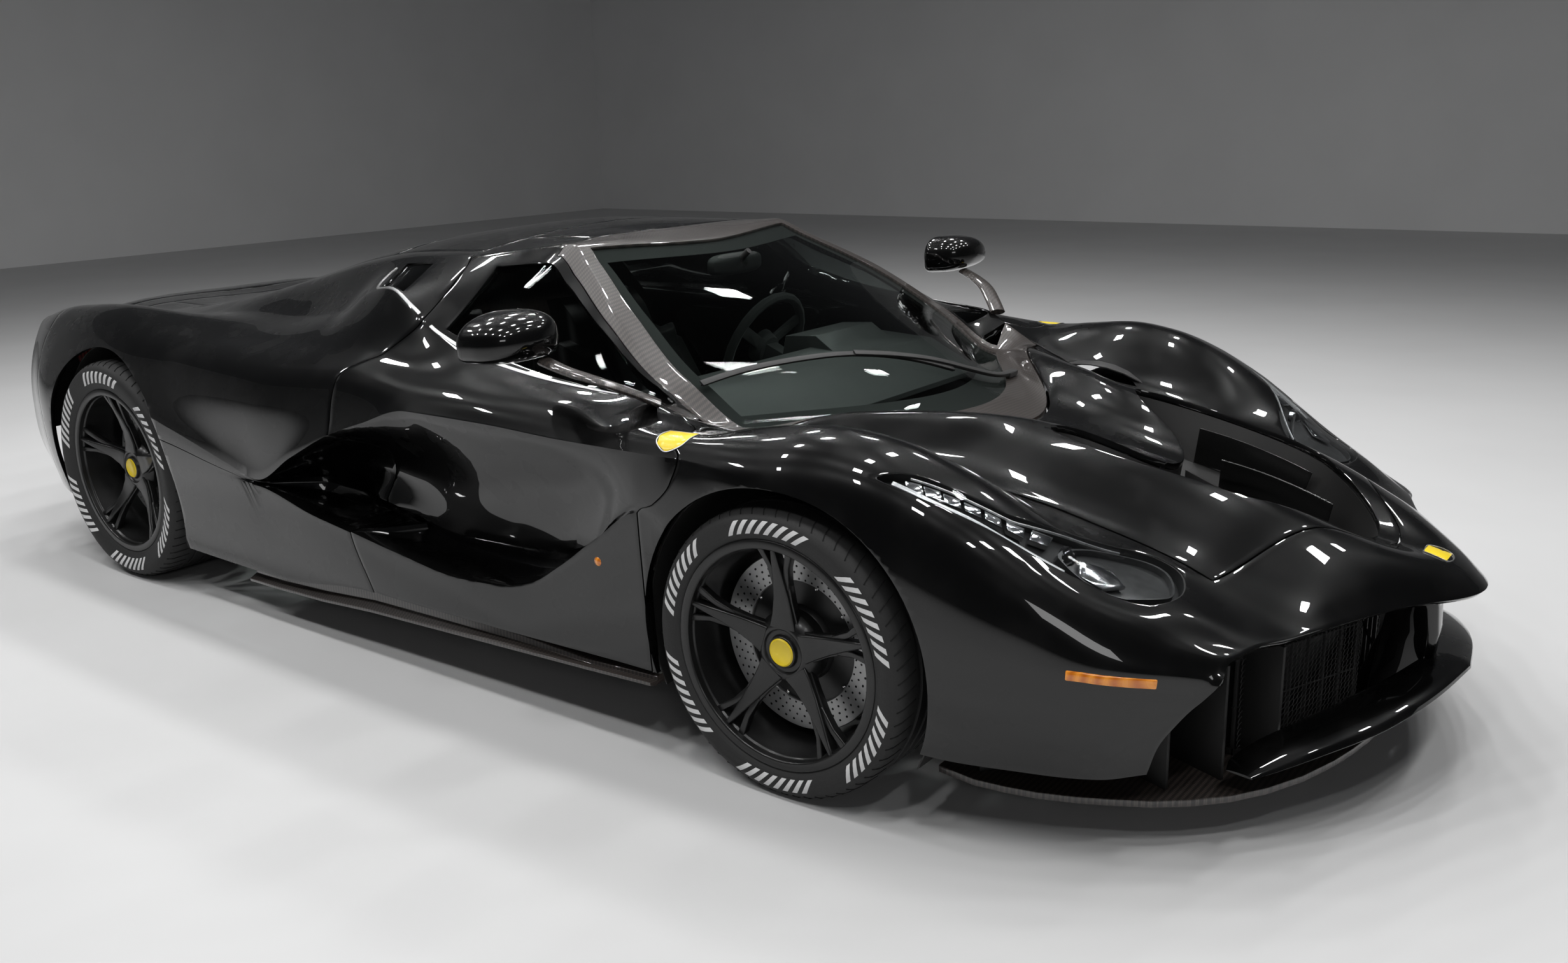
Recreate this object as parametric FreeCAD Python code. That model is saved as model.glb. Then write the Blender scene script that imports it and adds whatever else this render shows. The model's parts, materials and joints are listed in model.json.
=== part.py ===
import FreeCAD, Part
import math
import os

Vector = FreeCAD.Vector

# Driving dimensions in mm: x forward, y to the car's left, z up, floor at z = 0
WHEELBASE = 2650.0
FRONT_OVERHANG = 1165.0
REAR_OVERHANG = 887.0
BODY_WIDTH = 1992.0
BODY_HEIGHT = 1116.0
FRONT_TRACK = 1640.0
REAR_TRACK = 1600.0

# Tyres and rims
FRONT_TYRE_RADIUS = 321.0
FRONT_TYRE_WIDTH = 265.0
FRONT_RIM_RADIUS = 241.0
REAR_TYRE_RADIUS = 357.5
REAR_TYRE_WIDTH = 345.0
REAR_RIM_RADIUS = 254.0
RIM_WALL = 9.0
RIM_FLANGE = 14.0
SPOKES = 5
SPOKE_DEPTH = 26.0
HUB_RADIUS = 62.0
HUB_BORE_RADIUS = 30.3
STUB_RADIUS = 30.0
FRONT_DISC_RADIUS = 199.0
REAR_DISC_RADIUS = 190.0
DISC_THICKNESS = 36.0
DISC_BORE_RADIUS = 66.0
CALIPER_DEPTH = 22.0
CALIPER_CLEARANCE = 6.0
KINGPIN_INSET = 60.0
STUB_CLEARANCE = 2.0

# Skins and gaps
SKIN = 14.0
DOOR_FRAME = 26.0
SHUT_GAP = 5.0
SEAL_GAP = 0.3
GLASS = 5.0
GLASS_DEPTH = 4.0
PANE_GAP = 0.8
FRONT_ARCH_RADIUS = 365.0
FRONT_WELL_RADIUS = 395.0
REAR_ARCH_RADIUS = 400.0
ARCH_LIP = 905.0
WELL_INNER = 540.0
DOOR_INNER_FACE = 735.0
RIDE_HEIGHT = 105.0

# Cabin and tub
TUB_FLOOR = 15.0
TUB_WALL = 20.0
TUB_HALF_WIDTH = 700.0
FOOTWELL_HALF_WIDTH = 500.0
CABIN_REAR = -500.0
CABIN_NECK = 900.0
CABIN_FRONT = 1170.0
SILL_BOX_WIDTH = 100.0
SILL_BOX_HEIGHT = 220.0

# Size of the drawing that the body lines below were taken from
DRAWN_WHEELBASE = 2650.0
DRAWN_FRONT_OVERHANG = 1165.0
DRAWN_REAR_OVERHANG = 887.0
DRAWN_WIDTH = 1992.0
DRAWN_HEIGHT = 1116.0

# Sections from tail to nose: x where each crosses the middle, ridge, belt, crest, flank and sill
SECTIONS = (
    ("tail", -2212, -2200, -2180, -2130, -2040, -2040),
    ("deck", -2100, -2095, -2080, -2030, -1940, -1940),
    ("rear_arch", -1720, -1720, -1720, -1715, -1700, -1700),
    ("rear_axle", -1325, -1325, -1325, -1325, -1325, -1325),
    ("shoulder", -900, -900, -900, -900, -900, -900),
    ("intake", -480, -480, -480, -480, -480, -480),
    ("pillar", -100, -100, -100, -100, -100, -100),
    ("header", 371, 300, 260, 240, 230, 230),
    ("screen", 830, 650, 600, 590, 580, 580),
    ("cowl", 1300, 985, 950, 940, 930, 930),
    ("front_axle", 1640, 1420, 1340, 1330, 1325, 1325),
    ("front_arch", 2040, 1890, 1790, 1740, 1690, 1690),
    ("brow", 2340, 2220, 2105, 2040, 1995, 1950),
    ("nose", 2490, 2370, 2250, 2200, 2185, 2060),
)
REAR_AXLE_ROW = 3
INTAKE_ROW = 5
PILLAR_ROW = 6
HEADER_ROW = 7
COWL_ROW = 9
FRONT_AXLE_ROW = 10
FRONT_ARCH_ROW = 11
BROW_ROW = 12
NOSE_ROW = 13

# Body lines from the middle of the roof down to the sill: x, half width, height
LINES = (
    ("mid", (
        (-2212, 0, 770), (-2120, 0, 800), (-1900, 0, 792), (-1500, 0, 812), (-1200, 0, 865),
        (-900, 0, 950), (-600, 0, 1035), (-350, 0, 1088), (-50, 0, 1116), (150, 0, 1114),
        (371, 0, 1083), (600, 0, 1000), (850, 0, 895), (1100, 0, 778), (1300, 0, 682),
        (1600, 0, 640), (1839, 0, 594), (2150, 0, 520), (2294, 0, 488), (2395, 0, 474),
        (2450, 0, 448), (2490, 0, 415))),
    ("ridge", (
        (-2200, 420, 765), (-2100, 420, 795), (-1700, 430, 800), (-1325, 450, 850),
        (-900, 470, 930), (-500, 520, 1010), (-250, 560, 1045), (-100, 575, 1055),
        (50, 585, 1062), (200, 520, 1080), (300, 450, 1092), (400, 493, 1044),
        (600, 597, 936), (800, 655, 805), (985, 646, 700), (1200, 485, 738),
        (1400, 334, 733), (1600, 236, 709), (1800, 241, 674), (2000, 225, 627),
        (2220, 215, 540), (2330, 232, 470), (2370, 245, 422))),
    ("belt", (
        (-2180, 600, 760), (-1700, 610, 800), (-1325, 620, 820), (-1059, 600, 845),
        (-700, 640, 860), (-400, 690, 900), (-250, 705, 960), (-100, 740, 985),
        (41, 785, 950), (168, 812, 893), (341, 825, 845), (525, 825, 820),
        (700, 818, 805), (850, 805, 795), (950, 770, 760), (1100, 690, 715),
        (1340, 560, 672), (1600, 505, 625), (1790, 480, 580), (2000, 480, 525),
        (2150, 482, 462), (2250, 485, 418))),
    ("crest", (
        (-2130, 730, 775), (-1775, 790, 838), (-1419, 790, 862), (-1100, 785, 845),
        (-751, 790, 820), (-400, 820, 830), (-100, 855, 850), (150, 875, 820),
        (400, 885, 805), (700, 880, 790), (930, 850, 765), (1060, 825, 745),
        (1202, 815, 771), (1369, 800, 789), (1490, 785, 776), (1645, 765, 724),
        (1828, 755, 618), (1960, 720, 533), (2060, 690, 492), (2150, 650, 445),
        (2200, 620, 422))),
    ("shoulder", (
        (-2080, 810, 720), (-1787, 880, 770), (-1325, 905, 800), (-900, 920, 780),
        (-500, 930, 780), (-100, 938, 775), (400, 940, 765), (900, 925, 745),
        (1060, 910, 745), (1325, 905, 752), (1500, 890, 730), (1690, 870, 660),
        (1850, 845, 560), (1990, 800, 480), (2085, 755, 437), (2185, 690, 412))),
    ("waist", (
        (-2040, 862, 600), (-1700, 965, 610), (-1325, 985, 640), (-900, 993, 560),
        (-600, 992, 490), (-470, 988, 459), (-284, 990, 546), (-104, 985, 630),
        (48, 984, 680), (223, 975, 729), (489, 965, 727), (751, 957, 718),
        (970, 950, 716), (1088, 942, 714), (1325, 952, 690), (1500, 940, 630),
        (1690, 918, 540), (1850, 880, 470), (1995, 828, 420), (2170, 715, 392))),
    ("belly", (
        (-2040, 870, 540), (-1700, 970, 560), (-1325, 990, 580), (-900, 994, 530),
        (-600, 992, 480), (-475, 980, 457), (-380, 850, 470), (-250, 800, 500),
        (-100, 815, 520), (100, 840, 530), (360, 872, 540), (600, 880, 560),
        (800, 905, 590), (930, 942, 610), (970, 948, 620), (1088, 950, 660),
        (1325, 957, 640), (1500, 948, 560), (1690, 925, 480), (1850, 885, 430),
        (1995, 832, 390), (2155, 720, 355))),
    ("inner", (
        (-2040, 872, 480), (-1700, 970, 500), (-1325, 990, 520), (-900, 994, 500),
        (-600, 991, 468), (-478, 976, 454), (-380, 800, 440), (-250, 780, 440),
        (-100, 845, 425), (50, 842, 400), (205, 832, 372), (440, 830, 380),
        (620, 850, 405), (760, 885, 460), (900, 932, 565), (970, 946, 600),
        (1088, 953, 610), (1325, 958, 580), (1500, 950, 500), (1690, 928, 420),
        (1850, 887, 380), (1995, 833, 355), (2140, 726, 325))),
    ("channel", (
        (-2040, 872, 420), (-1700, 968, 440), (-1325, 988, 460), (-900, 993, 470),
        (-600, 989, 455), (-480, 974, 449), (-380, 800, 415), (-250, 780, 400),
        (-100, 800, 390), (50, 805, 365), (205, 800, 340), (440, 795, 335),
        (620, 820, 370), (760, 865, 435), (900, 928, 550), (970, 944, 590),
        (1088, 954, 570), (1325, 957, 500), (1500, 949, 440), (1690, 928, 370),
        (1850, 886, 330), (1995, 832, 310), (2115, 730, 290))),
    ("ledge", (
        (-2040, 865, 350), (-1700, 962, 360), (-1325, 982, 400), (-900, 990, 430),
        (-600, 988, 443), (-478, 985, 443), (-226, 976, 391), (-75, 968, 366),
        (108, 957, 334), (334, 948, 307), (475, 940, 313), (589, 935, 341),
        (693, 934, 402), (826, 937, 496), (961, 942, 575), (1088, 950, 520),
        (1325, 955, 420), (1500, 946, 370), (1690, 925, 310), (1850, 882, 275),
        (1995, 828, 260), (2090, 733, 250))),
    ("sill", (
        (-2040, 840, 260), (-1700, 940, 220), (-1325, 960, 180), (-939, 952, 160),
        (-490, 950, 154), (-24, 955, 200), (500, 945, 199), (962, 930, 198),
        (1325, 930, 190), (1690, 905, 180), (1850, 862, 178), (1995, 800, 176),
        (2060, 735, 178))),
)
RIDGE = 1
BELT = 2
CREST = 3
SHOULDER = 4
WAIST = 5
BELLY = 6
INNER = 7
CHANNEL = 8
LEDGE = 9
SILL = 10

# How round the body is across each line, row by row: 0 is a sharp edge, 1 is smooth
ROUNDNESS = {
    RIDGE: ((0, 1.0), (4, 0.7), (6, 0.3), (9, 0.0), (9.5, 0.8), (13, 1.0)),
    BELT: ((0, 1.0), (4, 0.8), (5.5, 0.2), (9, 0.2), (10, 1.0), (13, 1.0)),
    WAIST: ((0, 1.0), (2.5, 1.0), (4.5, 0.0), (9.3, 0.0), (10, 1.0), (13, 1.0)),
    INNER: ((0, 1.0), (4.5, 1.0), (5.5, 0.0), (9, 0.0), (10, 1.0), (13, 1.0)),
    LEDGE: ((0, 1.0), (3, 0.8), (4.8, 0.0), (9.2, 0.0), (10, 0.9), (13, 1.0)),
}

LENGTH_SHIFT = (FRONT_OVERHANG - REAR_OVERHANG) / 2
FRONT_AXLE = WHEELBASE / 2
REAR_AXLE = -WHEELBASE / 2


def along(x):
    half = DRAWN_WHEELBASE / 2
    if x > half:
        return FRONT_AXLE + (x - half) * FRONT_OVERHANG / DRAWN_FRONT_OVERHANG
    if x < -half:
        return REAR_AXLE + (x + half) * REAR_OVERHANG / DRAWN_REAR_OVERHANG
    return x * WHEELBASE / DRAWN_WHEELBASE


def across(y):
    return y * BODY_WIDTH / DRAWN_WIDTH


def above(z):
    return z * BODY_HEIGHT / DRAWN_HEIGHT


def secant(xs, ys, i):
    return (ys[i + 1] - ys[i]) / (xs[i + 1] - xs[i])


def knot_slope(xs, ys, i):
    if i == 0:
        return secant(xs, ys, 0)
    if i == len(xs) - 1:
        return secant(xs, ys, i - 1)
    left = secant(xs, ys, i - 1)
    right = secant(xs, ys, i)
    if left * right <= 0:
        return 0.0
    before = xs[i] - xs[i - 1]
    after = xs[i + 1] - xs[i]
    weight = (2 * after + before) / left + (after + 2 * before) / right
    return 3 * (before + after) / weight


class Curve:
    # a smooth curve through its knots that never swings past them
    def __init__(self, xs, ys):
        self.xs = xs
        self.ys = ys
        self.slopes = [knot_slope(xs, ys, i) for i in range(len(xs))]

    def at(self, x):
        if x <= self.xs[0]:
            return self.ys[0]
        if x >= self.xs[-1]:
            return self.ys[-1]
        i = max(j for j in range(len(self.xs) - 1) if self.xs[j] <= x)
        step = self.xs[i + 1] - self.xs[i]
        t = (x - self.xs[i]) / step
        ends = self.ys[i] * (1 + 2 * t) * (1 - t) ** 2 + self.ys[i + 1] * t * t * (3 - 2 * t)
        rise = self.slopes[i] * t * (1 - t) ** 2 - self.slopes[i + 1] * t * t * (1 - t)
        return ends + step * rise


def table_curve(table, key, value):
    return Curve([row[key] for row in table], [row[value] for row in table])


ROW_NUMBERS = list(range(len(SECTIONS)))
SECTION_CURVES = [Curve(ROW_NUMBERS, [row[k] for row in SECTIONS]) for k in range(1, 7)]
WIDTH_CURVES = [table_curve(points, 0, 1) for name, points in LINES]
HEIGHT_CURVES = [table_curve(points, 0, 2) for name, points in LINES]
ROUND_CURVES = {line: table_curve(table, 0, 1) for line, table in ROUNDNESS.items()}


def line_point(line, row):
    # point of one body line on the section sheet numbered row, on the car's left
    if line <= CREST:
        x = SECTION_CURVES[line].at(row)
    else:
        low = max(0.0, (line - WAIST) / (SILL - WAIST))
        x = SECTION_CURVES[4].at(row) * (1 - low) + SECTION_CURVES[5].at(row) * low
    return Vector(along(x), across(WIDTH_CURVES[line].at(x)), above(HEIGHT_CURVES[line].at(x)))


def mirrored(point):
    return Vector(point.x, -point.y, point.z)


def direction(start, end):
    step = end.sub(start)
    return step * (1 / max(step.Length, 1e-9))


def tangent(before, point, after, roundness, outgoing):
    # unit direction of the section at a line, sharp or smooth
    a = point.sub(before).Length
    b = after.sub(point).Length
    smooth = point.sub(before) * (b / a) + after.sub(point) * (a / b)
    smooth = smooth * (1 / max(smooth.Length, 1e-9))
    own = direction(point, after) if outgoing else direction(before, point)
    mixed = own * (1 - roundness) + smooth * roundness
    return mixed * (1 / max(mixed.Length, 1e-9))


def roundness_at(line, row):
    if line in ROUND_CURVES:
        return ROUND_CURVES[line].at(row)
    return 1.0


def surface(row, line):
    # the body's outer surface: row runs from tail to nose, line from the middle to the sill
    side = -1 if line < 0 else 1
    place = abs(line)
    low = min(int(place), SILL - 1)
    t = place - low
    start = line_point(low, row)
    end = line_point(low + 1, row)
    before = line_point(low - 1, row) if low > 0 else mirrored(end)
    after = line_point(low + 2, row) if low + 2 <= SILL else None
    span = end.sub(start).Length
    leave = tangent(before, start, end, roundness_at(low, row), True)
    if after is None:
        arrive = end.sub(start) * (1 / span)
    else:
        arrive = tangent(start, end, after, roundness_at(low + 1, row), False)
    point = start * ((1 + 2 * t) * (1 - t) ** 2) + end * (t * t * (3 - 2 * t))
    point = point + leave * (span * t * (1 - t) ** 2) - arrive * (span * t * t * (1 - t))
    return point if side > 0 else mirrored(point)


def outward(row, line):
    # unit normal of the outer surface
    step = 0.04
    across_step = surface(row, line + step).sub(surface(row, line - step))
    along_step = surface(min(row + step, NOSE_ROW), line).sub(surface(max(row - step, 0), line))
    normal = across_step.cross(along_step)
    normal = normal * (1 / normal.Length)
    return normal * -1


def key(point):
    return (round(point.x, 3), round(point.y, 3), round(point.z, 3))


def solid_from(quads):
    # closed solid from quads that face outward; a wall that two patches share drops out
    groups = {}
    for quad in quads:
        groups.setdefault(frozenset(key(p) for p in quad), []).append(quad)
    numbers = {}
    points = []
    triangles = []
    for group in groups.values():
        if len(group) > 1:
            continue
        corners = []
        for p in group[0]:
            if key(p) not in numbers:
                numbers[key(p)] = len(points)
                points.append(Vector(*key(p)))
            corners.append(numbers[key(p)])
        for triangle in (corners[:3], [corners[0]] + corners[2:]):
            if len(set(triangle)) == 3:
                triangles.append(tuple(triangle))
    shell = Part.Shape()
    shell.makeShapeFromMesh((points, triangles), 0.0005)
    solid = Part.makeSolid(shell)
    if solid.Volume < 0:
        solid.reverse()
    return solid


def mix(a, b, t):
    return a + (b - a) * t


def net(lines, rear, front, steps, first_line=None):
    # grid of (row, line) pairs between two edges that may change from line to line
    grid = []
    for t in steps:
        ring = []
        for line in lines:
            row = mix(rear(line), front(line), t)
            place = line
            if first_line is not None and abs(line) < first_line[1]:
                edge = first_line[0](row)
                place = mix(edge, first_line[1], (abs(line) - lines[0]) / (first_line[1] - lines[0]))
            ring.append((row, place))
        grid.append(ring)
    return grid


def even(count):
    return [i / count for i in range(count + 1)]


def fixed(value):
    return lambda line: value


def pull(points, i, j, near_i, near_j, gap):
    # moves an edge point into its panel by gap
    points[i][j] = points[i][j].add(direction(points[i][j], points[near_i][near_j]) * gap)


def gap_at(gap, k):
    # an edge's gap is one value, or a list of values along it
    return gap[k] if isinstance(gap, list) else gap


def pull_edges(points, gaps, pins):
    rear, front, first, last = gaps
    rows = len(points) - 1
    lines = len(points[0]) - 1
    for j in range(lines + 1):
        for i, near, gap in ((0, 1, rear), (rows, rows - 1, front)):
            if (i, j) not in pins:
                pull(points, i, j, near, j, gap_at(gap, j))
    for i in range(rows + 1):
        for j, near, gap in ((0, 1, first), (lines, lines - 1, last)):
            if (i, j) not in pins:
                pull(points, i, j, i, near, gap_at(gap, i))


def skin_point(place, depth):
    row, line = place
    return surface(row, line).sub(outward(row, line) * depth)


def panel(grid, depth=SKIN, top=0.0, gaps=(0, 0, 0, 0), pins=(), hole=None, inner=None):
    # quads of a panel that follows the surface, hollow where hole says so
    outer = [[skin_point(place, top) for place in ring] for ring in grid]
    if inner is None:
        under = [[skin_point(place, top + depth) for place in ring] for ring in grid]
    else:
        under = [[inner(i / (len(grid) - 1), *place) for place in ring] for i, ring in enumerate(grid)]
    pull_edges(outer, gaps, pins)
    pull_edges(under, gaps, pins)
    rows = len(grid) - 1
    lines = len(grid[0]) - 1

    def kept(i, j):
        inside = 0 <= i < rows and 0 <= j < lines
        return inside and not (hole and hole[0] <= i < hole[1] and hole[2] <= j < hole[3])

    quads = []
    for i in range(rows):
        for j in range(lines):
            if not kept(i, j):
                continue
            corners = ((i, j), (i + 1, j), (i + 1, j + 1), (i, j + 1))
            neighbours = ((i, j - 1), (i + 1, j), (i, j + 1), (i - 1, j))
            quads.append([outer[a][b] for a, b in corners])
            quads.append([under[a][b] for a, b in reversed(corners)])
            for k, beside in enumerate(neighbours):
                if kept(*beside):
                    continue
                a = corners[k]
                b = corners[(k + 1) % 4]
                quads.append([outer[b[0]][b[1]], outer[a[0]][a[1]], under[a[0]][a[1]], under[b[0]][b[1]]])
    return quads


def flipped(shape):
    return shape.mirror(Vector(0, 0, 0), Vector(0, 1, 0))


def block(x0, x1, y0, y1, z0, z1):
    return Part.makeBox(x1 - x0, y1 - y0, z1 - z0, Vector(x0, y0, z0))


def slab(points, travel):
    corners = [Vector(*p) for p in points]
    return Part.Face(Part.makePolygon(corners + corners[:1])).extrude(Vector(*travel))


def strut(sections):
    # solid through a run of sections with the same number of corners
    quads = []
    count = len(sections[0])
    for a, b in zip(sections[:-1], sections[1:]):
        for k in range(count):
            n = (k + 1) % count
            quads.append([a[k], b[k], b[n], a[n]])
    shapes = []
    for end in (sections[0], sections[-1]):
        if count == 4:
            quads.append(list(end))
        else:
            shapes.append(Part.Face(Part.makePolygon(list(end) + [end[0]])))
    faces = []
    for quad in quads:
        for corners in (quad[:3], [quad[0]] + quad[2:]):
            if corners[0].sub(corners[1]).cross(corners[2].sub(corners[1])).Length > 1e-6:
                faces.append(Part.Face(Part.makePolygon(corners + corners[:1])))
    shell = Part.Shell(faces + shapes)
    solid = Part.makeSolid(shell)
    if solid.Volume < 0:
        solid.reverse()
    return solid


def beam(start, end, width, height):
    # straight bar of rectangular section
    a = Vector(*start)
    b = Vector(*end)
    ahead = direction(a, b)
    side = ahead.cross(Vector(0, 0, 1))
    if side.Length < 0.01:
        side = Vector(0, 1, 0)
    side = side * (width / 2 / side.Length)
    lift = side.cross(ahead)
    lift = lift * (height / 2 / lift.Length)
    ends = []
    for p in (a, b):
        ends.append([p.add(side).add(lift), p.sub(side).add(lift), p.sub(side).sub(lift), p.add(side).sub(lift)])
    return strut(ends)


def turned(profile, count, centre=(0, 0, 0)):
    # ring or disc about the y axis, as flat faces; profile holds (radius, offset) pairs
    quads = []
    rings = []
    for k in range(count):
        angle = 2 * math.pi * (k + 0.5) / count
        rings.append([
            Vector(centre[0] + r * math.sin(angle), centre[1] + offset, centre[2] + r * math.cos(angle))
            for r, offset in profile])
    for k in range(count):
        a = rings[k]
        b = rings[(k + 1) % count]
        for i in range(len(profile)):
            j = (i + 1) % len(profile)
            if profile[i][0] < 1e-6 and profile[j][0] < 1e-6:
                continue
            quads.append([a[i], a[j], b[j], b[i]])
    return solid_from(quads)


def save(name, shapes):
    # facets that lie in one plane are joined, so that the file stays light
    shapes = shapes if isinstance(shapes, list) else [shapes]
    placed = [shape.removeSplitter().translated(Vector(-LENGTH_SHIFT, 0, 0)) for shape in shapes]
    result = placed[0] if len(placed) == 1 else Part.makeCompound(placed)
    result.exportStep("parts/" + name + ".step")


# Shut lines: for each body line, the row where a panel ends
DOOR_REAR_TABLE = (
    (0.9, 6.35), (1.2, 6.45), (2.0, 6.55), (3.0, 6.33), (4.0, 6.0), (5.0, 6.0),
    (6.0, 6.15), (7.0, 6.08), (8.0, 6.05), (9.0, 6.07), (10.0, 6.24))
DOOR_FRONT_TABLE = (
    (1.2, 8.85), (1.6, 8.93), (2.0, 9.0), (3.0, 9.25), (4.0, 9.3), (5.0, 9.4),
    (6.0, 9.35), (7.0, 9.22), (8.0, 9.12), (9.0, 9.08), (10.0, 9.1))
# The line where the rear body ends and the side sill starts, from the intake to the rear arch
SLIT_TABLE = ((3.4, 10.0), (3.85, 6.6), (4.5, 7.0), (4.75, 7.3), (5.0, 9.0), (6.2, 9.0))
DOOR_REAR = table_curve(DOOR_REAR_TABLE, 0, 1)
DOOR_FRONT = table_curve(DOOR_FRONT_TABLE, 0, 1)
SLIT = table_curve(SLIT_TABLE, 0, 1)
LID_REAR = 9.4
LID_FRONT = 11.87
SCREEN_LOW = 9.0
SCREEN_TOP = 7.1
HEADER_REAR = 6.8
HEADER_CORNER = 7.0
ROOF_REAR = 5.25
COVER_FRONT = 5.2
COVER_REAR = 1.6
ROOF_CUT = 0.62
COVER_EDGE = 0.9
SCREEN_EDGE = 0.92
PILLAR_EDGE = 1.12
WINDOW_TOP = 1.2
WINDOW_LOW = 1.93
HALF_GAP = SHUT_GAP / 2
DOOR_GAP = 3.7
LOOSE_GAP = 3.0
FIT_GAP = 1.4
# Body lines at which every panel across the middle has its corners, so that shut lines match
ROOF_LINES = (0.0, 0.31, 0.62)
MIDDLE_LINES = ROOF_LINES + (0.92, 1.0, 1.12, 1.5, 2.0)


def door_rear(line):
    return DOOR_REAR.at(abs(line))


def door_front(line):
    return DOOR_FRONT.at(abs(line))


def top_edge(row):
    # the door's upper edge: on the roof behind the header, below the pillar ahead of it
    if row <= HEADER_REAR:
        return ROOF_CUT
    if row >= HEADER_CORNER:
        return PILLAR_EDGE
    return mix(ROOF_CUT, PILLAR_EDGE, (row - HEADER_REAR) / (HEADER_CORNER - HEADER_REAR))


def header_rear(line):
    reach = (abs(line) - ROOF_CUT) / (PILLAR_EDGE - ROOF_CUT)
    return mix(HEADER_REAR, HEADER_CORNER, min(1.0, max(0.0, reach)))


def both_ways(lines):
    return [-line for line in reversed(lines) if line > 0] + list(lines)


def prism_ring(x, z, radius, y0, y1, count=40):
    corners = []
    for k in range(count):
        angle = 2 * math.pi * (k + 0.5) / count
        reach = radius / math.cos(math.pi / count)
        corners.append((x + reach * math.cos(angle), y0, z + reach * math.sin(angle)))
    return slab(corners, (0, y1 - y0, 0))


def wheel_well(shape, x, z, lip_radius, well_radius):
    # cuts the arch in the skin and the wider well behind it, on both sides
    tools = [prism_ring(x, z, lip_radius, WELL_INNER, BODY_WIDTH)]
    if well_radius > lip_radius:
        tools.append(prism_ring(x, z, well_radius, WELL_INNER - 1, across(ARCH_LIP)))
    for tool in tools + [flipped(tool) for tool in tools]:
        if shape.BoundBox.intersect(tool.BoundBox):
            shape = shape.cut(tool)
    return shape


def front_wells(shape):
    return wheel_well(shape, FRONT_AXLE, FRONT_TYRE_RADIUS, FRONT_ARCH_RADIUS, FRONT_WELL_RADIUS)


def rear_wells(shape):
    return wheel_well(shape, REAR_AXLE, REAR_TYRE_RADIUS, REAR_ARCH_RADIUS, REAR_ARCH_RADIUS)


def largest(shape):
    return max(shape.Solids, key=lambda solid: solid.Volume)


# Tab that a closed lid rests on: from under the lid, across the shut line, into the panel beside it
TAB_WIDTH = 0.06
TAB_DEPTH = 9.0
TAB_BITE = 3.0


def rest_tabs(rows, places, lid):
    # tabs on both sides, cut so that they lie just under the lid
    tabs = [rest_tab(row, places) for row in rows]
    tabs += [flipped(tab) for tab in tabs]
    lowered = lid.translated(Vector(0, 0, -SEAL_GAP))
    return [largest(tab.cut(lowered)) for tab in tabs]


def rest_tab(row, places, width=TAB_WIDTH):
    # places holds the lines of the tip, of the shut line and of the root
    tip, edge, root = places
    depths = (
        (tip, SKIN - TAB_BITE), (mix(tip, edge, 0.8), SKIN - TAB_BITE), (edge, SKIN + SEAL_GAP),
        (mix(edge, root, 0.15), SKIN - TAB_BITE), (root, SKIN - TAB_BITE))
    sections = []
    for line, depth in depths:
        low = SKIN + SEAL_GAP + TAB_DEPTH
        sections.append([
            skin_point((row - width, line), depth), skin_point((row + width, line), depth),
            skin_point((row + width, line), low), skin_point((row - width, line), low)])
    return strut(sections)


# Body panels
SIDE_LINES = (2.0, 2.5, 3.0, 3.5, 4.0, 4.5, 5.0, 6.0, 7.0, 8.0, 9.0, 10.0)
FRAME_LINES = (0.92, 1.0, 1.12)
LAMP_ROWS = (5, 9)
LAMP_LINES = (2, 4)
NOSE_STEPS = (0.0, 0.35, 0.7, 1.0)
LID_TABS = (9.75, 11.4)


def negative(quads):
    # the same panel on the car's right
    return [[mirrored(p) for p in [quad[0]] + list(reversed(quad[1:]))] for quad in quads]


def wing_steps():
    first = door_front(BELT)
    start = (LID_REAR - first) / (LID_FRONT - first)
    return [0.0, start / 2] + [mix(start, 1.0, k / 8) for k in range(9)]


def make_front_clam(lid):
    wing = net(SIDE_LINES, door_front, fixed(LID_FRONT), wing_steps())
    pins = {(10, 0)}
    hole = LAMP_ROWS + LAMP_LINES
    inner_gap = [FIT_GAP, FIT_GAP, DOOR_GAP, DOOR_GAP] + [HALF_GAP] * 7
    door_gap = [SEAL_GAP] + [DOOR_GAP] * (len(SIDE_LINES) - 1)
    quads = panel(wing, gaps=(door_gap, 0, inner_gap, 0), pins=pins, hole=hole)
    corner = net(SIDE_LINES, fixed(LID_FRONT), fixed(NOSE_ROW), NOSE_STEPS)
    quads += panel(corner)
    quads += negative(quads)
    middle = both_ways(MIDDLE_LINES)
    nose = net(middle, fixed(LID_FRONT), fixed(NOSE_ROW), NOSE_STEPS)
    quads += panel(nose, gaps=(HALF_GAP, 0, 0, 0), pins={(0, 0), (0, len(middle) - 1)})
    clam = largest(front_wells(solid_from(quads)))
    tabs = rest_tabs(LID_TABS, (1.88, 1.985, 2.2), lid)
    save("front_clam", largest(clam.multiFuse(tabs)))


def lamp_grid():
    wing = net(SIDE_LINES, door_front, fixed(LID_FRONT), wing_steps())
    rows = wing[LAMP_ROWS[0]:LAMP_ROWS[1] + 1]
    return [ring[LAMP_LINES[0]:LAMP_LINES[1] + 1] for ring in rows]


LAMP_DEPTH = 24.0


def make_lamps():
    quads = panel(lamp_grid(), depth=LAMP_DEPTH, gaps=(PANE_GAP, LOOSE_GAP, LOOSE_GAP, LOOSE_GAP))
    head = solid_from(quads)
    tail = tail_lamp()
    save("lamps", [head, flipped(head), tail, flipped(tail)])


OUTLET_ROWS = (3, 7)
OUTLET_FIRST = 3
LID_REAR_GAP = 9.0


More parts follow.
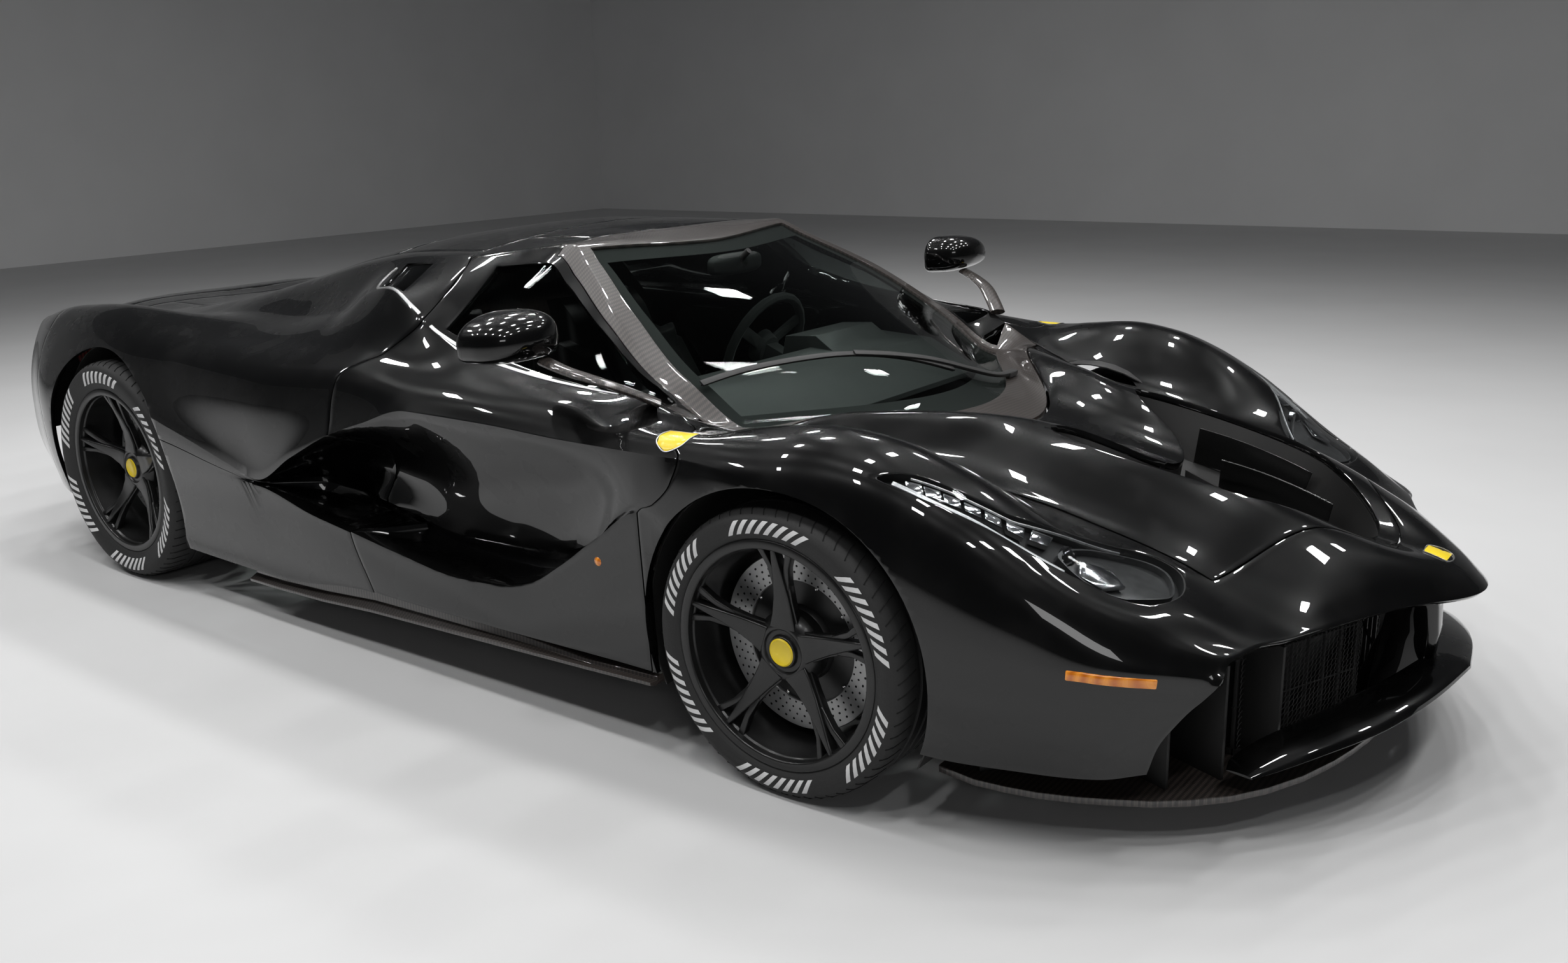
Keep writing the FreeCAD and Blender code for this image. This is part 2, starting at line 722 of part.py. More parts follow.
def make_front_lid():
    middle = both_ways(MIDDLE_LINES)
    grid = net(middle, fixed(LID_REAR), fixed(LID_FRONT), even(8))
    hole = OUTLET_ROWS + (OUTLET_FIRST, len(middle) - 1 - OUTLET_FIRST)
    quads = panel(grid, gaps=(LID_REAR_GAP, HALF_GAP, HALF_GAP, HALF_GAP), hole=hole)
    lid = solid_from(quads)
    save("front_lid", lid)
    return lid


def make_screen_frame():
    # cowl, both pillars and the header, one ring round the windscreen
    lines = both_ways(MIDDLE_LINES)
    cowl = net(lines, fixed(SCREEN_LOW), fixed(LID_REAR), even(2))
    low_pins = {(0, j) for j, line in enumerate(lines) if abs(line) >= SCREEN_EDGE}
    quads = panel(cowl, depth=DOOR_FRAME, gaps=(0, HALF_GAP, 0, 0), pins=low_pins)
    pillar = net(FRAME_LINES, fixed(SCREEN_TOP), fixed(SCREEN_LOW), even(6))
    pillar_pins = {(i, 2) for i in (0, 6)}
    side = panel(pillar, depth=DOOR_FRAME, gaps=(0, 0, 0, HALF_GAP), pins=pillar_pins)
    quads += side + negative(side)
    header_lines = both_ways(MIDDLE_LINES[:6])
    header = net(header_lines, header_rear, fixed(SCREEN_TOP), even(1))
    last = len(header_lines) - 1
    roof_gap = [FIT_GAP if abs(line) < 0.9 else HALF_GAP for line in header_lines]
    quads += panel(header, depth=DOOR_FRAME, gaps=(roof_gap, 0, 0, 0), pins={(0, 0), (0, last)})
    return solid_from(quads)


def make_fixed_glass():
    lines = both_ways(MIDDLE_LINES[:4])
    grid = net(lines, fixed(SCREEN_TOP), fixed(SCREEN_LOW), even(6))
    screen = solid_from(panel(grid, depth=GLASS, top=GLASS_DEPTH, gaps=(PANE_GAP, LOOSE_GAP, LOOSE_GAP, LOOSE_GAP)))
    pane = solid_from(panel(quarter_grid(), depth=GLASS, top=GLASS_DEPTH, gaps=(PANE_GAP,) * 4))
    save("fixed_glass", [screen, pane, flipped(pane)])


def make_roof():
    lines = both_ways(ROOF_LINES + (COVER_EDGE,))
    rear = net(lines, fixed(ROOF_REAR), door_rear, even(3))
    last = len(lines) - 1
    pins = {(3, j) for j in range(1, last)}
    quads = panel(rear, depth=DOOR_FRAME, gaps=(HALF_GAP, HALF_GAP, 0, 0), pins=pins)
    front_lines = both_ways(ROOF_LINES)
    front = net(front_lines, door_rear, fixed(HEADER_REAR), even(2))
    corner_pins = {(0, 0), (0, 4)}
    quads += panel(front, depth=DOOR_FRAME, gaps=(0, 0, HALF_GAP, HALF_GAP), pins=corner_pins)
    save("roof", solid_from(quads))


# Door: the lower part is as deep as the whole door, the frame above it is thin
DOOR_LINES = (0.62, 0.9, 1.2, 1.55, 1.93, 2.0, 2.5, 3.0, 3.5, 4.0, 4.5, 5.0, 6.0, 7.0, 8.0, 9.0, 9.5, 10.0)
DOOR_WINDOW_LINES = (2, 4)
DOOR_WINDOW_ROWS = (1, 12)
DOOR_DRAFT = 160.0
DOOR_TAPER = 0.25
DOOR_REAR_TAPER = 0.2
# The channel sweeps back a little as the door rises, so the gap is wider there
CHANNEL_GAP = 14.0
CHANNEL_GAP_LINES = (7.0, 8.0)
DOOR_SHOULDER_DROP = 22.0
DOOR_BELT_DEPTH = 45.0


def door_steps():
    first = door_rear(ROOF_CUT)
    span = door_front(ROOF_CUT) - first
    steps = [0.0, 0.5 * (HEADER_REAR - first) / span]
    steps += [(HEADER_REAR - first) / span, (HEADER_CORNER - first) / span]
    start = steps[-1]
    steps += [mix(start, 1.0, (k + 1) / 10) for k in range(10)]
    return steps


def door_grid():
    return net(DOOR_LINES, door_rear, door_front, door_steps(), (top_edge, WINDOW_TOP))


def door_inner(t, row, line):
    # the door's rear shoulder is a thin shell with a sloping edge, so that it passes the body as it rises
    rear = max(0.0, 1 - t / DOOR_REAR_TAPER)
    if line < 2.5:
        depth = mix(DOOR_FRAME, DOOR_BELT_DEPTH, max(0.0, (line - WINDOW_LOW) / (2.5 - WINDOW_LOW)))
        drop = depth * rear if line > WINDOW_LOW else 0.0
        return skin_point((row, line), depth).sub(Vector(0, 0, drop))
    shoulder = rear * min(1.0, max(0.0, 5.0 - line))
    face = surface(row, line)
    thin = skin_point((row, line), DOOR_FRAME).sub(Vector(0, 0, DOOR_FRAME * shoulder))
    reach = min(1.0, (1 - t) / DOOR_TAPER) * (1 - shoulder)
    height = face.z - DOOR_SHOULDER_DROP * max(0.0, 4.5 - line)
    if line >= CHANNEL:
        height = min(height, surface(row, CHANNEL).z - 12.0 * (line - CHANNEL))
    if line >= SILL:
        height = surface(row, SILL).z + SKIN
    lean = DOOR_DRAFT * (1 - t) * min(1.0, line - 2.0)
    deep = Vector(face.x + lean, DOOR_INNER_FACE, height)
    return thin + (deep - thin) * reach


def make_doors():
    hole = DOOR_WINDOW_ROWS + DOOR_WINDOW_LINES
    rear_gap = [CHANNEL_GAP if CHANNEL_GAP_LINES[0] <= line <= CHANNEL_GAP_LINES[1] else DOOR_GAP for line in DOOR_LINES]
    gaps = (rear_gap, DOOR_GAP, DOOR_GAP, HALF_GAP)
    quads = panel(door_grid(), depth=DOOR_FRAME, gaps=gaps, hole=hole, inner=door_inner)
    left = largest(front_wells(solid_from(quads)))
    save("door_left", left)
    save("door_right", flipped(left))
    return left


def make_door_glass():
    rows = door_grid()[DOOR_WINDOW_ROWS[0]:DOOR_WINDOW_ROWS[1] + 1]
    grid = [ring[DOOR_WINDOW_LINES[0]:DOOR_WINDOW_LINES[1] + 1] for ring in rows]
    pane = solid_from(panel(grid, depth=GLASS, top=GLASS_DEPTH, gaps=(PANE_GAP, PANE_GAP, LOOSE_GAP, LOOSE_GAP)))
    save("door_glass_left", pane)
    save("door_glass_right", flipped(pane))


# Rear body
REAR_LINES = (0.9, 1.2, 1.55, 1.93, 2.0, 2.5, 3.0, 3.5, 4.0, 4.5, 5.0, 6.25, 7.5, 8.75, 10.0)
REAR_STEPS = 6
SIDE_STEPS = 7
FLANK_REAR = 3.85
QUARTER_ROWS = (11, 12)
QUARTER_LINES = (1, 3)
WING_ROWS = (1, 3)
COVER_TABS = (2.2, 4.6)


def rear_front_line(line):
    # the body line that each line of the panel meets at the door
    return line if line <= WAIST else mix(WAIST, LEDGE, (line - WAIST) / (SILL - WAIST))


def rear_place(row, line):
    # lines past the waist close up to the slit, so that the panel ends there
    if line <= WAIST:
        return (row, line)
    return (row, mix(WAIST, SLIT.at(row), (line - WAIST) / (SILL - WAIST)))


def rear_grid():
    grid = []
    for t in even(REAR_STEPS):
        row = mix(COVER_REAR, FLANK_REAR, t)
        grid.append([rear_place(row, line) for line in REAR_LINES])
    for t in even(SIDE_STEPS)[1:]:
        grid.append([
            rear_place(mix(FLANK_REAR, door_rear(rear_front_line(line)), t), line) for line in REAR_LINES])
    return grid


def quarter_grid():
    rows = rear_grid()[QUARTER_ROWS[0]:QUARTER_ROWS[1] + 1]
    return [ring[QUARTER_LINES[0]:QUARTER_LINES[1] + 1] for ring in rows]


def make_rear_clam(cover):
    grid = rear_grid()
    hole = QUARTER_ROWS + QUARTER_LINES
    pins = {(0, 0)}
    roof_gap = [HALF_GAP if ring[0][0] < ROOF_REAR else FIT_GAP for ring in grid]
    side = panel(grid, gaps=(0, DOOR_GAP, roof_gap, 0), pins=pins, hole=hole)
    quads = side + negative(side)
    lines = both_ways(ROOF_LINES + REAR_LINES)
    deck = net(lines, fixed(0), fixed(COVER_REAR), (0.0, 0.2, 0.5, 0.8, 1.0))
    middle = len(lines) // 2
    deck_pins = {(4, j) for j, line in enumerate(lines) if abs(line) >= COVER_EDGE}
    opening = WING_ROWS + (middle - 6, middle + 6)
    quads += panel(deck, gaps=(0, HALF_GAP, 0, 0), pins=deck_pins, hole=opening)
    clam = largest(rear_wells(solid_from(quads)))
    tabs = rest_tabs(COVER_TABS, (0.82, 0.89, 1.05), cover)
    save("rear_clam", largest(clam.multiFuse(tabs)))


# Wing blade in the deck, on two posts that slide in sleeves
WING_DEPTH = 18.0
WING_POST = 22.0
WING_POST_SIDE = 300.0
WING_POST_LOW = 610.0
WING_SLEEVE = 8.0
WING_SLEEVE_LOW = 560.0
WING_SLEEVE_TOP = 715.0


def make_rear_wing():
    lines = both_ways(ROOF_LINES + REAR_LINES[:4])
    deck = net(lines, fixed(0), fixed(COVER_REAR), (0.2, 0.5, 0.8))
    blade = solid_from(panel(deck, depth=WING_DEPTH, gaps=(SHUT_GAP,) * 4))
    x, y = wing_post_place()
    half = WING_POST / 2
    top = surface(0.8, 1.0).z - WING_DEPTH / 2
    post = block(x - half, x + half, y - half, y + half, above(WING_POST_LOW), top)
    save("rear_wing", largest(blade.multiFuse([post, flipped(post)])))


def wing_post_place():
    # the post stands just ahead of the tail's mesh face
    y = across(WING_POST_SIDE)
    x = fascia_x(y) + FASCIA_THICKNESS + WING_SLEEVE + SEAL_GAP + WING_POST / 2
    return x, y


COVER_STEPS = 8
COVER_WINDOW = (2, 7)


def cover_grid():
    lines = both_ways(ROOF_LINES + (COVER_EDGE,))
    return net(lines, fixed(COVER_REAR), fixed(COVER_FRONT), even(COVER_STEPS))


def make_engine_cover():
    quads = panel(cover_grid(), gaps=(HALF_GAP,) * 4, hole=COVER_WINDOW + (1, 5))
    cover = solid_from(quads)
    save("engine_cover", cover)
    rows = cover_grid()[COVER_WINDOW[0]:COVER_WINDOW[1] + 1]
    grid = [ring[1:6] for ring in rows]
    save("engine_glass", solid_from(panel(grid, depth=GLASS, top=GLASS_DEPTH, gaps=(PANE_GAP,) * 4)))
    return cover


# Skirt under the door and flank: x, lower edge, upper edge
SKIRT_STATIONS = ((-640, 106, 158), (-490, 108, 158), (-60, 128, 192), (500, 148, 190), (975, 166, 188))
SKIRT_OUTER = 946.0
SKIRT_STEP = 22.0


def make_side_sills():
    grid = []
    for t in even(SIDE_STEPS):
        ring = []
        for share in even(4):
            row = mix(FLANK_REAR, door_rear(mix(LEDGE, SILL, share)), t)
            ring.append((row, mix(SLIT.at(row), SILL, share)))
        grid.append(ring)
    quads = panel(grid, gaps=(0, DOOR_GAP, SHUT_GAP, 0))
    flank = largest(rear_wells(solid_from(quads)))
    inner = TUB_HALF_WIDTH
    outer = across(SKIRT_OUTER)
    sections = []
    for x, low, high in SKIRT_STATIONS:
        low = above(low)
        high = above(high)
        place = along(x)
        sections.append([
            Vector(place, inner, RIDE_HEIGHT), Vector(place, outer - SKIRT_STEP, low),
            Vector(place, outer, low + 8), Vector(place, outer - 8, high), Vector(place, inner, high)])
    skirt = front_wells(strut(sections))
    side = largest(flank.fuse(skirt))
    save("side_sills", [side, flipped(side)])


# Tub: floor, side boxes, bulkheads and footwell, one piece
SCUTTLE = 640.0
BULKHEAD_TOP = 985.0
DOOR_RAIL_LOW = 250.0


def make_tub(frame):
    # frame is the windscreen frame, which sits on the two posts
    low = RIDE_HEIGHT + TUB_FLOOR
    top = low + TUB_FLOOR
    neck = along(CABIN_NECK)
    rear = along(CABIN_REAR)
    front = along(CABIN_FRONT)
    wide = TUB_HALF_WIDTH
    narrow = FOOTWELL_HALF_WIDTH
    outline = [
        (rear, -wide), (neck, -wide), (neck, -narrow), (front, -narrow),
        (front, narrow), (neck, narrow), (neck, wide), (rear, wide)]
    tub = slab([(x, y, low) for x, y in outline], (0, 0, TUB_FLOOR))
    box = block(rear, neck, wide - SILL_BOX_WIDTH, wide, top, top + SILL_BOX_HEIGHT)
    post_low = [
        Vector(neck - 50, wide - 70, top), Vector(neck, wide - 70, top),
        Vector(neck, wide, top), Vector(neck - 50, wide, top)]
    post_high = [
        Vector(neck - 20, 560, above(SCUTTLE)), Vector(neck + 25, 560, above(SCUTTLE)),
        Vector(neck + 25, 640, above(SCUTTLE)), Vector(neck - 20, 640, above(SCUTTLE))]
    post = strut([post_low, post_high])
    seat = block(front - 40, front, narrow - 40, narrow, above(SCUTTLE) - 80, above(SCUTTLE) + 140)
    rail = block(along(0), neck - 60, wide, DOOR_INNER_FACE - SEAL_GAP, DOOR_RAIL_LOW, top + SILL_BOX_HEIGHT)
    wall = block(neck - TUB_WALL, front, narrow - TUB_WALL, narrow, top, above(SCUTTLE) - 60)
    shoulder = block(neck - TUB_WALL, neck, narrow - TUB_WALL, wide, top, top + SILL_BOX_HEIGHT)
    bulk = [
        (rear, -wide, low), (rear, wide, low), (rear, wide, above(BULKHEAD_TOP) - 230),
        (rear, 480, above(BULKHEAD_TOP)), (rear, -480, above(BULKHEAD_TOP)),
        (rear, -wide, above(BULKHEAD_TOP) - 230)]
    bulkhead = slab(bulk, (TUB_WALL, 0, 0))
    nose_wall = block(front - TUB_WALL, front, -narrow, narrow, low, above(SCUTTLE) - 60)
    beam_bar = block(neck - 20, neck + 25, -600, 600, above(SCUTTLE) - 60, above(SCUTTLE))
    pieces = [bulkhead, nose_wall, beam_bar]
    for piece in (box, post, wall, shoulder, seat, rail):
        pieces += [piece, flipped(piece)]
    whole = largest(tub.multiFuse(pieces).removeSplitter())
    save("tub", largest(whole.cut(frame.translated(Vector(0, 0, -SEAL_GAP)))))


UNDERBODY_FRONT = 2060.0
UNDERBODY_REAR = -1950.0
# Pads under the floor where a lift or jack goes
JACK_X = 860.0
JACK_Y = 660.0
JACK_PAD = 80.0
JACK_DROP = 8.0


def make_underbody():
    # flat floor under the whole car, waisted between the wheels
    front = along(UNDERBODY_FRONT)
    rear = along(UNDERBODY_REAR)
    bay = WELL_INNER - 10
    x_front = FRONT_AXLE + FRONT_WELL_RADIUS + 5
    x_front_rear = FRONT_AXLE - FRONT_WELL_RADIUS - 5
    x_rear = REAR_AXLE + REAR_ARCH_RADIUS + 5
    side = TUB_HALF_WIDTH
    half = [
        (front, 0), (front, 330), (front - 210, 640), (x_front, 780), (x_front, bay), (x_front_rear, bay),
        (x_front_rear, side), (x_rear, side), (x_rear, bay), (rear, bay)]
    points = [(x, y, RIDE_HEIGHT) for x, y in half] + [(x, -y, RIDE_HEIGHT) for x, y in reversed(half[1:])]
    floor = slab(points, (0, 0, TUB_FLOOR))
    half_pad = JACK_PAD / 2
    x = along(JACK_X)
    y = across(JACK_Y)
    low = RIDE_HEIGHT - JACK_DROP
    pads = []
    for sx in (-1, 1):
        for sy in (-1, 1):
            pads.append(block(sx * x - half_pad, sx * x + half_pad, sy * y - half_pad, sy * y + half_pad, low, RIDE_HEIGHT + 1))
    save("underbody", floor.multiFuse(pads))


# Nose: splitter, wing element with its pylon, grilles and ducts
SPLITTER_PLAN = (
    (2340, 0), (2330, 180), (2300, 330), (2225, 520), (2120, 650), (1990, 735),
    (1860, 790), (1730, 812), (1640, 800), (1640, 640), (1900, 560), (1990, 0))
SPLITTER_THICKNESS = 16.0
SPLITTER_LOW = RIDE_HEIGHT - SPLITTER_THICKNESS
WING_STATIONS = (
    # half width, leading x, height of the leading edge, chord, thickness
    (0, 2478, 232, 90, 16), (150, 2455, 224, 105, 20), (330, 2400, 205, 120, 22),
    (480, 2310, 180, 110, 18), (590, 2215, 150, 70, 8))
PYLON_HALF_WIDTH = 42.0
GRILLE_FACE = 2300.0
GRILLE_TOP = 415.0
GRILLE_INNER = 75.0
GRILLE_OUTER = 425.0
GRILLE_FRAME = 14.0
GRILLE_BARS = 7
GRILLE_SLATS = 2
GRILLE_SWEEP = 0.42
DUCT_BLADES = 3
BLADE_LENGTH = 130.0


def wing_section(half_width, lead, height, chord, thickness):
    x = along(lead)
    z = above(height)
    y = across(half_width)
    rise = 0.12 * chord
    return [
        Vector(x, y, z + rise), Vector(x - chord * 0.5, y, z + thickness * 0.5),
        Vector(x - chord, y, z + thickness * 0.3), Vector(x - chord, y, z - thickness * 0.3),
        Vector(x - chord * 0.5, y, z - thickness * 0.5), Vector(x - 6, y, z + rise - 8)]


def make_front_aero():
    outline = [(x, y) for x, y in SPLITTER_PLAN] + [(x, -y) for x, y in reversed(SPLITTER_PLAN[1:-1])]
    points = [(along(x), across(y), SPLITTER_LOW) for x, y in outline]
    splitter = slab(points, (0, 0, SPLITTER_THICKNESS))
    half = [wing_section(*station) for station in WING_STATIONS]
    other = [[mirrored(p) for p in section] for section in reversed(half[1:])]
    wing = strut(other + half)
    top = above(395)
    width = PYLON_HALF_WIDTH
    low_ring = [
        Vector(along(2330), -width, SPLITTER_LOW + SPLITTER_THICKNESS / 2),
        Vector(along(2330), width, SPLITTER_LOW + SPLITTER_THICKNESS / 2),
        Vector(along(2250), width, SPLITTER_LOW + SPLITTER_THICKNESS / 2),
        Vector(along(2250), -width, SPLITTER_LOW + SPLITTER_THICKNESS / 2)]
    middle_ring = [
        Vector(along(2440), -18, above(232)), Vector(along(2440), 18, above(232)),
        Vector(along(2290), width, above(232)), Vector(along(2290), -width, above(232))]
    top_ring = [
        Vector(along(2452), -26, top), Vector(along(2452), 26, top),
        Vector(along(2330), width + 10, top), Vector(along(2330), -width - 10, top)]
    pylon = strut([low_ring, middle_ring, top_ring])
    save("front_aero", largest(splitter.multiFuse([wing, pylon])))


def grille_x(y):
    return along(GRILLE_FACE) - GRILLE_SWEEP * y


def upright(x0, y0, x1, y1, low, high):
    # thin vertical blade between two places in plan
    step = Vector(y0 - y1, x1 - x0, 0)
    step = step * (GRILLE_FRAME / 4 / step.Length)
    corners = [
        (x0 + step.x, y0 + step.y, low), (x1 + step.x, y1 + step.y, low),
        (x1 - step.x, y1 - step.y, low), (x0 - step.x, y0 - step.y, low)]
    return slab(corners, (0, 0, high - low))


def make_grilles():
    low = RIDE_HEIGHT
    high = above(GRILLE_TOP)
    inner = GRILLE_INNER
    outer = GRILLE_OUTER
    pieces = []
    for z in (low, high - GRILLE_FRAME):
        rail = [
            (grille_x(inner), inner, z), (grille_x(outer), outer, z),
            (grille_x(outer) - GRILLE_FRAME, outer, z), (grille_x(inner) - GRILLE_FRAME, inner, z)]
        pieces.append(slab(rail, (0, 0, GRILLE_FRAME)))
    count = GRILLE_BARS
    for k in range(count + 1):
        y = mix(inner, outer - GRILLE_FRAME / 2, k / count)
        bar = [
            (grille_x(y) - 2, y, low), (grille_x(y) - 2, y + 5, low),
            (grille_x(y) - 10, y + 5, low), (grille_x(y) - 10, y, low)]
        pieces.append(slab(bar, (0, 0, high - low)))
    for k in range(GRILLE_SLATS):
        z = mix(low, high, (k + 1) / (GRILLE_SLATS + 1))
        slat = [
            (grille_x(inner) - 3, inner, z), (grille_x(outer) - 3, outer, z),
            (grille_x(outer) - 9, outer, z), (grille_x(inner) - 9, inner, z)]
        pieces.append(slab(slat, (0, 0, 4)))
    mesh = largest(pieces[0].multiFuse(pieces[1:]))
    blades = []
    for k in range(DUCT_BLADES):
        y = across(mix(440, 640, k / (DUCT_BLADES - 1)))
        nose = along(2215) - 0.75 * (y - across(440))
        blades.append(upright(nose, y, nose - BLADE_LENGTH, y - 50, low, above(372 - 22 * k)))
    both = [mesh] + blades
    save("front_grilles", both + [flipped(piece) for piece in both] + [outlet()])


# Outlet under the front lid: floor, side walls and vanes
OUTLET_FLOOR = 330.0
OUTLET_HALF_WIDTH = 250.0
OUTLET_VANES = 4


def outlet():
    x_low = along(2190)
    x_high = along(1780)
    z_low = above(OUTLET_FLOOR)
    z_high = above(470)
    width = across(OUTLET_HALF_WIDTH)
    floor = slab(
        [(x_low, -width, z_low), (x_high, -width, z_high), (x_high, -width, z_high + 12), (x_low, -width, z_low + 12)],
        (0, 2 * width, 0))
    pieces = []
    for k in range(OUTLET_VANES + 2):
        y = mix(-width, width - 6, k / (OUTLET_VANES + 1))
        vane = [
            (x_low, y, z_low), (x_high, y, z_high), (x_high, y, z_high + 70),
            (mix(x_low, x_high, 0.45), y, z_low + 120), (x_low, y, z_low + 60)]
        pieces.append(slab(vane, (0, 6, 0)))
    leg = block(x_low - 60, x_low - 45, -width, width, RIDE_HEIGHT, z_low + 26)
    return largest(floor.multiFuse(pieces + [leg]))


# Tail: lamps, mesh face, diffuser and exhausts
TAIL_LAMP_RADIUS = 68.0
TAIL_LAMP_HALF_WIDTH = 640.0
TAIL_LAMP_HEIGHT = 640.0
TAIL_LAMP_DEPTH = 60.0
FASCIA_FACE = 2105.0
FASCIA_SWEEP = 0.11
FASCIA_MARGIN = 1.5
FASCIA_LOW = 400.0
FASCIA_HALF_WIDTH = 800.0
FASCIA_THICKNESS = 14.0
EXHAUST_RADIUS = 46.0
EXHAUST_WALL = 3.0
EXHAUST_PLACES = (330, 440)
EXHAUST_HEIGHT = 450.0
EXHAUST_LENGTH = 150.0
DIFFUSER_STRAKES = 5


def fascia_x(y):
    return along(-FASCIA_FACE + FASCIA_SWEEP * abs(y))


def tail_lamp():
    profile = ((0, 0), (TAIL_LAMP_RADIUS, 0), (TAIL_LAMP_RADIUS, TAIL_LAMP_DEPTH), (0, TAIL_LAMP_DEPTH))
    lamp = turned(profile, HUB_FACETS)
    lamp.rotate(Vector(0, 0, 0), Vector(0, 0, 1), 90)
    y = across(TAIL_LAMP_HALF_WIDTH)
    lamp.translate(Vector(fascia_x(y) + 20, y, above(TAIL_LAMP_HEIGHT)))
    return lamp


def fascia_edge(line):
    # place on the skin's inside where the mesh face ends, for one body line
    row = mix(0.93, 0.22, min(1.0, line / 4))
    depth = SKIN + FASCIA_MARGIN if line > BELT else WING_DEPTH + SHUT_GAP
    return skin_point((row, line), depth)


def snug(radius):
    # inner radius of a faceted hole that fits closely round a faceted tube
    return radius * math.cos(math.pi / HUB_FACETS) + SEAL_GAP


def make_rear_fascia():
    wide = BODY_WIDTH / 2
    plan = [(fascia_x(wide), wide), (fascia_x(across(400)), across(400)), (fascia_x(0), 0)]
    plan += [(x, -y) for x, y in reversed(plan[:-1])]
    back = [(x + FASCIA_THICKNESS, y) for x, y in reversed(plan)]
    low = above(FASCIA_LOW)
    sheet = slab([(x, y, low - 10) for x, y in plan + back], (0, 0, BODY_HEIGHT))
    edge = [fascia_edge(0.5 * k) for k in range(17)]
    edge = [p for p in edge if p.z > low + 20]
    rim_points = [(p.y, p.z) for p in edge[1:]] + [(edge[-1].y, low)]
    rim_points = [(0, edge[0].z)] + rim_points + [(-y, z) for y, z in reversed(rim_points)]
    start = fascia_x(0) - 200
    outline = slab([(start, y, z) for y, z in rim_points], (500, 0, 0))
    sheet = sheet.common(outline)
    reach = 90
    y = across(TAIL_LAMP_HALF_WIDTH)
    tools = []
    for side in (1, -1):
        hole = prism_ring(0, 0, snug(TAIL_LAMP_RADIUS), -reach, reach, HUB_FACETS)
        hole.rotate(Vector(0, 0, 0), Vector(0, 0, 1), 90)
        hole.translate(Vector(fascia_x(y), side * y, above(TAIL_LAMP_HEIGHT)))
        tools.append(hole)
        for place in EXHAUST_PLACES:
            pipe = prism_ring(0, 0, snug(EXHAUST_RADIUS), -reach, reach, HUB_FACETS)
            pipe.rotate(Vector(0, 0, 0), Vector(0, 0, 1), 90)
            pipe.translate(Vector(fascia_x(0), side * across(place), above(EXHAUST_HEIGHT)))
            tools.append(pipe)
    sheet = largest(sheet.cut(tools))
    x, y = wing_post_place()
    half = WING_POST / 2 + SEAL_GAP
    wall = half + WING_SLEEVE
    low = above(WING_SLEEVE_LOW)
    high = above(WING_SLEEVE_TOP)
    sleeve = block(x - wall - 6, x + wall, y - wall, y + wall, low, high)
    sleeve = sleeve.cut(block(x - half, x + half, y - half, y + half, low - 1, high + 1))
    save("rear_fascia", largest(sheet.multiFuse([sleeve, flipped(sleeve)])))


def make_exhausts():
    profile = (
        (EXHAUST_RADIUS, 0), (EXHAUST_RADIUS, EXHAUST_LENGTH),
        (EXHAUST_RADIUS - EXHAUST_WALL, EXHAUST_LENGTH), (EXHAUST_RADIUS - EXHAUST_WALL, 0))
    pipes = []
    for place in EXHAUST_PLACES:
        for side in (1, -1):
            pipe = turned(profile, HUB_FACETS)
            pipe.rotate(Vector(0, 0, 0), Vector(0, 0, 1), 90)
            start = fascia_x(0) - 25 + EXHAUST_LENGTH
            pipe.translate(Vector(start, side * across(place), above(EXHAUST_HEIGHT)))
            pipes.append(pipe)
    low = above(EXHAUST_HEIGHT) - 20
    start = fascia_x(0) - 25 + EXHAUST_LENGTH
    wide = across(EXHAUST_PLACES[-1]) + 30
    box = block(start, start + 160, -wide, wide, low, low + 70)
    save("exhausts", pipes + [box])


def make_diffuser():
    wide = WELL_INNER - 15
    front = along(UNDERBODY_REAR)
    rear = along(-2185)
    low = RIDE_HEIGHT
    high = above(300)
    floor = [(front, -wide, low), (rear, -wide, high), (rear, -wide, high + 12), (front, -wide, low + 15)]
    pieces = []
    for k in range(DIFFUSER_STRAKES + 1):
        y = mix(-wide, wide - 8, k / DIFFUSER_STRAKES)
        strake = [(front, y, low), (rear, y, low + 75), (rear, y, high + 5), (front, y, low + 10)]
        pieces.append(slab(strake, (0, 8, 0)))
    ramp = slab(floor, (0, 2 * wide, 0))
    wing_wide = across(FASCIA_HALF_WIDTH)
    skirt = [
        (fascia_x(wing_wide) + 10, wing_wide), (rear + 40, wide), (rear + 40, -wide),
        (fascia_x(wing_wide) + 10, -wing_wide), (fascia_x(wing_wide) + 30, -wing_wide),
        (rear + 60, -wide), (rear + 60, wide), (fascia_x(wing_wide) + 30, wing_wide)]
    rear_face = slab([(x, y, high) for x, y in skirt], (0, 0, above(FASCIA_LOW) - high))
    save("diffuser", largest(ramp.multiFuse(pieces + [rear_face])))


# Cabin: seats, dashboard and steering wheel
SEAT_SIDE = 330.0
SEAT_WIDTH = 480.0
SEAT_X = -170.0
DASH_HALF_WIDTH = 555.0
WHEEL_RADIUS = 175.0
WHEEL_GRIP = 15.0
WHEEL_PLACE = (330.0, SEAT_SIDE, 700.0)
WHEEL_RAKE = 68.0


def make_seats():
    low = RIDE_HEIGHT + 2 * TUB_FLOOR
    x = along(SEAT_X)
    profile = [
        (x - 150, low), (x + 430, low), (x + 440, low + 170), (x + 90, low + 130),
        (x - 170, low + 640), (x - 230, low + 700), (x - 290, low + 690), (x - 250, low + 560)]
    wing = [
        (x - 130, low), (x + 380, low), (x + 400, low + 215), (x + 130, low + 230),
        (x - 60, low + 520), (x - 190, low + 560), (x - 250, low + 540)]
    half = SEAT_WIDTH / 2
    body = slab([(px, SEAT_SIDE - half + 60, pz) for px, pz in profile], (0, SEAT_WIDTH - 120, 0))
    sides = []
    for y in (SEAT_SIDE - half, SEAT_SIDE + half - 70):
        sides.append(slab([(px, y, pz) for px, pz in wing], (0, 70, 0)))
    seat = largest(body.multiFuse(sides).removeSplitter())
    save("seats", [seat, flipped(seat)])


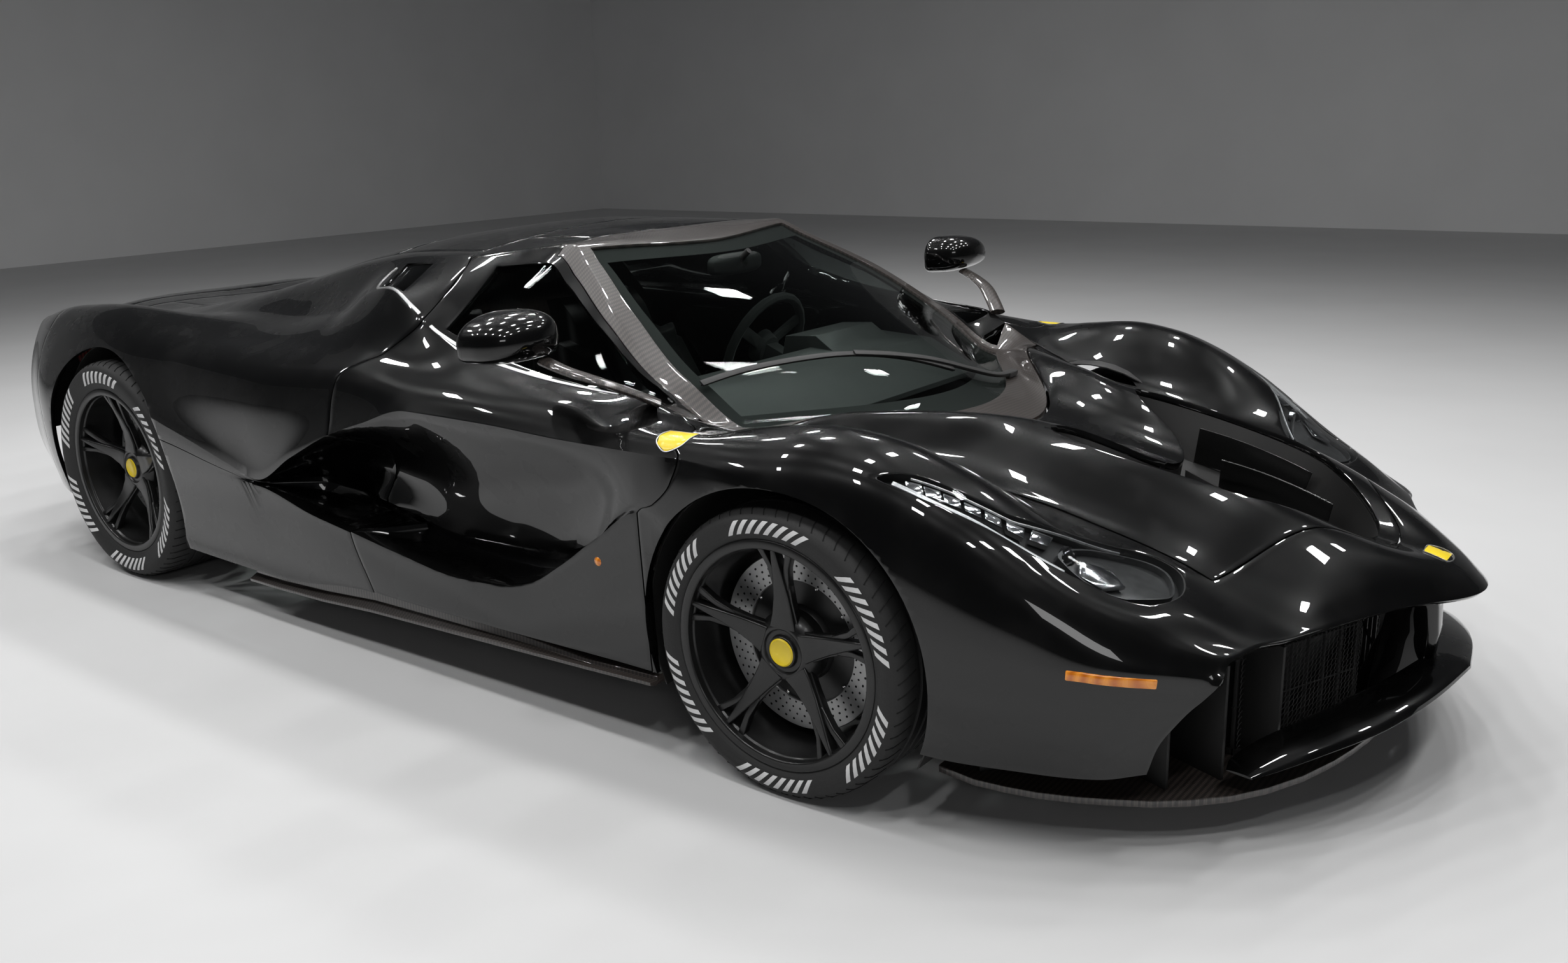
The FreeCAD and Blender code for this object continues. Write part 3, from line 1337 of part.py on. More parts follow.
def make_dashboard():
    low = RIDE_HEIGHT + 2 * TUB_FLOOR
    x = along(560)
    top = above(745)
    section = [
        (x, top - 40), (x + 60, top), (x + 250, top - 10), (x + 420, top - 90),
        (x + 420, above(SCUTTLE)), (x + 290, above(SCUTTLE)), (x + 120, top - 190), (x + 20, top - 170)]
    wide = DASH_HALF_WIDTH
    dash = slab([(px, -wide, pz) for px, pz in section], (0, 2 * wide, 0))
    hood = [(x - 50, top - 60), (x - 30, top + 28), (x + 80, top + 36), (x + 160, top - 15), (x + 60, top - 120)]
    binnacle = slab([(px, SEAT_SIDE - 150, pz) for px, pz in hood], (0, 300, 0))
    tunnel = [(x - 620, low), (x - 620, low + 180), (x - 150, low + 210), (x + 140, top - 150), (x + 140, low)]
    console = slab([(px, -75, pz) for px, pz in tunnel], (0, 150, 0))
    return largest(dash.multiFuse([binnacle, console]).removeSplitter())


def make_steering_wheel(dashboard):
    grip = []
    for k in range(8):
        angle = 2 * math.pi * k / 8
        grip.append((WHEEL_RADIUS + WHEEL_GRIP * math.cos(angle), WHEEL_GRIP * math.sin(angle)))
    ring = turned(grip, 24)
    pieces = [turned(((0, -18), (55, -18), (45, 22), (0, 22)), 16)]
    for angle in (0, 120, 240):
        spoke = block(-18, 18, -6, 6, 30, WHEEL_RADIUS)
        spoke.rotate(Vector(0, 0, 0), Vector(0, 1, 0), angle + 180)
        pieces.append(spoke)
    pieces.append(block(-25, 25, 10, 260, -25, 25))
    wheel = largest(ring.multiFuse(pieces))
    wheel.rotate(Vector(0, 0, 0), Vector(0, 0, 1), -90)
    wheel.rotate(Vector(0, 0, 0), Vector(0, 1, 0), 90 - WHEEL_RAKE)
    x, y, z = WHEEL_PLACE
    wheel.translate(Vector(along(x), y, above(z)))
    save("steering_wheel", largest(wheel.cut(dashboard.translated(Vector(-SEAL_GAP, 0, 0)))))


ENGINE_LENGTH = 640.0
ENGINE_WIDTH = 600.0
ENGINE_HEIGHT = 560.0


def make_engine():
    rear = along(CABIN_REAR)
    low = RIDE_HEIGHT + TUB_FLOOR
    half = ENGINE_WIDTH / 2
    save("engine", block(rear - ENGINE_LENGTH, rear, -half, half, low, low + ENGINE_HEIGHT))


# Wheels: outline of the half tyre as shares of its half width, radius taken inward from the tread
TYRE_OUTLINE = ((0.0, 0.0), (1.0, 0.55), (4.5, 0.80), (16.0, 0.93), (36.0, 1.0))
TYRE_BEAD = 0.90
TYRE_SEAT = 0.84
BEAD_GAP = 0.05
ROUND_FACETS = 36
HUB_FACETS = 20


def tyre(radius, width, rim_radius):
    half = width / 2
    tread = radius / math.cos(math.pi / ROUND_FACETS)
    outer = [(tread - drop, share * half) for drop, share in TYRE_OUTLINE]
    outer += [(rim_radius + RIM_FLANGE, TYRE_BEAD * half), (rim_radius, TYRE_SEAT * half)]
    profile = [(r, -y) for r, y in reversed(outer)] + outer[1:]
    return turned(profile, ROUND_FACETS)


def bar_section(radius, half_width, front, back, turn, shift=0.0):
    # a spoke's section at one radius, as four corners
    corners = []
    for side, offset in ((-1, front), (1, front), (1, back), (-1, back)):
        place = Vector(shift + side * half_width, offset, radius)
        angle = math.radians(turn)
        x = place.x * math.cos(angle) + place.z * math.sin(angle)
        z = place.z * math.cos(angle) - place.x * math.sin(angle)
        corners.append(Vector(x, place.y, z))
    return corners


def rim(rim_radius, width, face_dish):
    half = width / 2
    seat = TYRE_SEAT * half
    lip = TYRE_BEAD * half + BEAD_GAP
    r = rim_radius - BEAD_GAP
    bore = HUB_BORE_RADIUS / math.cos(math.pi / HUB_FACETS)
    outer = [(r, seat), (r + RIM_FLANGE, lip), (r + RIM_FLANGE, lip + 5), (r - RIM_WALL, lip + 5)]
    profile = [(a, -b) for a, b in reversed(outer)] + outer
    barrel = turned(profile, ROUND_FACETS)
    face = lip - face_dish
    hub_back = face - SPOKE_DEPTH - 24
    hub = turned((
        (bore, hub_back), (HUB_RADIUS + 22, hub_back), (HUB_RADIUS + 22, face - 20),
        (HUB_RADIUS - 8, face), (bore, face + 14), (0, face + 14), (0, face - 6), (bore, face - 6)), HUB_FACETS)
    pieces = [hub]
    fork = rim_radius * 0.62
    reach = rim_radius - RIM_WALL * 0.8
    for k in range(SPOKES):
        turn = 360 * k / SPOKES
        stem = [
            bar_section(HUB_RADIUS * 0.6, 34, face, face - SPOKE_DEPTH, turn),
            bar_section(fork, 21, face + face_dish * 0.4, face - SPOKE_DEPTH + face_dish * 0.3, turn),
            bar_section(fork * 1.15, 21, face + face_dish * 0.5, face - SPOKE_DEPTH + face_dish * 0.4, turn)]
        pieces.append(strut(stem))
        for side in (-1, 1):
            arm = [
                bar_section(fork * 0.94, 8, face + face_dish * 0.35, face - SPOKE_DEPTH * 0.8, turn, side * 12),
                bar_section(reach, 9, lip - 4, lip - 4 - SPOKE_DEPTH * 0.8, turn, side * 38)]
            pieces.append(strut(arm))
    return largest(barrel.multiFuse(pieces))


def disc(radius, hub_back):
    # brake disc and its bell, which meets the back of the wheel's hub
    half = DISC_THICKNESS / 2
    bore = HUB_BORE_RADIUS + 8
    bell = DISC_BORE_RADIUS + 14
    return turned((
        (bore, hub_back), (bell, hub_back), (bell, half), (radius, half), (radius, -half),
        (bell - 8, -half), (bell - 8, hub_back - 8), (bore, hub_back - 8)), ROUND_FACETS)


def caliper(radius, start, end, mid_turn):
    # block that straddles the disc between two angles
    inner = radius - 95
    outer = radius + CALIPER_DEPTH
    low = -DISC_THICKNESS / 2 - 24
    high = DISC_THICKNESS / 2 + 22
    sections = []
    steps = 5
    for k in range(steps + 1):
        angle = math.radians(mix(start, end, k / steps) + mid_turn)
        ring = []
        for r, y in ((inner, low), (outer, low), (outer, high), (inner, high)):
            ring.append(Vector(r * math.sin(angle), y, r * math.cos(angle)))
        sections.append(ring)
    body = strut(sections)
    slot = turned((
        (0, -DISC_THICKNESS / 2 - CALIPER_CLEARANCE), (radius + CALIPER_CLEARANCE, -DISC_THICKNESS / 2 - CALIPER_CLEARANCE),
        (radius + CALIPER_CLEARANCE, DISC_THICKNESS / 2 + CALIPER_CLEARANCE),
        (0, DISC_THICKNESS / 2 + CALIPER_CLEARANCE)), 36)
    return largest(body.cut(slot))


# End of the car: axle x, tyre radius, width, rim radius, half track, disc radius, dish, disc place
ENDS = {
    "front": (FRONT_AXLE, FRONT_TYRE_RADIUS, FRONT_TYRE_WIDTH, FRONT_RIM_RADIUS, FRONT_TRACK / 2,
              FRONT_DISC_RADIUS, 34.0, 5.0, 180.0),
    "rear": (REAR_AXLE, REAR_TYRE_RADIUS, REAR_TYRE_WIDTH, REAR_RIM_RADIUS, REAR_TRACK / 2,
             REAR_DISC_RADIUS, 50.0, 22.0, 0.0),
}


POST_TOP = 150.0
POST_LOW = -135.0
PAD_RADIUS = 22.0
PAD_HEIGHT = 26.0


def post_section(z, half_length, half_depth):
    y = -KINGPIN_INSET
    return [
        Vector(-half_length, y - half_depth, z), Vector(half_length, y - half_depth, z),
        Vector(half_length, y + half_depth, z), Vector(-half_length, y + half_depth, z)]


def upright_block(disc_place):
    # hub carrier in the wheel's own frame: bearing, stub axle and the post that carries the arms
    back = disc_place - DISC_THICKNESS / 2 - 10
    bearing = turned(((0, back - 60), (58, back - 60), (58, back), (0, back)), HUB_FACETS)
    post = strut([post_section(POST_LOW, 24, 15), post_section(0, 46, 22), post_section(POST_TOP, 22, 15)])
    return bearing, post, back


def wheel_set(end):
    axle, radius, width, rim_radius, half_track, disc_radius, dish, disc_place, turn = ENDS[end]
    face = TYRE_BEAD * width / 2 - dish
    hub_back = face - SPOKE_DEPTH - 24
    place = Vector(axle, half_track, radius)
    tyre_solid = tyre(radius, width, rim_radius).translated(place)
    rim_solid = rim(rim_radius, width, dish).translated(place)
    rotor = disc(disc_radius, hub_back - disc_place)
    rotor = rotor.translated(Vector(axle, half_track + disc_place, radius))
    return tyre_solid, rim_solid, rotor, place


def carrier(end):
    axle, radius, width, rim_radius, half_track, disc_radius, dish, disc_place, turn = ENDS[end]
    face = TYRE_BEAD * width / 2 - dish
    bearing, post, back = upright_block(disc_place)
    stub = turned(((0, back - 5), (STUB_RADIUS, back - 5), (STUB_RADIUS, face - 6 - STUB_CLEARANCE),
                   (0, face - 6 - STUB_CLEARANCE)), HUB_FACETS)
    grip = caliper(disc_radius, -32, 32, turn - 90)
    grip = grip.translated(Vector(0, disc_place, 0))
    side = -1 if turn > 90 else 1
    reach = disc_radius - 95
    bracket = block(min(side * 20, side * (reach + 10)), max(side * 20, side * (reach + 10)),
                    back - 50, back - 10, -45, 45)
    link = block(min(side * reach, side * (reach + 35)), max(side * reach, side * (reach + 35)),
                 back - 50, disc_place - DISC_THICKNESS / 2 - CALIPER_CLEARANCE - 2, -45, 45)
    solid = largest(bearing.multiFuse([post, stub, grip, bracket, link]))
    return solid.translated(Vector(axle, half_track, radius))


ARM_MOUNT = 400.0
ARM_SPREAD = 130.0
ARM_WIDTH = 26.0
ARM_HEIGHT = 18.0
FRAME_WIDTH = 46.0
FRAME_REACH = 25.0


def arms(end):
    # two wishbones, their pads at the kingpin and the subframe on one side
    axle, radius, width, rim_radius, half_track = ENDS[end][:5]
    joint = half_track - KINGPIN_INSET
    pieces = []
    for start, step, inner_rise in ((POST_TOP, 1, 120), (POST_LOW, -1, -110)):
        low = radius + start + step * SEAL_GAP
        pad = prism_ring(0, 0, PAD_RADIUS, 0, PAD_HEIGHT, 12)
        pad.rotate(Vector(0, 0, 0), Vector(1, 0, 0), 90)
        pad.translate(Vector(axle, joint, low if step > 0 else low - PAD_HEIGHT))
        pieces.append(pad)
        tip = (axle, joint - 12, low + step * (PAD_HEIGHT - ARM_HEIGHT / 2 - 2))
        for side in (-1, 1):
            root = (axle + side * ARM_SPREAD, ARM_MOUNT, radius + inner_rise)
            pieces.append(beam(root, tip, ARM_WIDTH, ARM_HEIGHT))
    reach = ARM_SPREAD + FRAME_REACH
    low = RIDE_HEIGHT + TUB_FLOOR
    high = radius + POST_TOP
    frame = block(axle - reach, axle + reach, ARM_MOUNT - FRAME_WIDTH, ARM_MOUNT, low, high)
    window = block(
        axle - reach + 45, axle + reach - 45, ARM_MOUNT - FRAME_WIDTH - 10, ARM_MOUNT + 10, low + 60, high - 50)
    return pieces + [frame.cut(window)]


def make_wheels():
    for end in ("front", "rear"):
        tyre_solid, rim_solid, rotor, place = wheel_set(end)
        for side in ("left", "right"):
            turn = flipped if side == "right" else (lambda shape: shape)
            save("tyre_" + end + "_" + side, turn(tyre_solid))
            save("rim_" + end + "_" + side, turn(rim_solid))
            save("disc_" + end + "_" + side, turn(rotor))
    front = carrier("front")
    save("knuckle_left", front)
    save("knuckle_right", flipped(front))


def subframe(end):
    # beams that tie both sides' frames together and stand on the floor
    axle = ENDS[end][0]
    reach = ARM_SPREAD + FRAME_REACH
    low = RIDE_HEIGHT + TUB_FLOOR
    width = ARM_MOUNT - FRAME_WIDTH
    spans = ((axle - reach, axle - reach + 45), (axle + reach - 45, axle + reach))
    return [block(start, stop, -width, width, low, low + 60) for start, stop in spans]


def make_front_suspension():
    side = arms("front")
    pieces = side + [flipped(piece) for piece in side] + subframe("front")
    save("front_suspension", largest(pieces[0].multiFuse(pieces[1:])))


GEARBOX_WIDTH = 300.0


def make_rear_suspension():
    side = arms("rear") + [carrier("rear")]
    axle, radius, width, rim_radius, half_track = ENDS["rear"][:5]
    shaft_end = (axle, half_track - KINGPIN_INSET, radius)
    side.append(beam((axle, GEARBOX_WIDTH / 2 - 10, radius + 20), shaft_end, 44, 44))
    front = along(CABIN_REAR) - ENGINE_LENGTH
    half = GEARBOX_WIDTH / 2
    gearbox = block(axle - 170, front, -half, half, RIDE_HEIGHT + TUB_FLOOR + 40, radius + 130)
    pieces = side + [flipped(piece) for piece in side] + subframe("rear") + [gearbox]
    save("rear_suspension", largest(pieces[0].multiFuse(pieces[1:])))


# Mirrors and wiper
MIRROR_PLACE = (660.0, 985.0, 940.0)
MIRROR_LENGTH = 150.0
MIRROR_WIDTH = 230.0
MIRROR_HEIGHT = 135.0
MIRROR_ROOT = (905.0, 800.0, 792.0)
MIRROR_SHAPE = ((-0.5, 0.82), (-0.47, 0.93), (-0.2, 1.0), (0.15, 0.9), (0.38, 0.62), (0.5, 0.25))


MIRROR_ROOT_BITE = 42.0


def make_mirrors(door):
    # door is the left door, which the stalk's foot fits against
    sections = []
    for place, share in MIRROR_SHAPE:
        ring = []
        for k in range(12):
            angle = 2 * math.pi * (k + 0.5) / 12
            ring.append(Vector(
                along(MIRROR_PLACE[0]) + place * MIRROR_LENGTH,
                across(MIRROR_PLACE[1]) + share * MIRROR_WIDTH / 2 * math.cos(angle),
                above(MIRROR_PLACE[2]) + share * MIRROR_HEIGHT / 2 * math.sin(angle)))
        sections.append(ring)
    shell = strut(sections)
    root = Vector(along(MIRROR_ROOT[0]), across(MIRROR_ROOT[1]), above(MIRROR_ROOT[2]))
    bend = Vector(along(800), across(915), above(852))
    head = Vector(along(MIRROR_PLACE[0]) + 10, across(MIRROR_PLACE[1]) - 50, above(MIRROR_PLACE[2]) - 52)
    root = root.add(direction(bend, root) * MIRROR_ROOT_BITE)
    stalk = [beam(root, bend, 34, 16), beam(bend.add(direction(bend, root) * 8), head, 34, 16)]
    mirror = largest(shell.multiFuse(stalk).cut(door.translated(Vector(0, SEAL_GAP, SEAL_GAP))))
    save("mirror_left", mirror)
    save("mirror_right", flipped(mirror))


WIPER_PIVOT = (9.14, 0.75)
WIPER_TIP = (8.86, -0.62)
WIPER_LIFT = 8.0


def make_wiper(frame):
    # frame is the windscreen frame, which the wiper's foot fits against
    steps = even(8)
    pivot_row, pivot_line = WIPER_PIVOT
    tip_row, tip_line = WIPER_TIP
    points = []
    for t in steps:
        bow = 0.10 * math.sin(math.pi * t)
        points.append(skin_point((mix(pivot_row, tip_row, t) + bow * 0.3, mix(pivot_line, tip_line, t)), -WIPER_LIFT - 8))
    pieces = []
    for a, b in zip(points[:-1], points[1:]):
        reach = direction(a, b) * 6
        pieces.append(beam(a.sub(reach), b.add(reach), 12, 10))
    base = skin_point(WIPER_PIVOT, -WIPER_LIFT / 2)
    foot = block(base.x - 20, base.x + 20, base.y - 20, base.y + 20, base.z - 8, base.z + 14)
    save("wiper", largest(pieces[0].multiFuse(pieces[1:] + [foot]).cut(frame.translated(Vector(0, 0, SEAL_GAP)))))


os.makedirs("parts", exist_ok=True)
front_lid = make_front_lid()
make_front_clam(front_lid)
screen_frame = make_screen_frame()
save("screen_frame", screen_frame)
make_fixed_glass()
make_roof()
left_door = make_doors()
make_door_glass()
make_mirrors(left_door)
engine_cover = make_engine_cover()
make_rear_clam(engine_cover)
make_rear_wing()
make_side_sills()
make_lamps()
make_front_aero()
make_grilles()
make_rear_fascia()
make_exhausts()
make_diffuser()
make_tub(screen_frame)
make_underbody()
make_seats()
dashboard = make_dashboard()
save("dashboard", dashboard)
make_steering_wheel(dashboard)
make_engine()
make_wheels()
make_front_suspension()
make_rear_suspension()
make_wiper(screen_frame)
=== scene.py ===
import math
import json
import bmesh
import bpy
import numpy as np
from mathutils import Matrix, Vector
from mathutils.geometry import delaunay_2d_cdt


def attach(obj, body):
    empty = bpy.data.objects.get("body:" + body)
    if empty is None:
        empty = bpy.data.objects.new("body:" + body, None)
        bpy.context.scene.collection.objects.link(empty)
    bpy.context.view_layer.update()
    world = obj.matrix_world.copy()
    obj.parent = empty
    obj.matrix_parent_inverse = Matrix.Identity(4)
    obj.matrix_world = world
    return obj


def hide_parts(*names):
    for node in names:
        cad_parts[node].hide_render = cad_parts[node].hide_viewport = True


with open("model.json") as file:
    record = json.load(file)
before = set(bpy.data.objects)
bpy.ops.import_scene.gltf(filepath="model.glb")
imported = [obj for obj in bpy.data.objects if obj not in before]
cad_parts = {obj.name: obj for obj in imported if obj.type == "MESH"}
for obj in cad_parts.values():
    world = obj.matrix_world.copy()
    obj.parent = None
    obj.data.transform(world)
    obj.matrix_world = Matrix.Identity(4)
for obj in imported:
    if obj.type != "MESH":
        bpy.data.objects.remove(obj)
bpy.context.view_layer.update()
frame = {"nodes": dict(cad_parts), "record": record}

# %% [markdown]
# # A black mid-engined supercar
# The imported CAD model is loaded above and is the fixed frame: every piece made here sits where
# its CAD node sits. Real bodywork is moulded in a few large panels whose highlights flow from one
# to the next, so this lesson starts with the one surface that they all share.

nodes = frame["nodes"]
LENGTH_SHIFT = 139.0
FRONT_AXLE, REAR_AXLE = 1325.0, -1325.0
SIDES = {"left": 1, "right": -1}


def place(x, y, z):
    """A point of the drawing in mm (x from the middle of the wheelbase) as frame metres."""
    return Vector(((x - LENGTH_SHIFT) / 1000, y / 1000, z / 1000))


def metres(points):
    """An array of such points as frame metres."""
    return (points - np.array([LENGTH_SHIFT, 0, 0])) / 1000


# %% [markdown]
# ## The body surface
# Designers draw a car as a handful of long lines: roof middle, ridge, belt, crest, shoulder, waist
# and so on down to the sill. The same lines as in the CAD source are used, but sampled much more
# finely, so that reflections run smoothly. A monotone cubic goes through each line's points, and
# a Hermite arc joins line to line; a roundness of 0 keeps a sharp crease.

# %% Sections and body lines
SECTIONS = (
    (-2212, -2200, -2180, -2130, -2040, -2040), (-2100, -2095, -2080, -2030, -1940, -1940),
    (-1720, -1720, -1720, -1715, -1700, -1700), (-1325,) * 6, (-900,) * 6, (-480,) * 6, (-100,) * 6,
    (371, 300, 260, 240, 230, 230), (830, 650, 600, 590, 580, 580), (1300, 985, 950, 940, 930, 930),
    (1640, 1420, 1340, 1330, 1325, 1325), (2040, 1890, 1790, 1740, 1690, 1690),
    (2340, 2220, 2105, 2040, 1995, 1950), (2490, 2370, 2250, 2200, 2185, 2060))

LINES = (
    ("mid", (
        (-2212, 0, 770), (-2120, 0, 800), (-1900, 0, 792), (-1500, 0, 812), (-1200, 0, 865),
        (-900, 0, 950), (-600, 0, 1035), (-350, 0, 1088), (-50, 0, 1116), (150, 0, 1114),
        (371, 0, 1083), (600, 0, 1000), (850, 0, 895), (1100, 0, 778), (1300, 0, 682),
        (1600, 0, 640), (1839, 0, 594), (2150, 0, 520), (2294, 0, 488), (2395, 0, 474),
        (2450, 0, 448), (2490, 0, 415))),
    ("ridge", (
        (-2200, 420, 765), (-2100, 420, 795), (-1700, 430, 800), (-1325, 450, 850),
        (-900, 470, 930), (-500, 520, 1010), (-250, 560, 1045), (-100, 575, 1055),
        (50, 585, 1062), (200, 520, 1080), (300, 450, 1092), (400, 493, 1044),
        (600, 597, 936), (800, 655, 805), (985, 646, 700), (1200, 485, 738),
        (1400, 334, 733), (1600, 236, 709), (1800, 241, 674), (2000, 225, 627),
        (2220, 215, 540), (2330, 232, 470), (2370, 245, 422))),
    ("belt", (
        (-2180, 600, 760), (-1700, 610, 800), (-1325, 620, 820), (-1059, 600, 845),
        (-700, 640, 860), (-400, 690, 900), (-250, 705, 960), (-100, 740, 985),
        (41, 785, 950), (168, 812, 893), (341, 825, 845), (525, 825, 820),
        (700, 818, 805), (850, 805, 795), (950, 770, 760), (1100, 690, 715),
        (1340, 560, 672), (1600, 505, 625), (1790, 480, 580), (2000, 480, 525),
        (2150, 482, 462), (2250, 485, 418))),
    ("crest", (
        (-2130, 730, 775), (-1775, 790, 838), (-1419, 790, 862), (-1100, 785, 845),
        (-751, 790, 820), (-400, 820, 830), (-100, 855, 850), (150, 875, 820),
        (400, 885, 805), (700, 880, 790), (930, 850, 765), (1060, 825, 745),
        (1202, 815, 771), (1369, 800, 789), (1490, 785, 776), (1645, 765, 724),
        (1828, 755, 618), (1960, 720, 533), (2060, 690, 492), (2150, 650, 445),
        (2200, 620, 422))),
    ("shoulder", (
        (-2080, 810, 720), (-1787, 880, 770), (-1325, 905, 800), (-900, 920, 780),
        (-500, 930, 780), (-100, 938, 775), (400, 940, 765), (900, 925, 745),
        (1060, 910, 745), (1325, 905, 752), (1500, 890, 730), (1690, 870, 660),
        (1850, 845, 560), (1990, 800, 480), (2085, 755, 437), (2185, 690, 412))),
    ("waist", (
        (-2040, 862, 600), (-1700, 965, 610), (-1325, 985, 640), (-900, 993, 560),
        (-600, 992, 490), (-470, 988, 459), (-284, 990, 546), (-104, 985, 630),
        (48, 984, 680), (223, 975, 729), (489, 965, 727), (751, 957, 718),
        (970, 950, 716), (1088, 942, 714), (1325, 952, 690), (1500, 940, 630),
        (1690, 918, 540), (1850, 880, 470), (1995, 828, 420), (2170, 715, 392))),
    ("belly", (
        (-2040, 870, 540), (-1700, 970, 560), (-1325, 990, 580), (-900, 994, 530),
        (-600, 992, 480), (-475, 980, 457), (-380, 850, 470), (-250, 800, 500),
        (-100, 815, 520), (100, 840, 530), (360, 872, 540), (600, 880, 560),
        (800, 905, 590), (930, 942, 610), (970, 948, 620), (1088, 950, 660),
        (1325, 957, 640), (1500, 948, 560), (1690, 925, 480), (1850, 885, 430),
        (1995, 832, 390), (2155, 720, 355))),
    ("inner", (
        (-2040, 872, 480), (-1700, 970, 500), (-1325, 990, 520), (-900, 994, 500),
        (-600, 991, 468), (-478, 976, 454), (-380, 800, 440), (-250, 780, 440),
        (-100, 845, 425), (50, 842, 400), (205, 832, 372), (440, 830, 380),
        (620, 850, 405), (760, 885, 460), (900, 932, 565), (970, 946, 600),
        (1088, 953, 610), (1325, 958, 580), (1500, 950, 500), (1690, 928, 420),
        (1850, 887, 380), (1995, 833, 355), (2140, 726, 325))),
    ("channel", (
        (-2040, 872, 420), (-1700, 968, 440), (-1325, 988, 460), (-900, 993, 470),
        (-600, 989, 455), (-480, 974, 449), (-380, 800, 415), (-250, 780, 400),
        (-100, 800, 390), (50, 805, 365), (205, 800, 340), (440, 795, 335),
        (620, 820, 370), (760, 865, 435), (900, 928, 550), (970, 944, 590),
        (1088, 954, 570), (1325, 957, 500), (1500, 949, 440), (1690, 928, 370),
        (1850, 886, 330), (1995, 832, 310), (2115, 730, 290))),
    ("ledge", (
        (-2040, 865, 350), (-1700, 962, 360), (-1325, 982, 400), (-900, 990, 430),
        (-600, 988, 443), (-478, 985, 443), (-226, 976, 391), (-75, 968, 366),
        (108, 957, 334), (334, 948, 307), (475, 940, 313), (589, 935, 341),
        (693, 934, 402), (826, 937, 496), (961, 942, 575), (1088, 950, 520),
        (1325, 955, 420), (1500, 946, 370), (1690, 925, 310), (1850, 882, 275),
        (1995, 828, 260), (2090, 733, 250))),
    ("sill", (
        (-2040, 840, 260), (-1700, 940, 220), (-1325, 960, 180), (-939, 952, 160),
        (-490, 950, 154), (-24, 955, 200), (500, 945, 199), (962, 930, 198),
        (1325, 930, 190), (1690, 905, 180), (1850, 862, 178), (1995, 800, 176),
        (2060, 735, 178))),
)
RIDGE, BELT, CREST, SHOULDER, WAIST, BELLY, INNER, CHANNEL, LEDGE, SILL = range(1, 11)
ROUNDNESS = {
    RIDGE: ((0, 1.0), (4, 0.7), (6, 0.3), (9, 0.0), (9.5, 0.8), (13, 1.0)),
    BELT: ((0, 1.0), (4, 0.8), (5.5, 0.2), (9, 0.2), (10, 1.0), (13, 1.0)),
    WAIST: ((0, 1.0), (2.5, 1.0), (4.5, 0.0), (9.3, 0.0), (10, 1.0), (13, 1.0)),
    INNER: ((0, 1.0), (4.5, 1.0), (5.5, 0.0), (9, 0.0), (10, 1.0), (13, 1.0)),
    LEDGE: ((0, 1.0), (3, 0.8), (4.8, 0.0), (9.2, 0.0), (10, 0.9), (13, 1.0)),
}
print(len(LINES), "body lines,", len(SECTIONS), "sections")

# %% Curves through the points
LAST_LINE = len(LINES) - 1
LAST_ROW = len(SECTIONS) - 1


def knot_slopes(xs, ys):
    """Slopes that never let the curve swing past its points."""
    secants = np.diff(ys) / np.diff(xs)
    slopes = [secants[0]]
    for i in range(1, len(xs) - 1):
        left, right = secants[i - 1], secants[i]
        before, after = xs[i] - xs[i - 1], xs[i + 1] - xs[i]
        if left * right <= 0:
            slopes.append(0.0)
        else:
            slopes.append(3 * (before + after) / ((2 * after + before) / left + (after + 2 * before) / right))
    return np.array(slopes + [secants[-1]])


class Curve:
    def __init__(self, xs, ys):
        self.xs, self.ys = np.array(xs, float), np.array(ys, float)
        self.slopes = knot_slopes(self.xs, self.ys)

    def at(self, x):
        x = np.clip(np.asarray(x, float), self.xs[0], self.xs[-1])
        i = np.clip(np.searchsorted(self.xs, x, side="right") - 1, 0, len(self.xs) - 2)
        step = self.xs[i + 1] - self.xs[i]
        t = (x - self.xs[i]) / step
        ends = self.ys[i] * (1 + 2 * t) * (1 - t) ** 2 + self.ys[i + 1] * t * t * (3 - 2 * t)
        rise = self.slopes[i] * t * (1 - t) ** 2 - self.slopes[i + 1] * t * t * (1 - t)
        return ends + step * rise


def table_curve(table):
    return Curve([row[0] for row in table], [row[1] for row in table])


rows_of_sections = range(len(SECTIONS))
section_x = [Curve(rows_of_sections, [row[k] for row in SECTIONS]) for k in range(6)]
line_width = [Curve([p[0] for p in points], [p[1] for p in points]) for _, points in LINES]
line_height = [Curve([p[0] for p in points], [p[2] for p in points]) for _, points in LINES]
roundness = {line: table_curve(table) for line, table in ROUNDNESS.items()}


def line_points(line, rows):
    """Points of one body line, on the car's left, as an array of x, y, z in mm."""
    if line <= CREST:
        x = section_x[line].at(rows)
    else:
        low = max(0.0, (line - WAIST) / (SILL - WAIST))
        x = section_x[4].at(rows) * (1 - low) + section_x[5].at(rows) * low
    return np.stack([x, line_width[line].at(x), line_height[line].at(x)], axis=-1)


def unit(v):
    return v / np.maximum(np.linalg.norm(v, axis=-1, keepdims=True), 1e-9)


def tangents(before, point, after, amount, outgoing):
    a = np.linalg.norm(point - before, axis=-1, keepdims=True)
    b = np.linalg.norm(after - point, axis=-1, keepdims=True)
    smooth = unit((point - before) * (b / np.maximum(a, 1e-9)) + (after - point) * (a / np.maximum(b, 1e-9)))
    own = unit(after - point) if outgoing else unit(point - before)
    amount = np.asarray(amount)[:, None]
    return unit(own * (1 - amount) + smooth * amount)


def rounding(line, rows):
    return roundness[line].at(rows) if line in roundness else np.ones(len(rows))


MIRROR = np.array([1.0, -1.0, 1.0])


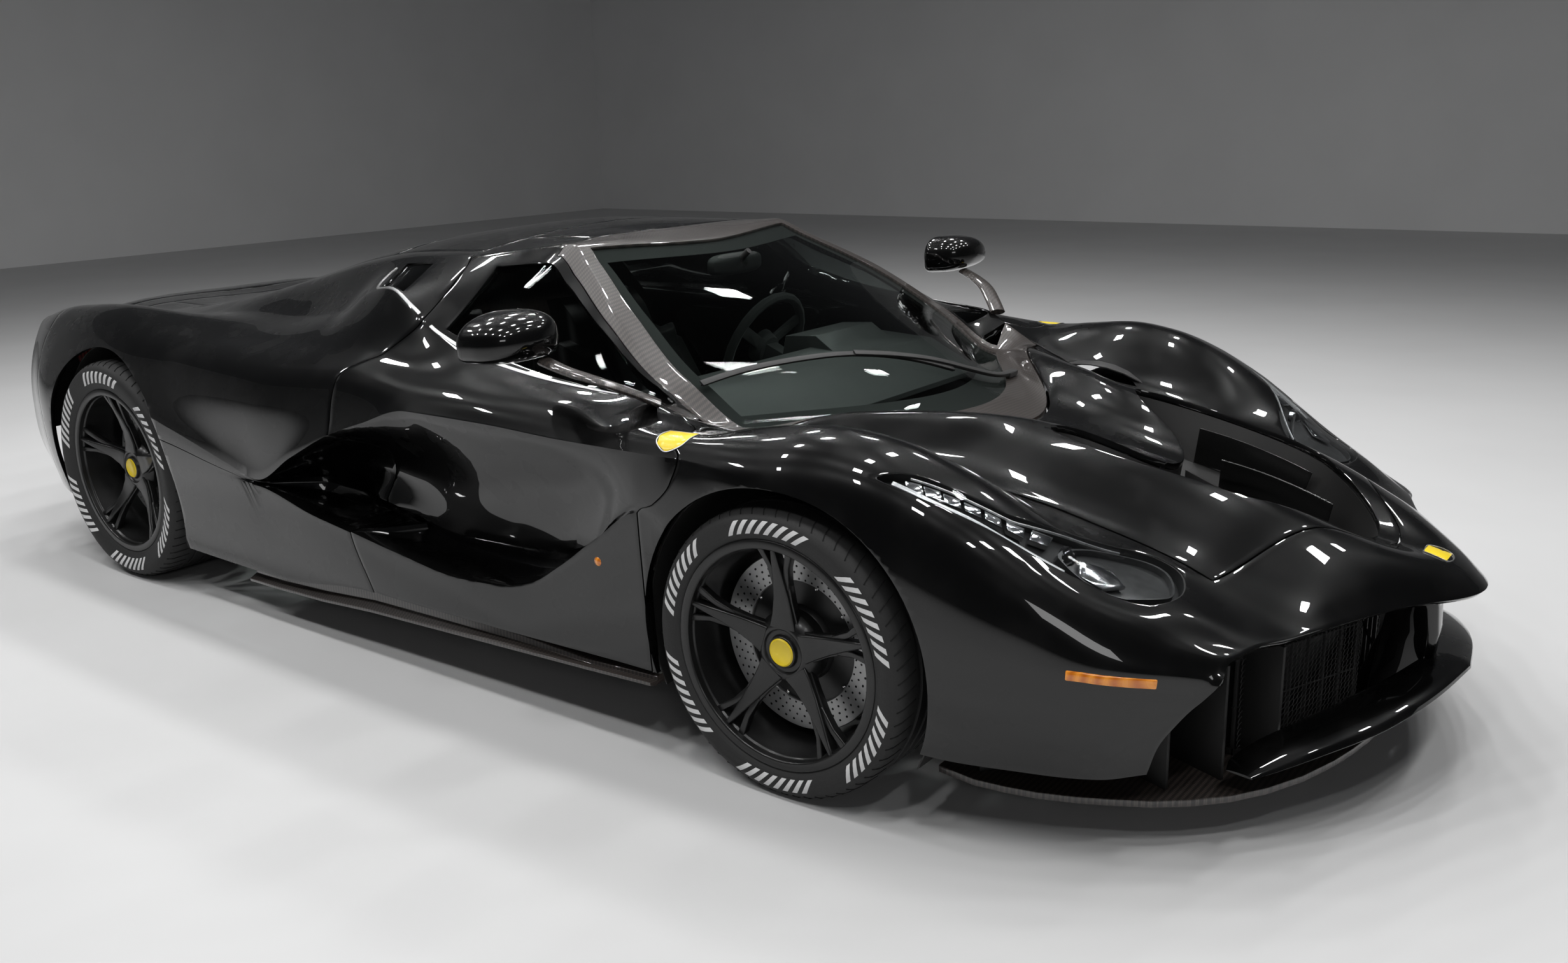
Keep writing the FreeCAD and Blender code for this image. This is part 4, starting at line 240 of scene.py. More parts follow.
def surface(rows, lines):
    """Points of the body's outer surface; negative lines are on the car's right."""
    rows, lines = np.broadcast_arrays(np.asarray(rows, float), np.asarray(lines, float))
    shape = rows.shape
    rows, lines = rows.ravel(), lines.ravel()
    result = np.zeros((len(rows), 3))
    lows = np.minimum(np.abs(lines).astype(int), LAST_LINE - 1)
    for low in set(lows.tolist()):
        pick = lows == low
        r = rows[pick]
        t = (np.abs(lines[pick]) - low)[:, None]
        start, end = line_points(low, r), line_points(low + 1, r)
        before = line_points(low - 1, r) if low > 0 else end * MIRROR
        span = np.linalg.norm(end - start, axis=-1, keepdims=True)
        leave = tangents(before, start, end, rounding(low, r), True)
        if low + 2 <= LAST_LINE:
            arrive = tangents(start, end, line_points(low + 2, r), rounding(low + 1, r), False)
        else:
            arrive = unit(end - start)
        points = start * ((1 + 2 * t) * (1 - t) ** 2) + end * (t * t * (3 - 2 * t))
        points = points + leave * (span * t * (1 - t) ** 2) - arrive * (span * t * t * (1 - t))
        result[pick] = points * np.where(lines[pick] < 0, -1, 1)[:, None] ** np.array([0, 1, 0])
    return result.reshape(shape + (3,))


def outward(rows, lines):
    """The direction away from the body at each place, from two short steps on the surface."""
    step = 0.04
    rows, lines = np.broadcast_arrays(np.asarray(rows, float), np.asarray(lines, float))
    across = surface(rows, lines + step) - surface(rows, lines - step)
    along = surface(np.minimum(rows + step, LAST_ROW), lines) - surface(np.maximum(rows - step, 0), lines)
    return -unit(np.cross(across, along))


def skin_points(rows, lines, depth):
    points = surface(rows, lines)
    if np.any(np.asarray(depth) != 0):
        points = points - outward(rows, lines) * depth
    return points


def at_skin(row, line, depth=0.0):
    """One point of the skin as frame metres."""
    return place(*skin_points(np.array([row]), np.array([line]), depth)[0])


print("a point of the roof", at_skin(6.5, 0))

# %% [markdown]
# ## Turning the surface into panels
# A panel is a rectangle in row and line numbers, shortened a little at its shut lines and given
# the real thickness inward. Patches that belong to one moulding share an edge, and the walls
# between them are dropped, so the moulding becomes one closed shell.

# %% Panels
FINE = 6
SKIN, DOOR_FRAME, GLASS, GLASS_DEPTH = 14.0, 26.0, 5.0, 4.0
SHUT = 2.1


def finer(values, count=FINE):
    """The same steps with count parts in each."""
    out = []
    for a, b in zip(values[:-1], values[1:]):
        out += [a + (b - a) * k / count for k in range(count)]
    return out + [values[-1]]


def fixed(value):
    return lambda line: value


def mix(a, b, t):
    return a + (b - a) * t


def even(count):
    return [i / count for i in range(count + 1)]


def net(lines, rear, front, steps, first_line=None):
    """Arrays of row and line numbers between two edges that may change from line to line."""
    lines, steps = finer(lines), finer(steps)
    rows = np.array([[mix(float(rear(line)), float(front(line)), t) for line in lines] for t in steps])
    places = np.tile(np.array(lines), (len(steps), 1))
    if first_line is not None:
        top, low = first_line
        for i in range(rows.shape[0]):
            for j, line in enumerate(lines):
                if abs(line) < low:
                    places[i, j] = mix(top(rows[i, j]), low, (abs(line) - lines[0]) / (low - lines[0]))
    return np.stack([rows, places], axis=-1)


def pull_edges(points, gaps, pins):
    rear, front, first, last = gaps
    rows, lines = points.shape[0] - 1, points.shape[1] - 1
    for i, near, gap in ((0, 1, rear), (rows, rows - 1, front)):
        for j in range(lines + 1):
            if gap and (i, j) not in pins:
                points[i, j] += unit(points[near, j] - points[i, j]) * gap
    for j, near, gap in ((0, 1, first), (lines, lines - 1, last)):
        for i in range(rows + 1):
            if gap and (i, j) not in pins:
                points[i, j] += unit(points[i, near] - points[i, j]) * gap


def panel(grid, depth=SKIN, top=0.0, gaps=(0, 0, 0, 0), pins=(), hole=None, inner=None):
    """Quads of a panel over the grid; pins and hole count the coarse steps, as the CAD does."""
    outer = skin_points(grid[..., 0], grid[..., 1], top)
    if inner is None:
        under = skin_points(grid[..., 0], grid[..., 1], top + depth)
    else:
        under = inner(grid)
    pins = {(i * FINE, j * FINE) for i, j in pins}
    hole = [v * FINE for v in hole] if hole else None
    pull_edges(outer, gaps, pins)
    pull_edges(under, gaps, pins)
    rows, lines = grid.shape[0] - 1, grid.shape[1] - 1

    def kept(i, j):
        inside = 0 <= i < rows and 0 <= j < lines
        return inside and not (hole and hole[0] <= i < hole[1] and hole[2] <= j < hole[3])

    quads = []
    for i in range(rows):
        for j in range(lines):
            if not kept(i, j):
                continue
            corners = ((i, j), (i + 1, j), (i + 1, j + 1), (i, j + 1))
            beside = ((i, j - 1), (i + 1, j), (i, j + 1), (i - 1, j))
            quads.append([outer[c] for c in corners])
            quads.append([under[c] for c in reversed(corners)])
            for k in range(4):
                if not kept(*beside[k]):
                    a, b = corners[k], corners[(k + 1) % 4]
                    quads.append([outer[b], outer[a], under[a], under[b]])
    return quads


def mirrored(quads):
    return [[p * MIRROR for p in reversed(quad)] for quad in quads]


def quads_on_side(quads, sign):
    return quads if sign > 0 else mirrored(quads)


def both_ways(lines):
    return [-line for line in reversed(lines) if line > 0] + list(lines)


sample = net((0.0, 1.0), fixed(5), fixed(6), even(1))
print("one coarse step of a panel has", len(panel(sample)), "quads")

# %% [markdown]
# ## From quads to pieces
# A piece is a plain mesh with a finish, rounded edges and smooth shading. It notes the body it
# rides on, its finish slot and the CAD nodes it stands for, and the last cell hands these over.

# %% Quads to a Blender object
SHARP = math.radians(38)
EDGE_SEGMENTS = 2
PANEL_EDGE, PANEL_ANGLE = 0.0012, 50
pieces = []


def in_scene(name, data):
    obj = bpy.data.objects.new(name, data)
    bpy.context.scene.collection.objects.link(obj)
    return obj


def mesh_of(name, points, faces):
    mesh = bpy.data.meshes.new(name)
    mesh.from_pydata(points, [], faces)
    mesh.update()
    return mesh


def mesh_of_bmesh(name, bm):
    mesh = bpy.data.meshes.new(name)
    bm.to_mesh(mesh)
    bm.free()
    return mesh


def new_object(name, mesh, material, body, slot):
    obj = in_scene(name, mesh)
    if not mesh.materials:
        mesh.materials.append(material)
    obj["ride_on"] = body
    obj["finish_slot"] = slot
    pieces.append(obj)
    return obj


def mesh_from_quads(name, quads):
    """Merges corners and drops every wall that two patches share."""
    points = np.array([p for quad in quads for p in quad]).reshape(-1, 3)
    keys, index = np.unique(np.round(points, 2), axis=0, return_inverse=True)
    faces = index.reshape(-1, 4)
    groups = {}
    for face in faces.tolist():
        corners = [v for k, v in enumerate(face) if v != face[k - 1]]
        if len(set(corners)) >= 3:
            groups.setdefault(tuple(sorted(set(corners))), []).append(corners)
    kept = [group[0] for group in groups.values() if len(group) == 1]
    return mesh_of(name, metres(keys).tolist(), kept)


def apply_modifiers(obj):
    """Replaces the mesh by its evaluated self, so that no modifier is left."""
    graph = bpy.context.evaluated_depsgraph_get()
    mesh = bpy.data.meshes.new_from_object(obj.evaluated_get(graph))
    obj.modifiers.clear()
    obj.data = mesh
    return obj


def rounded_edges(obj, width, angle):
    bevel = obj.modifiers.new("rounded edges", "BEVEL")
    bevel.limit_method = "ANGLE"
    bevel.angle_limit = math.radians(angle)
    bevel.width = width
    bevel.segments = EDGE_SEGMENTS
    bevel.harden_normals = False
    apply_modifiers(obj)


def finished(obj, bevel, angle, stands_for):
    """Rounds the edges, shades the piece smooth and notes the CAD nodes it stands for."""
    if bevel:
        rounded_edges(obj, bevel, angle)
    mesh = obj.data
    mesh.polygons.foreach_set("use_smooth", [True] * len(mesh.polygons))
    mesh.set_sharp_from_angle(angle=SHARP)
    if stands_for:
        obj["stands_for"] = list(stands_for)
    print(obj.name, len(mesh.polygons), "faces")
    return obj


def cylinder_mesh(name, centre, radius, y0, y1, count=96):
    """A closed round cutter along y, in metres."""
    bm = bmesh.new()
    rings = []
    for y in (y0, y1):
        ring = []
        for k in range(count):
            angle = 2 * math.pi * k / count
            across, up = radius * math.cos(angle), radius * math.sin(angle)
            ring.append(bm.verts.new((centre.x + across, y, centre.z + up)))
        rings.append(ring)
    for k in range(count):
        bm.faces.new((rings[0][k - 1], rings[0][k], rings[1][k], rings[1][k - 1]))
    bm.faces.new(rings[0])
    bm.faces.new(list(reversed(rings[1])))
    bmesh.ops.recalc_face_normals(bm, faces=bm.faces)
    return mesh_of_bmesh(name, bm)


def cut(obj, cutters):
    """Cuts closed meshes out of a piece."""
    for mesh in cutters:
        tool = in_scene("cutter", mesh)
        boolean = obj.modifiers.new("cut", "BOOLEAN")
        boolean.operation, boolean.solver, boolean.object = "DIFFERENCE", "EXACT", tool
        apply_modifiers(obj)
        bpy.data.objects.remove(tool)


def body_panel(name, quads, finish, body="chassis", slot="paint", cutters=(), bevel=PANEL_EDGE,
               stands_for=()):
    """A piece made of a panel's quads."""
    obj = new_object(name, mesh_from_quads(name, quads), finishes[finish], body, slot)
    cut(obj, cutters)
    return finished(obj, bevel, PANEL_ANGLE, stands_for)


print("edges are rounded by", PANEL_EDGE * 1000, "mm")

# %% [markdown]
# ## Shader maths
# Every finish is worked out from the piece's own coordinates, so nothing is painted by hand and
# no picture is needed. A small class wraps a socket, so that a pattern reads like a sum.

# %% A socket that can be added and multiplied
class Value:
    def __init__(self, finish, socket):
        self.finish, self.socket = finish, socket

    def maths(self, operation, *others, first=None):
        inputs = [self] + list(others) if first is None else [first, self]
        return self.finish.node("Math", {"operation": operation}, inputs)

    def __add__(self, other):
        return self.maths("ADD", other)

    def __mul__(self, other):
        return self.maths("MULTIPLY", other)

    __radd__, __rmul__ = __add__, __mul__

    def __sub__(self, other):
        return self.maths("SUBTRACT", other)

    def __rsub__(self, other):
        return self.maths("SUBTRACT", first=other)

    def __gt__(self, other):
        return self.maths("GREATER_THAN", other)

    def __lt__(self, other):
        return self.maths("LESS_THAN", other)

    def whole(self):
        return self.maths("FLOOR")

    def part(self):
        return self.maths("FRACT")

    def sine(self):
        return self.maths("SINE")

    def size(self):
        return self.maths("ABSOLUTE")

    def least(self, other):
        return self.maths("MINIMUM", other)

    def rise(self, low, high):
        """0 below low, 1 above high, smooth between."""
        sockets = {"Value": self, "From Min": low, "From Max": high}
        return self.finish.node("MapRange", {"interpolation_type": "SMOOTHSTEP"}, sockets)


class Finish:
    """A material in the making; constants go straight to the shader's sockets."""

    def __init__(self, name, **constants):
        self.material = bpy.data.materials.new(name)
        self.material.use_nodes = True
        self.tree = self.material.node_tree
        self.shader = self.tree.nodes["Principled BSDF"]
        for socket, value in constants.items():
            self.shader.inputs[socket.replace("_", " ")].default_value = value
        finishes[name] = self.material

    def node(self, kind, settings=(), inputs=(), output=0):
        node = self.tree.nodes.new("ShaderNode" + kind)
        for key, value in dict(settings).items():
            setattr(node, key, value)
        for key, value in inputs.items() if isinstance(inputs, dict) else enumerate(inputs):
            if isinstance(value, Value):
                self.tree.links.new(value.socket, node.inputs[key])
            else:
                node.inputs[key].default_value = value
        return Value(self, node.outputs[output])

    def feed(self, socket, value):
        self.tree.links.new(value.socket, self.shader.inputs[socket])
        return self

    def point(self, kind="Object"):
        return self.node("TexCoord", output=kind)

    def axes(self, kind="Object"):
        vector = self.point(kind)
        return [self.node("SeparateXYZ", (), [vector], output=k) for k in range(3)]

    def noise(self, scale, detail=3.0, rough=0.5, stretch=None):
        vector = self.point()
        if stretch:
            vector = self.node("Mapping", {"vector_type": "POINT"}, {"Vector": vector, "Scale": stretch})
        inputs = {"Vector": vector, "Scale": scale, "Detail": detail, "Roughness": rough}
        return self.node("TexNoise", (), inputs)

    def tint(self, mask, dark, light):
        """Colour that goes from dark to light with the mask."""
        inputs = {0: mask, 6: dark, 7: light}
        return self.node("Mix", {"data_type": "RGBA"}, inputs, output=2)

    def level(self, mask, low, high):
        return mask * (high - low) + low

    def bump(self, height, strength, distance=0.001):
        relief = self.node("Bump", (), {"Strength": strength, "Distance": distance, "Height": height})
        return self.feed("Normal", relief)


finishes = {}


def grey(value, warm=0.0):
    return (value * (1 + warm), value, value * (1 - warm), 1.0)


print("a middle grey is", grey(0.18))

# %% [markdown]
# ## Finishes
# Black gloss paint is a nearly black base under a clear coat: the coat makes the mirror, and a
# faint ripple and a trace of dust keep it from looking like plastic. Lacquered carbon weave is
# the same coat over a brown-grey twill.

# %% Paint and carbon weave
HALF_ROOT = 0.7071


def gloss_paint():
    coat = {"Coat_Weight": 1.0, "Coat_Roughness": 0.012, "Coat_IOR": 1.52}
    paint = Finish("gloss_black_paint", Specular_IOR_Level=0.08, **coat)
    dust = paint.noise(9.0, 4.0).rise(0.45, 0.75)
    paint.feed("Base Color", paint.tint(dust, grey(0.0016), grey(0.0034, 0.02)))
    paint.feed("Roughness", paint.level(dust, 0.26, 0.38))
    return paint.bump(paint.noise(7.0, 1.0), 0.02, 0.0006).material


def carbon_weave(name, across, along, tow=0.0042):
    """Two-by-two twill: floor numbers of both directions decide which tow lies on top, and the crown of each
    tow is painted lighter as a painted highlight.
    """
    weave = Finish(name, Specular_IOR_Level=0.5, Coat_Weight=1.0, Coat_Roughness=0.02)
    axes = weave.axes()
    turned = HALF_ROOT / tow
    u = (axes[across] + axes[along]) * turned
    v = (axes[across] - axes[along]) * turned
    over = ((u.whole() + v.whole()) * 0.25).part() < 0.5
    crown_and_highlight_u = ((u.part() - 0.5).size() * -2.0 + 1.0)
    crown_and_highlight_v = ((v.part() - 0.5).size() * -2.0 + 1.0)
    ridge = crown_and_highlight_u * over + crown_and_highlight_v * (1 - over)
    # The crown of each tow is painted lighter than its edges. This painted highlight runs along every tow and
    # is added to the twill pattern of which tow lies on top. The same crown profile also sets roughness and
    # bump.
    light = over * 0.55 + ridge * 0.45
    weave.feed("Base Color", weave.tint(light, (0.008, 0.0068, 0.0062, 1), (0.062, 0.050, 0.044, 1)))
    weave.feed("Roughness", weave.level(ridge, 0.5, 0.3))
    return weave.bump(ridge, 0.08, 0.0003).material


def satin_black():
    satin = Finish("satin_black_paint", Metallic=0.35, Coat_Weight=0.25, Coat_Roughness=0.18)
    grain = satin.noise(180.0, 2.0)
    satin.feed("Base Color", satin.tint(grain, grey(0.010), grey(0.016)))
    satin.feed("Roughness", satin.level(satin.noise(30.0), 0.26, 0.38))
    return satin.bump(grain, 0.03, 0.0002).material


def moulded_black(name="moulded_black", shade=0.011, rough=0.55):
    plastic = Finish(name)
    grain = plastic.noise(900.0, 2.0)
    plastic.feed("Base Color", plastic.tint(plastic.noise(14.0), grey(shade), grey(shade * 1.7, 0.03)))
    plastic.feed("Roughness", plastic.level(grain, rough - 0.08, rough + 0.12))
    return plastic.bump(grain, 0.18, 0.0003).material


gloss_paint()
carbon_weave("carbon_weave_flat", 0, 1)
carbon_weave("carbon_weave_upright", 0, 2)
satin_black()
moulded_black()
moulded_black("dark_lining", 0.006, 0.75)
print("finishes so far", sorted(finishes))


# %% Glass, lamps and metal
def clear_glass(name, tone):
    """A thin sheet: light goes straight through, tinted, and Fresnel decides how much is mirrored."""
    glass = Finish(name, Base_Color=grey(0.002), Specular_IOR_Level=0.5, Coat_Weight=1.0, Coat_Roughness=0.0)
    smear = glass.noise(6.0, 3.0).rise(0.4, 0.8)
    glass.feed("Roughness", glass.level(smear, 0.0, 0.03))
    through = glass.node("BsdfTransparent", (), {"Color": tone})
    facing = glass.node("LayerWeight", (), {"Blend": 0.5}, output=1)
    slope = facing * facing
    share = slope * slope * 0.8 + 0.045
    mixed = glass.node("MixShader", (), {0: share, 1: through, 2: Value(glass, glass.shader.outputs[0])})
    glass.tree.links.new(mixed.socket, glass.tree.nodes["Material Output"].inputs["Surface"])
    return glass.material


def metal(name, low, high, rough, scale=60.0, metallic=1.0, stretch=None, relief=0.04):
    finish = Finish(name, Metallic=metallic)
    grain = finish.noise(scale, 4.0, stretch=stretch)
    finish.feed("Base Color", finish.tint(grain, low, high))
    finish.feed("Roughness", finish.level(grain, rough - 0.06, rough + 0.1))
    return finish.bump(grain, relief, 0.0003).material


def coloured_lens(name, low, high):
    """Ribbed plastic lens, as on a marker lamp."""
    lens = Finish(name, Coat_Weight=1.0, Coat_Roughness=0.03)
    x, y = lens.axes()[:2]
    ribs = ((x - y) * 520.0).sine() * 0.5 + 0.5
    lens.feed("Base Color", lens.tint(ribs, low, high))
    lens.feed("Roughness", lens.level(ribs, 0.12, 0.3))
    return lens.bump(ribs, 0.15, 0.0004).material


clear_glass("tinted_screen", (0.84, 0.88, 0.865, 1))
clear_glass("dark_side_glass", (0.78, 0.81, 0.80, 1))
clear_glass("lamp_cover", (0.97, 0.98, 0.985, 1))
metal("bright_reflector", grey(0.75), grey(0.92), 0.1)
metal("lamp_body", grey(0.05), grey(0.12), 0.35, metallic=0.6)
metal("satin_trim", grey(0.42), grey(0.55), 0.34, 300.0)
metal("burnished_steel", (0.30, 0.28, 0.26, 1), (0.46, 0.43, 0.40, 1), 0.32, 25.0, stretch=(4, 1, 1))
metal("cast_alloy", grey(0.22), grey(0.34), 0.5, 90.0, relief=0.2)
metal("caliper_black", grey(0.02), grey(0.032), 0.34, 90.0, metallic=0.2)
metal("yellow_enamel", (0.82, 0.60, 0.02, 1), (0.90, 0.68, 0.04, 1), 0.22, 40.0, metallic=0.0, relief=0.01)
# Near-black finish for the bars that stand for the cuts in the tread: painted shade, darker than the rubber
# itself.
metal("tread_cut_shade", grey(0.002), grey(0.004), 0.9, 90.0, metallic=0.0)
metal("light_guide", grey(0.55), grey(0.75), 0.25, 40.0, metallic=0.3)
metal("lens_glass", grey(0.10), grey(0.22), 0.04, 10.0, metallic=0.9, relief=0.0)
coloured_lens("amber_lens", (0.62, 0.16, 0.01, 1), (0.95, 0.34, 0.03, 1))
coloured_lens("red_lens", (0.22, 0.004, 0.004, 1), (0.50, 0.012, 0.010, 1))
print("with glass and metal", len(finishes), "finishes")


# %% Rubber, discs and cabin trim
SIDEWALL, STROKE_BAND = 0.14, (0.075, 0.145)


def tyre_rubber():
    """UV: u runs once round the tyre, v from the outer bead (0) over the tread to the inner bead (1)."""
    rubber = Finish("tyre_rubber", Metallic=0.0)
    u, v = rubber.axes("UV")[:2]
    fine = rubber.noise(260.0, 3.0)
    rings = ((v * 420.0).sine() * 0.5 + 0.5) * (v < SIDEWALL)
    slant = u * 24.0 + v * 5.0
    in_group = ((slant * 0.25).part() > 0.30) * (slant.part() < 0.92)
    in_band = (v > STROKE_BAND[0]) * (v < STROKE_BAND[1])
    stroke = ((slant * 3.0).part() < 0.52) * in_group * in_band
    rubber.feed("Base Color", rubber.tint(stroke, grey(0.016), grey(0.72)))
    rubber.feed("Roughness", rubber.level(fine, 0.58, 0.78))
    return rubber.bump(rings * 0.6 + fine * 0.4 + stroke * 1.2, 0.25, 0.0008).material


def brake_disc():
    """UV: u round the disc, v across it; the drilled holes are not cut but painted as near-black round spots
    in slanted rows, a painted shade for the dark inside of each hole.
    """
    disc = Finish("drilled_disc", Metallic=0.85)
    u, v = disc.axes("UV")[:2]
    face = v.least(1 - v)
    row = face * 12.0
    along = (u * 54.0 + row.whole() * 0.37).part() - 0.5
    across = row.part() - 0.5
    spot = (along * along * 1.8 + across * across) < 0.036
    inside = (face > 0.03) * (face < 0.34)
    hole = spot * inside
    turning = ((v * 900.0).sine() * 0.5 + 0.5)
    # Painted shade: each drilled hole is painted near black in the base colour.
    disc.feed("Base Color", disc.tint(hole, grey(0.40), grey(0.01)))
    disc.feed("Roughness", disc.level(turning, 0.30, 0.46))
    return disc.bump(turning * 0.3 + (1 - hole), 0.3, 0.0006).material


def hide(name, low, high, rough, scale=700.0):
    """Leather, suede or carpet: small cells in the colour's own noise."""
    leather = Finish(name, Sheen_Weight=0.15)
    cells = leather.node("TexVoronoi", {"feature": "F1"}, {"Vector": leather.point(), "Scale": scale})
    leather.feed("Base Color", leather.tint(leather.noise(20.0), low, high))
    leather.feed("Roughness", leather.level(cells, rough - 0.08, rough + 0.15))
    return leather.bump(cells, 0.2, 0.0004).material


tyre_rubber()
brake_disc()
hide("black_leather", grey(0.012), grey(0.022), 0.45)
hide("dark_suede", grey(0.016), grey(0.030), 0.85, 1500.0)
hide("carpet_black", grey(0.006), grey(0.014), 0.95, 2600.0)
print(len(finishes), "finishes")

# %% [markdown]
# ## Small makers
# Lamps, outlets and trim lie in the skin, so their outlines are given in rows and lines too. A
# patch fills such an outline with triangles and gives it a top and a bottom depth: deep and proud
# it is a cutter, thin it is a lens. Round parts are turned on a lathe, and bars are lofted.

# %% Patches, ribbons, lathe and loft
OUTLINE_PARTS = 8
LINE_STRETCH = 1.6
FLIP_SIDE = Matrix.Diagonal((1, -1, 1, 1))


def rounded_outline(points, parts=OUTLINE_PARTS, closed=True):
    """A Catmull-Rom curve through the given places."""
    count = len(points)
    out = []
    for i in range(count if closed else count - 1):
        p = [Vector(points[(i + k - 1) % count] if closed else points[min(max(i + k - 1, 0), count - 1)])
             for k in range(4)]
        for s in range(parts):
            t = s / parts
            out.append(0.5 * (2 * p[1] + (p[2] - p[0]) * t + (2 * p[0] - 5 * p[1] + 4 * p[2] - p[3]) * t * t
                              + (3 * p[1] - 3 * p[2] + p[3] - p[0]) * t ** 3))
    return out if closed else out + [Vector(points[-1])]


def inside_outline(point, outline):
    odd = False
    for a, b in zip(outline, outline[1:] + outline[:1]):
        if (a.y > point.y) != (b.y > point.y):
            if point.x < (b.x - a.x) * (point.y - a.y) / (b.y - a.y) + a.x:
                odd = not odd
    return odd


def shrunk(outline, amount):
    """The outline pulled towards its middle, by a share of its size."""
    middle = sum(outline, Vector((0, 0))) / len(outline)
    return [p + (middle - p) * amount for p in outline]


def skin_ring(outline, depth, side):
    """The (row, line) places of an outline on the skin, at one depth, as an array in mm."""
    grid = np.array([[p[0], p[1]] for p in outline])
    return skin_points(grid[:, 0], grid[:, 1], depth) * np.array([1, side, 1])


def patch_mesh(name, outline, low, high, spacing=0.07, side=1):
    """A closed sheet over an outline of (row, line), from depth low to depth high in mm."""
    points = [Vector(p) for p in outline]
    ring = len(points)
    lows = [min(p[k] for p in points) for k in (0, 1)]
    highs = [max(p[k] for p in points) for k in (0, 1)]
    for i in range(1, int((highs[0] - lows[0]) / spacing) + 1):
        for j in range(1, int((highs[1] - lows[1]) / (spacing * LINE_STRETCH)) + 1):
            p = Vector((lows[0] + i * spacing, lows[1] + j * spacing * LINE_STRETCH))
            nearest = min((p - q).length for q in points[:ring])
            if inside_outline(p, points[:ring]) and nearest > spacing * 0.5:
                points.append(p)
    flat, _, faces = delaunay_2d_cdt(points, [], [list(range(ring))], 1, 1e-6)[:3]
    count = len(flat)
    edges = dict.fromkeys(edge for face in faces for edge in zip(face, face[1:] + face[:1]))
    polygons = [tuple(face) for face in faces] + [tuple(v + count for v in reversed(face)) for face in faces]
    polygons += [(b, a, a + count, b + count) for a, b in edges if (b, a) not in edges]
    coords = metres(np.vstack([skin_ring(flat, depth, side) for depth in (low, high)]))
    return facing_out(mesh_of(name, coords.tolist(), polygons))


def facing_out(mesh):
    bm = bmesh.new()
    bm.from_mesh(mesh)
    bmesh.ops.remove_doubles(bm, verts=bm.verts, dist=1e-6)
    bmesh.ops.recalc_face_normals(bm, faces=bm.faces)
    bm.to_mesh(mesh)
    bm.free()
    return mesh


def loft(name, sections):
    """Joins sections of the same number of points and closes both ends."""
    count = len(sections[0])
    points = [tuple(p) for section in sections for p in section]
    faces = []
    for i in range(len(sections) - 1):
        for k in range(count):
            a, b = i * count + k, i * count + (k + 1) % count
            faces.append((a, b, b + count, a + count))
    faces += [tuple(reversed(range(count))), tuple(range(len(points) - count, len(points)))]
    return facing_out(mesh_of(name, points, faces))


def lathe(name, profile, count=72, centre=(0, 0, 0), closed=False, axis="y"):
    """Turns (radius, place along the axis) in mm, with a UV map: u round, v along the profile."""
    lengths = [0.0]
    for a, b in zip(profile[:-1], profile[1:]):
        lengths.append(lengths[-1] + math.dist(a, b))
    bm = bmesh.new()
    layer = bm.loops.layers.uv.new("turned")
    rings = []
    for radius, along_axis in profile:
        ring = []
        for k in range(count if radius > 1e-6 else 1):
            angle = 2 * math.pi * k / count
            turned = (radius * math.cos(angle), along_axis, radius * math.sin(angle))
            if axis == "x":
                turned = (along_axis, turned[0], turned[2])
            ring.append(bm.verts.new([(c + o) / 1000 for c, o in zip(turned, centre)]))
        rings.append(ring)
    pairs = list(zip(rings[:-1], rings[1:], lengths[:-1], lengths[1:]))
    if closed:
        pairs.append((rings[-1], rings[0], lengths[-1], lengths[-1]))
    for low, high, v0, v1 in pairs:
        for k in range(count):
            after = k + 1
            corners = [low[k % len(low)], low[after % len(low)], high[after % len(high)], high[k % len(high)]]
            turns = [(k / count, v0), (after / count, v0), (after / count, v1), (k / count, v1)]
            unique, uvs = [], []
            for corner, uv in zip(corners, turns):
                if corner not in unique:
                    unique.append(corner)
                    uvs.append(uv)
            if len(unique) < 3:
                continue
            face = bm.faces.new(unique)
            for loop, (u, v) in zip(face.loops, uvs):
                loop[layer].uv = (u, v / lengths[-1])
    bmesh.ops.recalc_face_normals(bm, faces=bm.faces)
    return mesh_of_bmesh(name, bm)


def joined(name, meshes):
    """One mesh out of several, with every material and UV map kept."""
    bm = bmesh.new()
    for mesh in meshes:
        bm.from_mesh(mesh)
    return mesh_of_bmesh(name, bm)


def moved(mesh, matrix):
    copy = mesh.copy()
    copy.transform(matrix)
    if matrix.determinant() < 0:
        copy.flip_normals()
    return copy


def on_side(mesh, sign):
    return mesh if sign > 0 else moved(mesh, FLIP_SIDE)


def on_both_sides(name, mesh):
    return joined(name, [mesh, moved(mesh, FLIP_SIDE)])


def piece_of(name, mesh, finish, body="chassis", slot="black_plastic", bevel=0.0, angle=40, stands_for=()):
    return finished(new_object(name, mesh, finishes[finish], body, slot), bevel, angle, stands_for)


def ribbon_mesh(name, path, width, low, high, side=1):
    """A flat strip that follows places on the skin, width in mm."""
    places = rounded_outline(path, 6, closed=False)
    rows = np.array([p[0] for p in places])
    lines = np.array([p[1] for p in places])
    normal = outward(rows, lines)
    run = np.gradient(surface(rows, lines), axis=0)
    across = unit(np.cross(run, normal)) * width / 2
    sections = []
    for edge, depth in ((-1, low), (1, low), (1, high), (-1, high)):
        sections.append((surface(rows, lines) - normal * depth + across * edge) * np.array([1, side, 1]))
    rings = [[place(*sections[k][i]) for k in range(4)] for i in range(len(places))]
    return loft(name, rings)


sample = lathe("sample", [(0, 0), (10, 0), (10, 5), (0, 5)], 24)
print("a turned button has", len(sample.polygons), "faces")
bpy.data.meshes.remove(sample)

# %% [markdown]
# ## Repeats
# Spokes, screws, the bars of painted shade in the tread cuts and mesh openings repeat. A node tree puts a
# part on a ring, and its result is kept as a plain mesh.

